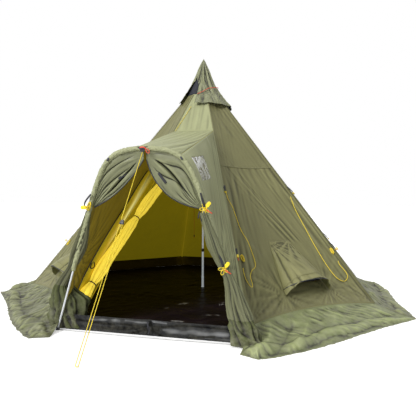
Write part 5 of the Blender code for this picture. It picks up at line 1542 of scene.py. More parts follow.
def porch_side(hand, rows=90, columns=60):
    """One side wall of the porch, from its ridge to the arch's leg."""
    ridge = 0 if hand > 0 else SIDES - 1
    t, up = shares(rows, columns)
    share = up[:, 0]
    back = outer_ridge(ridge, HEM_Z + (ROOF_SEAM_Z - CLOTH_SEAM - HEM_Z) * share)
    front = arch_at(hand, HEM_Z + (SHOULDER_Z - HEM_Z) * share)
    along = unit(front - back)
    start = (back + along * RIDGE_GAP)[:, None, :]
    end = (front - along * (SLEEVE_R + SEAM_GAP))[:, None, :]
    hollow = PORCH_SAG * 4 * t * (1 - t) * np.sin(math.pi * up)
    base = start + (end - start) * t[..., None] - np.array((hand, 0, 0)) * hollow[..., None]
    if hand > 0:
        base, t, up = base[:, ::-1], t[:, ::-1], up[:, ::-1]
    return base, t, up


def porch_side_folds(hand, base, t, share):
    """Folds of a porch wall: along the ridge, down the arch, and fanning up from the low tie."""
    depth = bpy.context.scene.tent_cloth.wall_fold
    width = np.linalg.norm(base[:, 0] - base[:, -1], axis=-1)[:, None]
    up = share * 1.5
    folds = 2.8 * streaks(t * width, up, 70 + hand, 0.045, 0.8) * np.exp(-t * width / 0.18)
    folds += 2.6 * streaks((1 - t) * width, up, 73 + hand, 0.04, 0.5) * np.exp(-(1 - t) * width / 0.13)
    folds += 2.2 * rays((1 - t) * width, up, 0.0, 0.52, 21, 0.45, 0.9)
    folds += 1.6 * rays(t * width, up, 0.0, 0.0, 21, 0.5, 2.0)
    folds += 0.7 * noise(base, 0.40, 80 + hand)
    inside = ramp(np.minimum(t, 1 - t) * width, 0.0, 0.04) * ramp(1 - share, 0.0, 0.05)
    return folds * depth * inside


WINDOW_CENTRE = np.array((0.36, -1.71, 1.35))
WINDOW_ALONG = (0.01, 0.93, 0.10)
WINDOW_DOWN = (0.22, 0.16, -0.60)
WINDOW_WAY = (0.95, 0, 0.285)
WINDOW_HALF_L = 0.225
WINDOW_HALF_H = 0.105


def window_outline(shrink):
    """Corners of the clear window in the porch's right wall."""
    along = unit(WINDOW_ALONG) * (WINDOW_HALF_L - shrink)
    down = unit(WINDOW_DOWN) * (WINDOW_HALF_H - shrink)
    return [WINDOW_CENTRE + along * x + down * y for x, y in ((-1, -1), (-1, 1), (1, 1), (1, -1))]


def roof_surface(rows=80, columns=90):
    """The porch roof, from the arch's crown back to the seam on the front wall."""
    crown = evenly(arch_above(SHOULDER_Z)[::-1], columns + 1)
    left = outer_ridge(SIDES - 1, ROOF_SEAM_Z)
    right = outer_ridge(0, ROOF_SEAM_Z)
    inward = unit(right - left) * CLOTH_SEAM
    across, share = shares(rows, columns)
    back = blend(np.broadcast_to(left + inward, across.shape + (3,)), right - inward, across)
    back = back - np.array((0, 0.0004, 0))
    arch = np.broadcast_to(crown, across.shape + (3,))
    start = arch + unit(back - arch) * (SLEEVE_R + SEAM_GAP)
    base = blend(start, back, share)
    base[..., 2] -= PORCH_SAG * np.sin(math.pi * share) * np.sin(math.pi * across)
    base[:, 0] += inward * (1 - share[:, :1])
    base[:, -1] -= inward * (1 - share[:, -1:])
    return base, across, share


class TENT_OT_porch(bpy.types.Operator):
    """Builds the porch's roof, side walls, window and pole sleeve"""

    bl_idname = "tent.porch"
    bl_label = "Porch"

    def execute(self, context):
        depth = context.scene.tent_cloth.wall_fold
        base, across, share = roof_surface()
        drift = across - 0.55 * share
        bands = flat_noise(drift * 1.3, share * 0.22, 0.17, 12)
        fans = flat_noise(drift * 1.3, share * 0.15, 0.055, 13) * ramp(across, 0.45, 1.0)
        from_sides = ramp(np.minimum(across, 1 - across), 0.0, 0.05)
        inside = from_sides * ramp(np.minimum(share, 1 - share), 0.0, 0.05)
        height = (1.6 * bands + 0.9 * fans) * depth * inside
        roof = cloth("porch_roof_cloth", raised(base, height), "porch")
        place(roof, "shell", "olive_cloth", "porch_roof")
        declare_cloth(roof, base)
        for hand, word in ((1, "right"), (-1, "left")):
            base, t, share = porch_side(hand)
            grid = raised(base, porch_side_folds(hand, base, t, share))
            # The inside face of each porch wall takes painted yellow light
            wall = cloth("porch_side_" + word, grid, "porch", yellow_lit_inside="yellow_lit_inside", gain=2.5)
            if hand > 0:
                open_outline(wall, window_outline(0.0), WINDOW_WAY)
                wrinkled = raised(base, 0.0035 * (crumple(base, 0.07, 5) - 0.5))
                pane = cloth("window_pane", wrinkled, "film", 0.0006)
                open_outline(pane, window_outline(-0.004), WINDOW_WAY, keep_inside=True)
                place(pane, "shell", "window_film", "porch_window")
            place(wall, "shell", "olive_cloth", "porch_wall_" + word)
            declare_cloth(wall, base)
        self.build_sleeve()
        return {"FINISHED"}

    def build_sleeve(self):
        """The sleeve, puckered all along by the seam that gathers it round the pole."""
        path = evenly(arch_above(SLEEVE_END_Z), 520)
        around = 28
        travelled = np.linspace(0, line_length(path), len(path))[:, None]
        spot = ring_points(turns(around)[None, :], travelled) * (0.02, 0.02, 1)
        puckers = noise(spot, 0.013, 6) + 0.6 * noise(spot, 0.028, 7)
        ends = np.minimum(travelled, travelled.max() - travelled)
        radius = SLEEVE_R - 0.0015 + 0.0046 * puckers - 0.004 * np.exp(-ends / 0.03)
        sleeve = tube("sleeve_cloth", path, radius, around, "sleeve")
        place(sleeve, "shell", "skirt_cloth", "porch_sleeve")


# Doors

def flap_surface(hand, rows=110, columns=120):
    """A door half drawn up to the arch's leg: its lower edge swags from the crown to the tie point."""
    pull_x, pull_z = SWAG_RIGHT if hand > 0 else SWAG_LEFT
    buckle = arch_at(hand, BUCKLE_Z) + np.array((-hand * (SLEEVE_R + 0.010), 0.012, 0))
    crown = np.array((hand * 0.012, arch_y(ARCH_CROWN_Z) + 0.010, ARCH_CROWN_Z - 0.087))
    pull = np.array((hand * pull_x, arch_y(pull_z) + 0.012, pull_z))
    above = ARCH_HALF[ARCH_HALF[:, 2] > BUCKLE_Z + 0.035]
    arch = evenly(np.vstack([arch_at(1, BUCKLE_Z + 0.03)[None], above])[::-1], columns + 1)
    arch[0, 0] += 0.006
    t, share = shares(rows, columns)
    along = unit(np.gradient(arch, axis=0)) * np.array((hand, 1, 1))
    edge = arch * np.array((hand, 1, 1))
    line = np.linspace(0, 1, columns + 1)[:, None]
    swag = crown * (1 - line) ** 2 + 2 * pull * line * (1 - line) + buckle * line ** 2
    inward = swag - edge
    inward = unit(inward - along * (inward * along).sum(-1, keepdims=True))
    top = edge + inward * (SLEEVE_R * 0.9)
    base = blend(np.broadcast_to(swag, share.shape + (3,)), top, share)
    if hand < 0:
        base, t, share = base[:, ::-1], t[:, ::-1], share[:, ::-1]
    return base, t, share


def flap_folds(hand, t, share):
    """Long folds from the crown to the tie, close together at the tie, with smaller ones between."""
    depth = bpy.context.scene.tent_cloth.door_fold
    bent = share + 0.10 * np.sin(2.2 * math.pi * t + 0.6 * hand) * np.sin(math.pi * share)
    bent = bent + 0.05 * flat_noise(t, share, 0.35, 30 + hand)
    fan = bent + 0.55 * (1 - t) ** 1.3 * bent
    fan = fan + 0.09 * flat_noise(1.3 * t, 2.2 * share, 0.5, 61 + hand)
    deep = np.abs(np.sin(math.pi * 2.0 * fan + 0.5 * hand)) ** 0.35
    finer = np.abs(np.sin(math.pi * 6.1 * fan + 1.1 + 2 * t)) ** 0.5
    folds = 1.0 * (deep - 0.75) * ramp(t, 0.05, 0.5)
    folds += 0.62 * (finer - 0.7) * ramp(t, 0.50, 0.95)
    slack = np.stack([t * 0.55, share * 0.8, 0 * t], -1)
    folds += 0.40 * facets(slack, 0.34, 33 + hand, 4) * (1 - 0.6 * t)
    pleat = share - (0.40 - 0.16 * np.sin(math.pi * t * 0.9)) if hand < 0 else share - 0.62 + 0.2 * t
    folds -= 1.3 * np.exp(-(pleat / 0.035) ** 2) * ramp(t, 0.10, 0.3) * ramp(1 - t, 0.12, 0.45)
    inside = ramp(share, 0.0, 0.10) * ramp(1 - share, 0.0, 0.12)
    return folds * depth * inside * ramp(t, 0.0, 0.25) * (1 - 0.55 * ramp(t, 0.55, 1.0))


# The doors' lower halves: height, metres right of the middle, metres behind the arch, and radius
DOOR_LOW_RIGHT = (
    (0.985, 0.452, -0.032, 0.024), (0.850, 0.497, -0.034, 0.038), (0.727, 0.542, -0.034, 0.054),
    (0.610, 0.600, -0.030, 0.044), (0.515, 0.640, -0.028, 0.034), (0.406, 0.676, -0.020, 0.056),
    (0.303, 0.700, -0.016, 0.076), (0.185, 0.732, -0.014, 0.090), (0.080, 0.765, -0.020, 0.102),
    (0.012, 0.785, -0.035, 0.120),
)
DOOR_LOW_LEFT = (
    (0.985, -0.480, 0.004, 0.022), (0.914, -0.504, 0.004, 0.026), (0.793, -0.542, 0.010, 0.044),
    (0.687, -0.576, 0.016, 0.056), (0.571, -0.634, 0.034, 0.047), (0.515, -0.672, 0.058, 0.040),
    (0.409, -0.738, 0.088, 0.066), (0.303, -0.792, 0.098, 0.086), (0.199, -0.816, 0.100, 0.098),
    (0.079, -0.832, 0.100, 0.104), (0.012, -0.838, 0.100, 0.112),
)
DOOR_SKIRT_Z = {1: 0.20, -1: 0.36}


def door_bundle(hand, name, stations=200, around=110):
    """The lower half of a door, gathered at its low tie and spread again below it, with its own skirt."""
    knots = np.array(DOOR_LOW_RIGHT if hand > 0 else DOOR_LOW_LEFT)[::-1]
    z = np.linspace(knots[0, 0], knots[-1, 0], stations + 1)
    x, back, radius = (np.interp(z, knots[:, 0], knots[:, column]) for column in (1, 2, 3))
    soft = np.hanning(23) / np.hanning(23).sum()
    x, back, radius = (np.convolve(np.pad(v, 11, mode="edge"), soft, mode="valid") for v in (x, back, radius))
    wide = ramp(0.37 - z, 0.0, 0.14) * (hand < 0)
    x = x + 0.084 * wide
    radius = radius + 0.070 * wide
    centre = np.stack([x, arch_y(z) + back + 0.020 * wide, z], -1)
    angle = turns(around)
    turn = angle[None, :] + 0.5 * np.sin(5 * z)[:, None]
    ring = ring_points(turn, 0.8 * z[:, None])
    tight = np.exp(-((z - 0.545) / 0.05) ** 2)[:, None]
    pleats = np.abs(np.sin(2.5 * turn + 2.2 * noise(ring, 0.6, 50 + hand))) ** 0.5 - 0.6
    flute = (0.07 + 0.13 * ramp(z, 0.25, 0.60)[:, None]) * pleats
    broad = 0.5 - np.abs(noise(ring * (1, 1, 0.75), 0.52, 52 + hand)) * 2
    flute = flute + 0.30 * broad * (1 - 0.4 * tight)
    flute = flute + 0.13 * (0.4 - np.abs(noise(ring * (1, 1, 1.1), 0.24, 56 + hand)) * 2)
    low = ramp(0.26 - z, 0.0, 0.16)[:, None]
    heap = facets(ring * (0.5, 0.5, 3.4) * 0.35, 0.13, 57 + hand)
    flute = flute * (1 - 0.8 * low) + 0.30 * heap * low
    size = radius[:, None] * (0.98 + flute * (1 - 0.3 * tight))
    spoke = np.stack([np.cos(angle), 0.62 * np.sin(angle), 0 * angle], -1)
    grid = centre[:, None, :] + spoke[None, :, :] * size[..., None]
    grid[..., 2] += 0.014 * heap * low * ramp(z, 0.0, 0.05)[:, None]
    corner_uv = grid_uv(grid, True).tolist() + [(0.0, 0.0)] * (2 * around)
    # The lower halves take darker copies of the door cloth, and the heap below a much darker cloth: painted
    # shade
    finish = "shaded_low_door" if hand > 0 else "shaded_left_door"
    faces = capped_faces(stations + 1, around)
    piece = mesh_piece(name, grid.reshape(-1, 3), faces, finish, corner_uv, sharp=0)
    piece.data.materials.append(finish_of("shaded_door_skirt"))
    for face in piece.data.polygons:
        face.material_index = int(face.center.z < DOOR_SKIRT_Z[hand])
    return mark_folds(piece, grid, closed=True)


class TENT_OT_doors(bpy.types.Operator):
    """Builds the two drawn porch doors and their gathered lower halves"""

    bl_idname = "tent.doors"
    bl_label = "Porch doors"

    def execute(self, context):
        for hand, word in ((1, "right"), (-1, "left")):
            base, t, share = flap_surface(hand)
            grid = raised(base, flap_folds(hand, t, share))
            flap = cloth("door_upper_" + word, grid, "door", 0.0016)
            place(flap, "shell", "olive_cloth", "door_flap_" + word)
            declare_cloth(flap, base, 1.35)
            lower = door_bundle(hand, "door_lower_" + word)
            place(lower, "shell", "olive_cloth", "door_bundle_" + word)
            refinish("plastic", "porch_foot_tab_" + word)
        return {"FINISHED"}


# Groundsheet

def floor_grid(columns, rows):
    """The floor as a grid of rings fitted into its outline, with how far each point lies from the edge."""
    outline = np.array([floor_corner(corner)[:2] for corner in range(SIDES + 2)])
    angle = 2 * math.pi * np.linspace(0, 1, columns, endpoint=False)
    rays_out = np.stack([np.sin(angle), -np.cos(angle)], -1)
    reach = np.full(columns, 9.0)
    for a, b in zip(outline, np.roll(outline, -1, axis=0)):
        edge = b - a
        cross = rays_out[:, 0] * edge[1] - rays_out[:, 1] * edge[0]
        cross = np.where(np.abs(cross) < 1e-9, 1e-9, cross)
        away = (a[0] * edge[1] - a[1] * edge[0]) / cross
        along = (a[0] * rays_out[:, 1] - a[1] * rays_out[:, 0]) / cross
        hit = (away > 0) & (along >= -1e-6) & (along <= 1 + 1e-6)
        reach = np.where(hit, np.minimum(reach, away), reach)
    share = np.linspace(1.0, 0.01, rows)[:, None]
    flat = rays_out[None, :, :] * (reach[None, :, None] * share[..., None] * 0.9993)
    grid = np.concatenate([flat, np.full(flat.shape[:2] + (1,), FLOOR_T)], -1)
    return grid, reach[None, :] * (1 - share)


# Where the floor's painted shade lines of its long folds and its painted gleams run: x, y flattened as below,
# and how wide they are
FLOOR_FLATTEN = 0.25
FLOOR_FOLD_SHADE = (
    ((-0.501, 0.300), (-0.186, 0.114), 0.016), ((-0.186, 0.114), (-0.043, 0.011), 0.010),
    ((0.020, -0.176), (0.034, -0.118), 0.007), ((0.034, -0.118), (0.063, -0.014), 0.011),
    ((0.063, -0.014), (0.088, 0.054), 0.008), ((-0.458, -0.139), (-0.058, -0.201), 0.005),
    ((-0.575, 0.064), (-0.058, -0.201), 0.006), ((-0.911, 0.269), (-0.575, 0.024), 0.010),
    ((0.300, -0.090), (-0.058, -0.201), 0.005), ((-0.240, 0.070), (-0.058, -0.201), 0.005),
    ((-0.700, -0.180), (-0.150, -0.300), 0.005), ((0.100, -0.230), (0.520, -0.200), 0.005),
)
FLOOR_GLEAMS = (
    ((-0.060, -0.236), (0.060, -0.232), 0.015), ((0.060, -0.232), (0.149, -0.224), 0.006),
    ((0.351, -0.219), (0.419, -0.209), 0.010), ((0.251, -0.333), (0.400, -0.318), 0.004),
    ((0.400, -0.318), (0.526, -0.325), 0.006), ((-0.173, -0.300), (-0.092, -0.287), 0.003),
    ((-0.344, -0.369), (-0.256, -0.348), 0.003), ((0.054, -0.394), (0.182, -0.394), 0.004),
)


def add_floor():
    depth = bpy.context.scene.tent_cloth.floor_fold
    base, inset = floor_grid(340, 120)
    from_pole = np.linalg.norm(base[..., :2], axis=-1)
    from_cord = np.linalg.norm(base[..., :2] - np.array((-0.11, 0.0)), axis=-1)
    creases = np.maximum(0.9 + 0.9 * facets(base, 0.55, 3, 6) + 0.35 * facets(base, 0.17, 8, 4), 0.0)
    flat_at = ramp(from_pole, 0.03, 0.16) * ramp(from_cord, 0.02, 0.1) * ramp(inset, 0.004, 0.06)
    grid = base.copy()
    grid[..., 2] += depth * creases * flat_at
    centre = grid.shape[0] * grid.shape[1]
    faces = grid_faces(base.shape[0], base.shape[1], closed=True).tolist()
    last = (base.shape[0] - 1) * base.shape[1]
    columns = base.shape[1]
    points = np.vstack([grid.reshape(-1, 3), [(0, 0, FLOOR_T)]])
    for column in range(columns):
        faces.append([last + column, last + (column + 1) % columns, centre])
    corner_uv = [tuple(points[index][:2]) for face in faces for index in face]
    piece = thicken(mesh_piece("floor_sheet", points, faces, "floor", corner_uv, sharp=0), 0.0022)
    # Painted shade on the floor's facets and along its long folds, and painted gleams broken up by noise
    flat = base[..., :2] * np.array((1, FLOOR_FLATTEN))
    broken = ramp(noise(base * np.array((1, 0.35, 1)), 0.028, 31), -0.25, 0.2)
    tone = 0.38 * facets(base, 0.42, 3, 6) + 0.10 + 0.9 * near_lines(flat, FLOOR_FOLD_SHADE)
    mark_tones(piece, np.clip(tone, -0.25, 1) - near_lines(flat, FLOOR_GLEAMS) * broken)
    place(piece, "shell", "floor_cloth", "groundsheet_floor")


def add_tub_wall():
    """The groundsheet's low wall round the sides and back."""
    outline = np.array([floor_corner(corner) for corner in range(SIDES + 2)])
    part = np.linspace(0, 1, 60, endpoint=False)
    edges = [blend(np.broadcast_to(a, (60, 3)), b, part) for a, b in zip(outline, outline[1:])]
    line = np.vstack(edges + [outline[-1:]])
    share = shares(16, len(line) - 1)[1]
    base = np.broadcast_to(line, share.shape + (3,)).copy()
    base[..., 2] = TUB_FOOT_Z + (TUB_H - TUB_FOOT_Z) * share
    spot = base * np.array((1, 1, 0.6))
    slack = 0.004 * noise(spot, 0.09, 4) + 0.005 * (crumple(spot, 0.16, 9, 2) - 0.6)
    slack = slack * np.sin(math.pi * share) ** 0.5
    outward = unit(base * np.array((1, 1, 0)))
    grid = base - outward * np.abs(slack)[..., None]
    piece = cloth("tub_wall", grid, "tub", COATED_CLOTH_T)
    place(piece, "shell", "floor_cloth", "groundsheet_wall")
    declare_cloth(piece, base)


def sill_surface(rows=32, columns=300):
    x = np.linspace(-SILL_HALF_W, SILL_HALF_W, columns + 1)[None, :] * np.ones((rows + 1, 1))
    share = shares(rows, columns)[1]
    slack = 0.005 * np.sin(9.0 * x + 0.8) * np.sin(math.pi * share)
    drawn = 0.010 * np.exp(-(x / 0.09) ** 2) * share
    y = SILL_Y - SEAM_GAP - SILL_LEAN * share + slack + drawn
    return np.stack([x, y, TUB_FOOT_Z + (TUB_H - TUB_FOOT_Z) * share], -1), share


# The sill's painted shade lines of its folds and its painted gleams: metres right of its middle, height, and
# how wide they are
SILL_FOLD_SHADE = (
    ((-0.45, 0.036), (-0.03, 0.058), 0.013), ((-0.24, 0.082), (-0.02, 0.064), 0.009),
    ((0.02, 0.066), (0.25, 0.106), 0.009), ((0.0, 0.05), (0.12, 0.0), 0.009),
    ((-0.02, 0.05), (-0.20, 0.0), 0.009), ((-0.012, 0.020), (0.006, 0.110), 0.014),
    ((-0.06, 0.05), (0.06, 0.057), 0.020), ((0.25, 0.104), (0.70, 0.108), 0.008),
    ((-0.70, 0.09), (-0.30, 0.070), 0.009), ((0.30, 0.010), (0.52, 0.040), 0.006),
)
SILL_GLEAMS = (
    ((-0.20, 0.112), (-0.015, 0.102), 0.012), ((0.015, 0.118), (0.14, 0.116), 0.009),
    ((0.12, 0.055), (0.62, 0.060), 0.024), ((-0.50, 0.100), (-0.25, 0.108), 0.014),
    ((0.45, 0.025), (0.66, 0.020), 0.010),
)


SILL_TIE = [(-0.012, SILL_Y - 0.030, 0.118), (-0.004, SILL_Y - 0.030 - 0.006, 0.085),
            (0.006, SILL_Y - 0.030 - 0.003, 0.055), (-0.006, SILL_Y - 0.030, 0.020)]
SILL_KNOT = np.array((0.0, SILL_Y - 0.030 - 0.006, 0.072))


def add_sill():
    """The raised sill across the porch, pinched where its cord ties it down in the middle."""
    base, share = sill_surface()
    x = base[..., 0]
    pulls = rays(x, base[..., 2], 0.0, TUB_H * 0.62, 13, 0.45, 0.4)
    creases = crumple(base * np.array((0.42, 1, 1.3)), 0.10, 14, 2) - 0.55
    inside = np.sin(math.pi * share) ** 0.5
    long_folds = facets(base * np.array((0.22, 1, 1)), 0.075, 15, 5)
    height = (0.007 * creases + 0.010 * long_folds) * inside + 0.006 * pulls * inside
    height = height - 0.016 * np.exp(-((x / 0.025) ** 2)) * np.exp(-(((share - 0.62) / 0.3) ** 2))
    piece = cloth("sill_cloth", raised(base, height), "sill", COATED_CLOTH_T, outward=True, gain=1.3)
    # Painted shade along the sill's folds and on its facets, and painted gleams that vary in strength
    flat = base[..., [0, 2]]
    dark = near_lines(flat, SILL_FOLD_SHADE)
    gleam_strength = 0.75 + 0.35 * facets(base * np.array((0.35, 1, 1)), 0.05, 16, 4)
    tone = 0.25 * facets(base * np.array((0.5, 1, 1)), 0.06, 15, 5) + 0.10 + dark
    mark_tones(piece, tone - 0.95 * near_lines(flat, SILL_GLEAMS) * gleam_strength * (1 - dark))
    place(piece, "shell", "sill_cloth", "groundsheet_sill")
    declare_cloth(piece, base)
    tie = ribbon("sill_tie", smooth_line(SILL_TIE, 40), (0, -1, 0), 0.012, "webbing", 0.0020)
    lump = knot(SILL_KNOT, 0.026, FRONT, "webbing")
    place(join([tie, lump], "sill_tie"), "shell", "black_webbing")


class TENT_OT_groundsheet(bpy.types.Operator):
    """Builds the groundsheet's floor, low wall and sill"""

    bl_idname = "tent.groundsheet"
    bl_label = "Groundsheet"

    def execute(self, context):
        add_floor()
        add_tub_wall()
        add_sill()
        return {"FINISHED"}


# Inner tent

def inner_face(corner, columns=56, rows=86):
    foot = TUB_H + 0.0014
    across, up = shares(rows, columns)
    z = foot + (INNER_TOP_Z - foot) * up
    return seamed(wall_point(inner_ridge, corner, across, z, foot, INNER_TOP_Z, INNER_SAG)), across, z


def inner_front_surface(rows=50, columns=50):
    z = INNER_FRONT_Z + (INNER_TOP_Z - INNER_FRONT_Z) * np.linspace(0, 1, rows + 1)
    t = np.linspace(0.004, 0.996, columns + 1)[None, :, None]
    return inner_ridge(SIDES + 1, z)[:, None, :] * (1 - t) + inner_ridge(0, z)[:, None, :] * t


def inner_folds(corner):
    """One face of the inner tent, plain and with its folds."""
    base, across, z = inner_face(corner)
    width = np.linalg.norm(inner_ridge(corner + 1, z) - inner_ridge(corner, z), axis=-1)
    s = (across - 0.5) * width
    t = (z - TUB_H) * 1.25
    half = 0.5 * float(np.linalg.norm(floor_corner(corner + 1) - floor_corner(corner)))
    folds = rays(s, t, -half, 0.0, 19, 0.55, corner) + rays(s, t, half, 0.0, 19, 0.55, corner + 1.3)
    folds += 0.9 * noise(base, 0.33, 20 + corner) + 0.35 * noise(base * (1, 1, 0.35), 0.07, corner)
    inside = ramp(np.minimum(across, 1 - across) * width, 0, 0.05) * ramp(z - TUB_H, -0.01, 0.06)
    return base, raised(base, folds * 0.0045 * inside)


def side_by_side(grids):
    """Some grids as one. Each next grid starts on the last column of the one before."""
    return np.concatenate([grids[0]] + [grid[:, 1:] for grid in grids[1:]], 1)


class TENT_OT_inner_tent(bpy.types.Operator):
    """Builds the yellow inner tent's walls and front"""

    bl_idname = "tent.inner_tent"
    bl_label = "Inner tent"

    def execute(self, context):
        for word, first in (("right", 0), ("back", 3), ("left", 6)):
            faces = [inner_folds(corner) for corner in range(first, first + 3)]
            plain, folded = (side_by_side(grids) for grids in zip(*faces))
            piece = cloth("inner_%s_cloth" % word, folded, "inner", INNER_T)
            place(piece, "shell", "inner_cloth", "inner_wall_" + word)
            declare_cloth(piece, plain)
        base = inner_front_surface()
        height = 0.006 * noise(base * (1, 1, 0.4), 0.12, 2)
        piece = cloth("inner_front_cloth", raised(base, height), "inner", INNER_T)
        place(piece, "shell", "inner_cloth", "inner_wall_front")
        declare_cloth(piece, base)
        return {"FINISHED"}


# Rolled inner door

ROLL_R = 0.050
ZIP_PITCH = 0.0052
ROLL_FOOT = (-0.675, -1.968, 0.062)
ROLL_ROUTE = ((0.22, 0.066), (0.35, 0.068), (0.50, 0.074), (0.70, 0.088), (0.90, 0.106), (1.10, 0.130))
ROLL_TIES = (0.185, 0.60)


def roll_path(count):
    knots = [inner_ridge(SIDES + 1, z) + np.array((inward, 0, 0)) for z, inward in ROLL_ROUTE]
    top = inner_ridge(SIDES + 1, INNER_TOP_Z) * 0.5 + inner_ridge(0, INNER_TOP_Z) * 0.5
    low = inner_ridge(SIDES + 1, INNER_FRONT_Z) * 0.5 + inner_ridge(0, INNER_FRONT_Z) * 0.5
    slope = unit(top - low)
    hung = inner_ridge(SIDES + 1, INNER_FRONT_Z) + np.array((0.165, 0.00075, 0)) - slope * SEAM_GAP
    fine = smooth_line([np.array(ROLL_FOOT)] + knots + [hung - slope * 0.10], 200)
    return evenly(np.vstack([fine, hung[None]]), count)


def roll_size(share):
    pinch = np.max([np.exp(-((share - tie) / 0.035) ** 2) for tie in ROLL_TIES], axis=0)
    taper = 0.94 + 0.06 * np.sin(9 * share) - 0.45 * np.clip(share - 0.72, 0, None) / 0.28
    return ROLL_R * taper * (1 - 0.38 * pinch), pinch


class TENT_OT_rolled_door(bpy.types.Operator):
    """Builds the rolled inner door with its two ties"""

    bl_idname = "tent.rolled_door"
    bl_label = "Rolled inner door"

    def execute(self, context):
        stations = 360
        around = 64
        path = roll_path(stations)
        share = np.linspace(0, 1, stations)
        size, pinch = roll_size(share)
        share = share[:, None]
        turn = turns(around)[None, :] + 2.6 * share
        folds = 1 - np.abs(np.sin(2.5 * turn + 1.5 * np.sin(5 * share)))
        fine = noise(ring_points(turn, share * 2.4), 0.30, 3)
        tight = noise(ring_points(turn, share * 9), 0.16, 6)
        long_fold = 1 - np.abs(noise(ring_points(turn, share * 1.1), 0.5, 8)) * 2
        relief = 0.10 * folds ** 2 + 0.12 * fine + 0.22 * long_fold + 0.14 * tight * pinch[:, None]
        radius = size[:, None] * (0.86 + relief)
        piece = tube("rolled_door_cloth", path, radius, around, "roll")
        mark_folds(piece, ring_grid(path, radius), closed=True, gain=0.8)
        place(piece, "shell", "roll_cloth", "inner_door_roll")
        end = int(0.040 * (stations - 1))
        pocket = tube("roll_pocket", path[:end], radius[:end].max(1) * 1.04 + 0.004, 40, "floor")
        place(pocket, "shell", "floor_cloth")
        first, second = frames_along(path)
        for index, tie in enumerate(ROLL_TIES):
            at = int(tie * (stations - 1))
            angles = [2 * math.pi * step / 48 for step in range(49)]
            spokes = np.array([
                math.cos(turned) * first[at] + math.sin(turned) * second[at] for turned in angles])
            ring = path[at] + spokes * (size[at] * 1.03 + 0.002)
            outward = unit(ring - path[at])
            band = ribbon("door_tie_%d" % (index + 1), ring, outward, 0.010, "webbing", WEBBING_T)
            place(band, "shell", "black_webbing")
        return {"FINISHED"}


# Seams and zips inside

def front_strip(rows=90, columns=48):
    """The inner tent's front left of its door, from its zip beside the porch wall to the rolled door."""
    z = np.linspace(0.22, 1.36, rows)
    ridge = outer_ridge(SIDES - 1, z)
    leg = arch_at(-1, z)
    t = np.interp(z, (0.22, 0.46, 1.05, 1.36), (0.80, 0.70, 0.30, 0.20))[:, None]
    inward = np.array((0.016, 0.0, 0.0))
    edge = ridge + (leg - ridge) * t + inward + np.array((PORCH_SAG, 0, 0)) * 4 * t * (1 - t)
    corner = ridge + (leg - ridge) * 0.06 + inward * 1.6
    behind = inner_ridge(SIDES + 1, z) + np.array((0.012, 0.004, 0))
    share = np.linspace(0, 1, columns)[None, :] * np.ones((rows, 1))
    grid = blend(edge[:, None], corner[:, None], np.clip(share / 0.72, 0, 1))
    grid = grid + (behind - corner)[:, None] * np.clip((share - 0.72) / 0.28, 0, 1)[..., None]
    return grid, share, z


def add_front_strip():
    base, share, z = front_strip()
    height = 0.007 * flat_noise(share * 0.3, z[:, None] * 0.5, 0.09, 5) * np.sin(math.pi * share)
    piece = cloth("inner_front_strip", raised(base, height), "daylit", 0.0010)
    along = np.clip((z[:, None] - 0.35) / 0.35, 0, 1) * np.clip((1.36 - z[:, None]) / 0.4, 0, 1)
    # The glow value paints daylight through the strip, strongest towards the rolled door
    store(piece, "glow", np.exp(-((share - 0.74) / 0.20) ** 2) * along)
    place(piece, "shell", "inner_cloth")
    declare_cloth(piece, base)


class TENT_OT_inner_seams(bpy.types.Operator):
    """Builds the strip beside the inner door, and the inner tent's seams, zip and rim tape"""

    bl_idname = "tent.inner_seams"
    bl_label = "Inner seams"

    def execute(self, context):
        add_front_strip()
        bands = []
        for ridge in range(1, SIDES + 1):
            z = np.linspace(TUB_H + 0.01, INNER_TOP_Z - 0.01, 120)
            out = -unit(ridge_way(ridge) + np.array((0, 0, 0.6)))
            line = inner_ridge(ridge, z) + out * 0.004
            # The seams glow with painted light
            bands.append(ribbon("seam", line, out, 0.014, "bright_seam", 0.0010, 0.0, 4, 0.002))
        place(join(bands, "inner_seams"), "shell", "inner_cloth")
        tape = []
        for ridge in range(1, SIDES - 1):
            share = np.linspace(0.01, 0.99, 60)[:, None]
            start, end = (inner_ridge(corner, TUB_H + 0.010) for corner in (ridge, ridge + 1))
            low = start * (1 - share) + end * share
            way = -unit(np.array(wall_way(ridge)) * np.array((1, 1, 0.4)))
            sagged = low + way * (INNER_SAG * 0.15 * np.sin(math.pi * share) + 0.006)
            tape.append(ribbon("tape", sagged, way, 0.012, "sill", 0.0010, 0.0, 2))
        place(join(tape, "inner_rim_tape"), "shell", "sill_cloth")
        strip = front_strip(110)[0]
        zip_line = strip[:, 0] + np.array((0.003, 0.0, 0.0))
        out = unit(np.array((0.95, -0.10, 0.1)))
        flap = ribbon("zip_cover", zip_line, out, 0.013, "piping", 0.0014, 0.0, 4, 0.003)
        place(flap, "shell", "black_webbing")
        lines = [(zip_line + out * 0.0035, out)]
        teeth = row_of("inner_zip_teeth", lines, "teeth", ZIP_PITCH, (0.0036, 0.006, 0.002))
        place(teeth, "shell", "black_plastic")
        spot = strip[26, 4] + out * 0.010
        ring = loop_of(spot, unit((-0.15, 0.9, 0.30)), out, 0.085, 0.060, 0.0045, "webbing")
        place(join([ring], "zip_ring"), "shell", "black_webbing")
        return {"FINISHED"}


# Poles

class TENT_OT_poles(bpy.types.Operator):
    """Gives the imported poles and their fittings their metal, plastic and cloth finishes"""

    bl_idname = "tent.poles"
    bl_label = "Poles"

    def execute(self, context):
        # The inner pole takes the glowing copy: painted light
        refinish("glowing_metal", "pole_upper", "pole_lower")
        refinish("metal", "porch_pole_leg_right", "porch_pole_leg_left", "porch_pole_crown")
        refinish("plastic", "pole_lock_collar", "pole_top_plug")
        refinish("webbing", "crown_tab")
        refinish("white_tape", "ground_strap")
        return {"FINISHED"}


# Cords

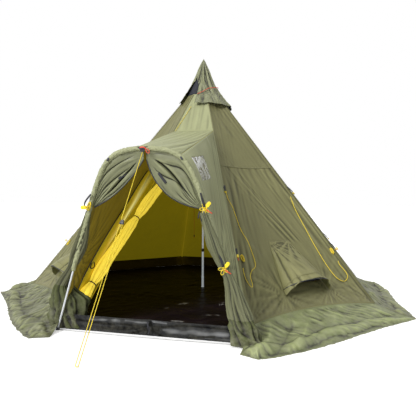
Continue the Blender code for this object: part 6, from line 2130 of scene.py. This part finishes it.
FRONT_GUY_Z = 1.438
FRONT_GUY_BEND_R = 0.011
FRONT_PEG = np.array((-0.254, -2.79, 0.0032))
SLIDER_ALONG = 0.36
SLIDER_HALF_L = 0.017
SLIDER_HALF_W = 0.019
SLIDER_HALF_T = 0.0055
CORD_LIE = 0.0008
CORD_SIDES = 10
CORD_STEP = 0.0035
CAP_GUY_R = 0.0022
CAP_GUY_TOP = np.array((-0.078, -0.352, 2.172))
CAP_GUY_LOW = np.array((-0.205, -0.566, 1.850))
PULL_CORD_R = 0.0018
PULL_CORD_X = -0.11
PULL_CORD_LOW_Z = 0.60
PULL_KNOT_H = 0.012
HANK_LOOPS = 2.5
HANK_LOOP_POINTS = 14
HANK_STEP = 0.0074
HANK_HALF_L = 0.025
HANK_HALF_W = 0.0082
HANK_SQUARE = 0.75
HANK_WAIST = 0.14
# The slack guys on the front right wall: metres right of its middle, and height
FRONT_RIGHT_GUY = (
    (-0.424, 1.160), (-0.440, 1.085), (-0.425, 1.009), (-0.431, 0.925), (-0.440, 0.826), (-0.435, 0.764),
    (-0.421, 0.698), (-0.424, 0.626), (-0.436, 0.545), (-0.462, 0.492), (-0.520, 0.462), (-0.560, 0.420),
    (-0.572, 0.372), (-0.585, 0.343), (-0.605, 0.352), (-0.618, 0.400), (-0.612, 0.455), (-0.600, 0.490),
)
RIGHT_GUY = (
    (0.395, 1.110), (0.378, 1.000), (0.380, 0.882), (0.383, 0.764), (0.386, 0.650), (0.395, 0.545),
    (0.405, 0.463), (0.424, 0.385), (0.456, 0.328), (0.515, 0.300), (0.575, 0.318), (0.603, 0.352),
    (0.594, 0.398), (0.575, 0.440), (0.583, 0.475),
)


def cord_piece(name, points, radius, finish):
    """A round braided cord along a list of points, with a smooth line between them."""
    fine = smooth_line(points, max(int(line_length(points) / CORD_STEP), 24))
    return tube(name, fine, radius, CORD_SIDES, finish), fine


def declare_cord(piece, node, slot):
    place(piece, "shell", slot, node)


def front_guy_line():
    start = np.array((-0.004, arch_y(FRONT_GUY_Z) - 2 * SLEEVE_R, FRONT_GUY_Z))
    return start, unit(FRONT_PEG - start)


def front_guy_points():
    start, down = front_guy_line()
    across = unit(np.cross(down, unit((0, -1, 0.6))))
    across = across if across[0] > 0 else -across
    length = np.linalg.norm(FRONT_PEG - start)
    turn = start + down * (length - FRONT_GUY_BEND_R - GUY_R)
    first = start + down * 0.0003
    points = [first + (turn - first) * step / 12 for step in range(12)]
    for step in range(9):
        angle = math.pi * step / 8
        swing = across * (1 - math.cos(angle)) + down * math.sin(angle)
        points.append(turn + swing * FRONT_GUY_BEND_R)
    slider_at = start + down * (length * SLIDER_ALONG)
    finish = slider_at + down * (SLIDER_HALF_L + 0.0003) + across * (2 * FRONT_GUY_BEND_R)
    low = points[-1]
    points += [low + (finish - low) * step / 8 for step in range(1, 9)]
    return np.array(points), slider_at, down, across


def plate(name, centre, ways, sections, powers, around, finish):
    """A moulded plate of rounded sections. The ways run along it, across it and out of it. The sections are
    their places along it, their half widths and half thicknesses. Powers under 1 make them squarer."""
    long_way, wide_way, front = ways
    along, half_w, half_t = (np.asarray(values)[:, None] for values in sections)
    angle = turns(around)[None, :]
    swing = np.sign(np.cos(angle)) * np.abs(np.cos(angle)) ** powers[0]
    rise = np.sign(np.sin(angle)) * np.abs(np.sin(angle)) ** powers[1]
    grid = np.asarray(centre) + long_way * along[..., None]
    grid = grid + wide_way * (half_w * swing)[..., None] + front * (half_t * rise)[..., None]
    return mesh_piece(name, grid.reshape(-1, 3), capped_faces(len(along), around), finish, sharp=50)


def slider_piece(centre, down, across):
    """The guy's moulded slider: a rounded, waisted plate with three low ribs. Both strands run through it."""
    along = np.linspace(-1, 1, 24)
    half_w = SLIDER_HALF_W * np.interp(along, (-1, -0.7, 0, 0.7, 1), (0.50, 0.64, 0.78, 0.98, 0.86))
    half_t = SLIDER_HALF_T * np.interp(along, (-1, -0.8, 0, 0.8, 1), (0.55, 0.9, 0.8, 0.95, 0.6))
    half_t = half_t * (1 + 0.10 * np.cos(9 * along))
    middle = centre + across * FRONT_GUY_BEND_R
    ways = (down, across, unit(np.cross(down, across)))
    sections = (along * SLIDER_HALF_L, half_w, half_t)
    piece = plate("guy_runner", middle, ways, sections, (0.55, 0.55), 32, "plastic")
    work = bmesh.new()
    work.from_mesh(piece.data)
    bmesh.ops.recalc_face_normals(work, faces=work.faces)
    work.to_mesh(piece.data)
    work.free()
    return piece


def hank_points(centre, long_way, wide_way):
    """Loops that spiral in on one layer, climb in the turn-round and spiral out again on the next."""
    thin = unit(np.cross(long_way, wide_way))
    steps = round(HANK_LOOPS * HANK_LOOP_POINTS)
    points = []
    for step in range(steps + 1):
        angle = 2 * math.pi * step / HANK_LOOP_POINTS
        loops_left = HANK_LOOPS / 2 - step / HANK_LOOP_POINTS
        grow = HANK_STEP * abs(loops_left)
        climb = min(max(0.5 - loops_left * 2, 0.0), 1.0)
        swing = math.copysign(abs(math.sin(angle)) ** HANK_SQUARE, math.sin(angle))
        waist = 1 - HANK_WAIST * math.sin(angle) ** 4
        points.append(centre + long_way * ((HANK_HALF_L + grow) * math.cos(angle))
                      + wide_way * ((HANK_HALF_W + grow / (1 - HANK_WAIST)) * swing * waist)
                      + thin * (HANK_STEP * (climb - 0.5)))
    return np.array(points)


def hank_at(node, centre, long_way, down):
    """A hank's points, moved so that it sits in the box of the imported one."""
    wide_way = unit(np.cross(down, long_way))
    points = hank_points(np.asarray(centre, float), long_way, wide_way)
    low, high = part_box(node)
    want = (np.array(low) + np.array(high)) / 2
    have = (points.min(0) + points.max(0)) / 2
    return points + (want - have)


class TENT_OT_cords(bpy.types.Operator):
    """Builds the guys, the pull cord and the hanks"""

    bl_idname = "tent.cords"
    bl_label = "Cords"

    def execute(self, context):
        points, slider_at, down, across = front_guy_points()
        piece, fine = cord_piece("front_guy_cord", points, GUY_R, "cord")
        runner = slider_piece(slider_at, down, across)
        place(runner, "guy_slider", "black_plastic", "front_guy_slider")
        declare_cord(piece, "front_guy", "yellow_cord")
        way = wall_way(SIDES - 1)
        base = outer_ridge(SIDES - 1, HEM_Z)
        ends = [point - way * ((point - base) @ way) + way * lift
                for point, lift in ((CAP_GUY_TOP, 0.008), (CAP_GUY_LOW, CAP_GUY_R + CORD_LIE))]
        points = [ends[0] + (ends[1] - ends[0]) * step / 10 for step in range(11)]
        piece, fine = cord_piece("cap_guy_cord", points, CAP_GUY_R, "cord")
        declare_cord(piece, "cap_guy", "yellow_cord")
        self.build_pull_cord()
        self.build_ridge_guys()
        self.build_hanks()
        return {"FINISHED"}

    def build_pull_cord(self):
        reach = (abs(PULL_CORD_X) + PULL_CORD_R + 0.0012 + SEAM_GAP) / math.cos(math.pi / SIDES)
        top_z = NET_TOP_Z
        while net_radius(top_z) < reach:
            top_z -= 0.0005
        points = [(PULL_CORD_X, 0, z) for z in np.linspace(top_z, PULL_CORD_LOW_Z, 24)]
        fine = evenly(points, 480)
        knotted = np.exp(-((fine[:, 2] - PULL_CORD_LOW_Z - PULL_KNOT_H * 0.4) / 0.005) ** 2)
        piece = tube("pull_cord", fine, PULL_CORD_R + 0.0024 * knotted, CORD_SIDES, "red_cord")
        toggle = self.build_toggle()
        declare_cord(piece, "vent_pull_cord", "red_cord")

    def build_toggle(self):
        """The toggle on the pull cord: a waisted moulding with four grooves."""
        low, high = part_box("vent_pull_toggle")
        stations = 40
        share = np.linspace(0, 1, stations)
        grooved = np.abs(np.sin(4 * math.pi * share)) > 0.93
        profile = 0.0066 + 0.0011 * np.cos(2 * math.pi * share) - 0.0006 * grooved
        profile = profile * np.clip(np.minimum(share, 1 - share) * 14, 0.55, 1)
        z = low[2] + (high[2] - low[2]) * share
        path = np.stack([np.full(stations, PULL_CORD_X), np.zeros(stations), z], -1)
        piece = tube("pull_toggle_grip", path, profile, 24, "plastic", sharp=35)
        return place(piece, "pull_toggle", "black_plastic", "vent_pull_toggle")

    def build_ridge_guys(self):
        surface = surface_of(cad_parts["outer_panel_front_right"])
        skin = surface_of(bpy.data.objects["front_right_wall"])
        down = -wall_way(0)
        for name, node, route in (
            ("slack_guy_front", "ridge_guy_front_right", FRONT_RIGHT_GUY),
            ("slack_guy_right", "ridge_guy_right", RIGHT_GUY),
        ):
            raw = smooth_line([vent_spot(0, across, z, 0.02) for across, z in route], 140)
            plain = laid_on(surface, raw, down, GUY_R + CORD_LIE)
            proud = laid_on(skin, raw, down, GUY_R)
            lift = np.maximum(((plain - proud) @ np.array(down)), 0)
            lift = np.convolve(np.pad(lift, 6, mode="edge"), np.ones(13) / 13, mode="valid")
            fine = evenly(plain - np.array(down) * lift[:, None], 380)
            piece = tube(name, fine, GUY_R, CORD_SIDES, "cord")
            declare_cord(piece, node, "yellow_cord")

    def build_hanks(self):
        back = np.array((0, 1.0, 0))
        inboard = unit((-0.88, 0.47, 0))
        for node, hand, z, down in (
            ("porch_hank_right", 1, BUCKLE_Z + 0.012, back),
            ("porch_hank_left", -1, BUCKLE_Z + 0.012, back),
            ("porch_hank_low", 1, 0.575, inboard),
        ):
            lean = unit(arch_at(hand, z) - arch_at(hand, z - 0.2))
            long_way = unit(lean - down * (lean @ down))
            self.build_hank(node, arch_at(hand, z) - down * 0.06, long_way, down)
        for node, side, across in (
            ("ridge_hank_front_right", 0, -0.565), ("ridge_hank_right", 0, 0.565),
            ("ridge_hank_left", SIDES - 2, -0.565),
        ):
            down = -wall_way(side)
            right = unit(outer_ridge(side + 1, 0.5) - outer_ridge(side, 0.5))
            self.build_hank(node, vent_spot(side, across, 0.565, 0.05), unit(np.cross(right, down)), down)

    def build_hank(self, node, centre, long_way, down):
        points = hank_at(node, centre, long_way, down)
        fine = smooth_line(points, 200)
        piece = tube(node + "_cord", fine, HANK_CORD_R, CORD_SIDES, "cord")
        declare_cord(piece, node, "yellow_cord")


# Stage

class TENT_OT_stage(bpy.types.Operator):
    """Builds the pale floor, the light and the camera"""

    bl_idname = "tent.stage"
    bl_label = "Stage"

    def execute(self, context):
        self.build_floor()
        self.build_light(context)
        self.build_camera()
        return {"FINISHED"}

    def build_floor(self):
        far = 60.0
        points = [(-far, -far, 0), (far, -far, 0), (far, far, 0), (-far, far, 0)]
        mesh_piece("studio_floor", points, [(0, 1, 2, 3)], "stage")

    def build_light(self, context):
        scene = context.scene
        light = scene.tent_light
        world = bpy.data.worlds.new("Studio")
        scene.world = world
        world.use_nodes = True
        tree = world.node_tree
        strength = ranged(tree, seen_straight(tree), to_range=(light.fill, 1.0))
        wire(tree, tree.nodes["Background"], Color=(1, 1, 1, 1), Strength=strength)
        for name, way, power, spread in (
            ("Main light", (-0.38, -0.78, 0.50), light.key, 0.35),
            ("Top light", (0.12, -0.10, 0.98), 0.8, 0.6),
        ):
            lamp = bpy.data.lights.new(name, "SUN")
            lamp.energy = power
            lamp.angle = spread
            holder = add_object(name, lamp)
            holder.rotation_mode = "QUATERNION"
            holder.rotation_quaternion = Vector(way).to_track_quat("Z", "Y")
        scene.view_settings.view_transform = "Standard"

    def build_camera(self):
        """The photograph's camera: its place, and its turn from the line to the pole."""
        bearing = 0.206
        distance = 5.586
        height = 1.100
        pan = 0.046
        pitch = 0.009
        roll = 0.005
        focal_px = 455.247
        centre_px = (182.132, 193.067)
        width_px = 416
        turn = bearing + pan
        flat = math.cos(pitch)
        forward = np.array((-math.sin(turn) * flat, math.cos(turn) * flat, math.sin(pitch)))
        right = unit(np.cross(forward, (0, 0, 1)))
        up = np.cross(right, forward)
        level = math.cos(roll) * right + math.sin(roll) * up
        upright = -math.sin(roll) * right + math.cos(roll) * up
        camera = bpy.data.cameras.new("Photograph's camera")
        camera.sensor_width = 36
        camera.lens = focal_px / width_px * 36
        camera.shift_x = (width_px / 2 - centre_px[0]) / width_px
        camera.shift_y = (centre_px[1] - width_px / 2) / width_px
        camera.clip_end = 200
        holder = add_object("Photograph's camera", camera)
        place_at = (distance * math.sin(bearing), -distance * math.cos(bearing), height)
        columns = (level, upright, -forward)
        rows = [(*(float(c[axis]) for c in columns), place_at[axis]) for axis in range(3)]
        holder.matrix_world = Matrix(rows + [(0, 0, 0, 1)])
        bpy.context.scene.camera = holder


# Rows of stitches and zip teeth, made with Geometry Nodes

ROW_SIZES = {"Spacing": 0.006, "Length": 0.004, "Width": 0.001, "Height": 0.0008}


def row_group():
    """Node group that sets one small shape after another along a line, its top turned outward."""
    found = bpy.data.node_groups.get("Row along a seam")
    if found:
        return found
    group = bpy.data.node_groups.new("Row along a seam", "GeometryNodeTree")
    sockets = group.interface
    sockets.new_socket(name="Line", in_out="INPUT", socket_type="NodeSocketGeometry")
    for label, value in ROW_SIZES.items():
        sockets.new_socket(name=label, in_out="INPUT", socket_type="NodeSocketFloat").default_value = value
    sockets.new_socket(name="Finish", in_out="INPUT", socket_type="NodeSocketMaterial")
    sockets.new_socket(name="Row", in_out="OUTPUT", socket_type="NodeSocketGeometry")
    given = group.nodes.new("NodeGroupInput").outputs
    leave = group.nodes.new("NodeGroupOutput")
    curve = add_node(group, "GeometryNodeMeshToCurve", Mesh=given["Line"]).outputs[0]
    evened = add_node(group, "GeometryNodeResampleCurve", {"mode": "LENGTH"},
                      Curve=curve, Length=given["Spacing"])
    shape = add_node(group, "GeometryNodeMeshUVSphere", Segments=6, Rings=4, Radius=0.5)
    outward = add_node(group, "GeometryNodeInputNamedAttribute", {"data_type": "FLOAT_VECTOR"}, Name="out")
    tangent = group.nodes.new("GeometryNodeInputTangent")
    turn = add_node(group, "FunctionNodeAxesToRotation", {"primary_axis": "Z", "secondary_axis": "X"},
                    n0=outward.outputs[0], n1=tangent.outputs[0])
    size = add_node(group, "ShaderNodeCombineXYZ", X=given["Length"], Y=given["Width"], Z=given["Height"])
    placed = add_node(group, "GeometryNodeInstanceOnPoints", Points=evened.outputs[0],
                      Instance=shape.outputs["Mesh"], Rotation=turn.outputs[0], Scale=size.outputs[0])
    real = add_node(group, "GeometryNodeRealizeInstances", n0=placed.outputs[0]).outputs[0]
    finished = add_node(group, "GeometryNodeSetMaterial", Geometry=real, Material=given["Finish"])
    wire(group, leave, Row=finished.outputs[0])
    return group


def row_of(name, lines, finish, spacing, size):
    """Stitches or teeth along lines of points, each line with its outward directions, as one plain mesh."""
    mesh = bpy.data.meshes.new(name + "_line")
    points = np.vstack([line for line, out in lines])
    outs = np.vstack([np.broadcast_to(unit(out), line.shape) for line, out in lines])
    edges = []
    start = 0
    for line, out in lines:
        edges += [(start + step, start + step + 1) for step in range(len(line) - 1)]
        start += len(line)
    mesh.from_pydata([tuple(p) for p in points], edges, [])
    layer = mesh.attributes.new("out", "FLOAT_VECTOR", "POINT")
    layer.data.foreach_set("vector", np.asarray(outs, np.float32).ravel())
    piece = add_object(name, mesh)
    rows = piece.modifiers.new("Row", "NODES")
    rows.node_group = row_group()
    material = finish_of(finish)
    values = dict(zip(ROW_SIZES, (spacing, *size)), Finish=material)
    for item in rows.node_group.interface.items_tree:
        if item.name in values:
            rows[item.identifier] = values[item.name]
    graph = bpy.context.evaluated_depsgraph_get()
    plain = bpy.data.meshes.new_from_object(piece.evaluated_get(graph))
    piece.modifiers.clear()
    piece.data = plain
    plain.materials.clear()
    plain.materials.append(material)
    bpy.data.meshes.remove(mesh)
    return piece


# Seams

def side_line(side, z_at, lift, count=200):
    """A level line across one outer face."""
    across = np.linspace(0.004, 0.996, count)
    z = z_at(across) if callable(z_at) else np.full(count, z_at)
    line = wall_point(outer_ridge, side, across, z, hem_height(across), WALL_TOP_Z, WALL_SAG)
    return line + wall_way(side) * lift


STITCH_OFFSET = 0.0042


class TENT_OT_seams(bpy.types.Operator):
    """Builds the folded seams on the ridges and the hem, and their stitches"""

    bl_idname = "tent.seams"
    bl_label = "Seams"

    def execute(self, context):
        strips = []
        rows = []
        for ridge in range(SIDES):
            line = outer_ridge(ridge, np.linspace(HEM_Z + 0.004, WALL_TOP_Z - 0.004, 260))
            out = ridge_out(ridge)
            line = line + out * SEAM_T
            strips.append(ribbon("ridge", line, out, 0.013, "seam", SEAM_T, 0.0, 4, 0.0022))
            beside = unit(np.cross(out, (0, 0, 1))) * STITCH_OFFSET
            rows += [(line + beside + out * 0.0026, out), (line - beside + out * 0.0026, out)]
        place(join(strips, "ridge_seams"), "shell", "olive_cloth")
        self.stitch("ridge_stitches", rows)
        rows = []
        bands = []
        for side in range(SIDES - 1):
            out = wall_way(side)
            rows.append((side_line(side, WALL_SEAM_Z - 0.004, 0.0030), out))
            rows.append((side_line(side, lambda across: hem_height(across) + 0.012, 0.0022), out))
        self.stitch("wall_stitches", rows)
        for side in range(SIDES - 1):
            line = side_line(side, lambda across: hem_height(across) + 0.004, 0.0016)
            out = wall_way(side)
            bands.append(ribbon("hem", line, out, 0.018, "seam", 0.0010, 0.0, 4, 0.0015))
        place(join(bands, "hem_binding"), "shell", "olive_cloth")
        return {"FINISHED"}

    def stitch(self, name, rows):
        length = bpy.context.scene.tent_cloth.stitch
        threads = row_of(name, rows, "thread", length * 2.6, (length * 1.4, 0.0011, 0.0008))
        place(threads, "shell", "olive_cloth")


# Tie points

def moulding(centre, long_way, wide_way, half_sizes, finish):
    """A small moulded plate with rounded edges, a little narrower at both ends."""
    half_l, half_w, half_t = half_sizes
    along = np.linspace(-1, 1, 22)
    ends = np.sqrt(np.clip(1 - np.abs(along) ** 6, 0.0, 1)) * 0.85 + 0.15
    wide = half_w * np.interp(along, np.linspace(-1, 1, 4), (0.8, 1.0, 1.0, 0.8)) * ends
    ways = (long_way, wide_way, unit(np.cross(long_way, wide_way)))
    return plate("moulding", centre, ways, (along * half_l, wide, half_t * ends), (0.5, 0.6), 28, finish)


def knot(centre, size, out, finish):
    """A tight knot of cord, about as wide as its size."""
    turn = np.linspace(0, 2 * math.pi, 90)
    side = unit(np.cross(out, (0, 0, 1)))
    up = np.cross(side, out)
    aside = np.outer(np.sin(turn) + 2 * np.sin(2 * turn), side)
    upward = np.outer(np.cos(turn) - 2 * np.cos(2 * turn), up)
    outward = np.outer(np.sin(3 * turn), np.asarray(out))
    path = (aside + upward - outward) * (size / 6) + np.asarray(centre)
    return tube("knot", path, GUY_R, 8, finish)


def loop_of(centre, way, out, length, width, radius, finish):
    """A loop of cord that leaves a knot and comes back to it."""
    turn = np.linspace(0, 2 * math.pi, 60)
    side = unit(np.cross(out, way))
    path = (np.asarray(centre) + np.outer((1 - np.cos(turn)) * length / 2, way)
            + np.outer(np.sin(turn) * width / 2 * (0.55 + 0.45 * (1 - np.cos(turn)) / 2), side)
            + np.outer(0.25 * width * np.sin(turn / 2), out))
    return tube("loop", path, radius, 8, finish)


RIDGE_TIE_HEIGHTS = (1.17, 0.60)
LOW_TIE_Z = 0.578
BUCKLE_PROUD = 0.034
RED_LOOP_AT = np.array((0.024, -2.222, 1.462))


def smooth_strip(knots, count, out, width, finish, thickness=WEBBING_T):
    """A short strip of webbing or tape, smooth through a few points."""
    return ribbon("strip", smooth_line(knots, count), out, width, finish, thickness)


class TENT_OT_tie_points(bpy.types.Operator):
    """Builds the webbing, knots, clamps and red pulls at the tie points, and the doors' straps"""

    bl_idname = "tent.tie_points"
    bl_label = "Tie points"

    def execute(self, context):
        self.tabs, self.knots, self.clamps, self.pulls = [], [], [], []
        for ridge in range(SIDES):
            for z in RIDGE_TIE_HEIGHTS:
                self.add_ridge_tie(ridge, z)
        self.add_right_buckle(BUCKLE_Z, BUCKLE_PROUD)
        self.add_right_buckle(LOW_TIE_Z, BUCKLE_PROUD + 0.020)
        self.add_left_buckle()
        loop = loop_of(RED_LOOP_AT, unit((0.5, 0, -0.6)), FRONT, 0.040, 0.026, 0.0032, "red_cord")
        steps = ((0, 0, 0), (-0.02, -0.008, 0.014), (-0.05, -0.004, 0.010))
        tail = [RED_LOOP_AT + np.array(step) for step in steps]
        self.pulls += [loop, smooth_strip(tail, 12, FRONT, 0.009, "red_tape")]
        for pieces, name, slot in (
            (self.tabs, "guy_tabs", "black_webbing"), (self.knots, "guy_knots", "yellow_cord"),
            (self.clamps, "guy_clamps", "yellow_cord"), (self.pulls, "red_pulls", "red_cord"),
        ):
            place(join(pieces, name), "shell", slot)
        self.build_straps()
        return {"FINISHED"}

    def add_ridge_tie(self, ridge, z):
        """A tab and a knot on a ridge, and at the low ones that show a red pull and a clamp."""
        out = ridge_out(ridge)
        down = unit(outer_ridge(ridge, 0.5) - outer_ridge(ridge, 0.6))
        top = outer_ridge(ridge, z + 0.045) + out * 0.004
        end = top + down * 0.085 + out * 0.012
        route = [top, (top + end) / 2 + out * 0.004, end]
        self.tabs.append(smooth_strip(route, 14, out, np.linspace(0.030, 0.010, 14), "webbing"))
        self.knots.append(knot(end + down * 0.006, 0.020, out, "cord"))
        if z < 1 and ridge in SEEN_SIDES:
            tail = end + down * 0.045 + out * 0.004 + ridge_way(ridge) * 0.02
            route = [end, end + down * 0.02 + out * 0.01, tail]
            self.pulls.append(smooth_strip(route, 12, out, 0.006, "red_tape", 0.0016))
            across = unit(np.cross(out, down))
            self.add_clamp(end + down * 0.004 + out * 0.016, down, across, (0.017, 0.010, 0.004))

    def add_clamp(self, centre, long_way, wide_way, half_sizes):
        self.clamps.append(moulding(centre, long_way, wide_way, half_sizes, "yellow_plastic"))

    def add_left_buckle(self):
        spot = arch_at(-1, BUCKLE_Z) + np.array((-0.006, -BUCKLE_PROUD, 0))
        lean = unit(arch_at(-1, BUCKLE_Z + 0.1) - arch_at(-1, BUCKLE_Z))
        side = np.array((-1.0, 0, 0))
        self.knots.append(knot(spot + FRONT * 0.010, 0.032, FRONT, "cord"))
        self.add_clamp(spot + side * 0.030 + FRONT * 0.008, side, unit((0, 0, 1)), (0.024, 0.015, 0.006))
        route = [spot + lean * 0.11, spot + lean * 0.05 + side * 0.030, spot + side * 0.028]
        self.tabs.append(smooth_strip(route, 20, unit(FRONT + side * 0.5), 0.016, "webbing"))

    def add_right_buckle(self, z, proud):
        spot = arch_at(1, z) + np.array((0.006, -proud, 0))
        lean = unit(arch_at(1, z + 0.1) - arch_at(1, z))
        side = np.array((1.0, 0, 0))
        route = [spot + lean * 0.125 - FRONT * 0.008, spot + lean * 0.06 + FRONT * 0.006, spot]
        widths = np.linspace(0.012, 0.022, 20)
        self.tabs.append(smooth_strip(route, 20, unit(FRONT + side * 0.5), widths, "webbing"))
        self.knots.append(knot(spot + FRONT * 0.010, 0.030, FRONT, "cord"))
        for way, length, width in ((-lean - side * 0.7, 0.048, 0.026), (-side - lean * 0.1, 0.042, 0.024),
                                   (side * 0.7 - lean, 0.034, 0.020)):
            self.knots.append(loop_of(spot, unit(way), FRONT, length, width, GUY_R, "cord"))
        flat_way = unit(side * 0.75 + lean * 0.75)
        across = unit(np.cross(flat_way, FRONT))
        self.add_clamp(spot + flat_way * 0.040 + FRONT * 0.010, flat_way, across, (0.024, 0.014, 0.004))
        pull = unit(side * 0.8 - lean * 0.7)
        route = [spot + FRONT * 0.008, spot + pull * 0.03 + FRONT * 0.014,
                 spot + pull * 0.062 + FRONT * 0.006]
        self.pulls.append(smooth_strip(route, 14, FRONT, 0.007, "red_tape"))

    def build_straps(self):
        """The short dark straps on the doors, the toggles at the arch's shoulders and the doors' piping."""
        straps, toggles, teeth = [], [], []
        for hand, word, low, high in (
            (-1, "left", (-0.217, 1.239), (-0.149, 1.293)), (1, "right", (0.105, 1.283), (0.165, 1.205)),
        ):
            surface = surface_of(bpy.data.objects["door_upper_" + word])
            raw = [np.array((x, -2.20, z)) for x, z in zip(np.linspace(low[0], high[0], 24),
                                                           np.linspace(low[1], high[1], 24))]
            line = laid_on(surface, raw, (0, 1, 0), 0.004)
            straight = line[0] + (line[-1] - line[0]) * np.linspace(0, 1, 24)[:, None]
            proud = max(float((straight[:, 1] - line[:, 1]).max()), 0.0) * 0.8
            line = straight - np.array((0, proud, 0))
            straps.append(ribbon("strap", line, (0, -1, 0.1), 0.020, "webbing", 0.0022))
            shoulder = arch_at(hand, SHOULDER_Z - 0.02) + np.array((0, -0.024, 0))
            ways = unit((hand * 0.5, 0, -0.8)), unit((0.8 * hand, 0, 0.5))
            toggles.append(moulding(shoulder, *ways, (0.016, 0.008, 0.005), "plastic"))
            base, t, share = flap_surface(hand)
            edge = smooth_line(raised(base, flap_folds(hand, t, share))[0][::4], 260)
            straps.append(tube("piping", edge, 0.0042, 8, "piping"))
            teeth.append((edge + np.array((0, -0.0045, 0)), FRONT))
        for offset, fall in ((0.0, 0.075), (-0.016, 0.052)):
            start = arch_at(1, BUCKLE_Z - 0.02) + np.array((-0.030 + offset, -0.030, 0))
            middle = start + np.array((-0.006, -0.006, -fall * 0.5))
            hang = [start, middle, start + np.array((offset * 0.6, 0, -fall))]
            straps.append(smooth_strip(hang, 16, (0.2, -1, 0), 0.009, "webbing"))
        place(join(straps, "door_straps"), "shell", "black_webbing")
        place(join(toggles, "shoulder_toggles"), "shell", "black_plastic")
        zip_teeth = row_of("door_zip_teeth", teeth, "teeth", ZIP_PITCH, (0.0036, 0.0052, 0.0018))
        place(zip_teeth, "shell", "black_plastic")


# Sidebar panel, registration and the run

OPERATORS = (
    TENT_OT_stage,
    TENT_OT_outer_walls,
    TENT_OT_vents,
    TENT_OT_cords,
    TENT_OT_skirt,
    TENT_OT_cap,
    TENT_OT_porch,
    TENT_OT_doors,
    TENT_OT_seams,
    TENT_OT_tie_points,
    TENT_OT_groundsheet,
    TENT_OT_inner_tent,
    TENT_OT_rolled_door,
    TENT_OT_inner_seams,
    TENT_OT_poles,
)


class TENT_PT_looks(bpy.types.Panel):
    """Lists the tent's pieces and their sizes and colours"""

    bl_idname = "TENT_PT_looks"
    bl_label = "Lavvu tent"
    bl_space_type = "VIEW_3D"
    bl_region_type = "UI"
    bl_category = "Tent"

    def draw(self, context):
        layout = self.layout
        for group in (context.scene.tent_cloth, context.scene.tent_colours, context.scene.tent_light):
            box = layout.box()
            for key in group.__annotations__:
                box.prop(group, key)
        for operator in OPERATORS:
            layout.operator(operator.bl_idname)


CLASSES = (TentCloth, TentColours, TentLight) + OPERATORS + (TENT_PT_looks,)


def register():
    for item in CLASSES:
        bpy.utils.register_class(item)
    bpy.types.Scene.tent_cloth = PointerProperty(type=TentCloth)
    bpy.types.Scene.tent_colours = PointerProperty(type=TentColours)
    bpy.types.Scene.tent_light = PointerProperty(type=TentLight)


def unregister():
    del bpy.types.Scene.tent_light
    del bpy.types.Scene.tent_colours
    del bpy.types.Scene.tent_cloth
    for item in reversed(CLASSES):
        bpy.utils.unregister_class(item)


def main():
    register()
    bpy.ops.tent.stage()
    bpy.ops.tent.outer_walls()
    bpy.ops.tent.vents()
    bpy.ops.tent.cords()
    bpy.ops.tent.skirt()
    bpy.ops.tent.cap()
    bpy.ops.tent.porch()
    bpy.ops.tent.doors()
    bpy.ops.tent.seams()
    bpy.ops.tent.tie_points()
    bpy.ops.tent.groundsheet()
    bpy.ops.tent.inner_tent()
    bpy.ops.tent.rolled_door()
    bpy.ops.tent.inner_seams()
    bpy.ops.tent.poles()


if __name__ == "__main__":
    main()
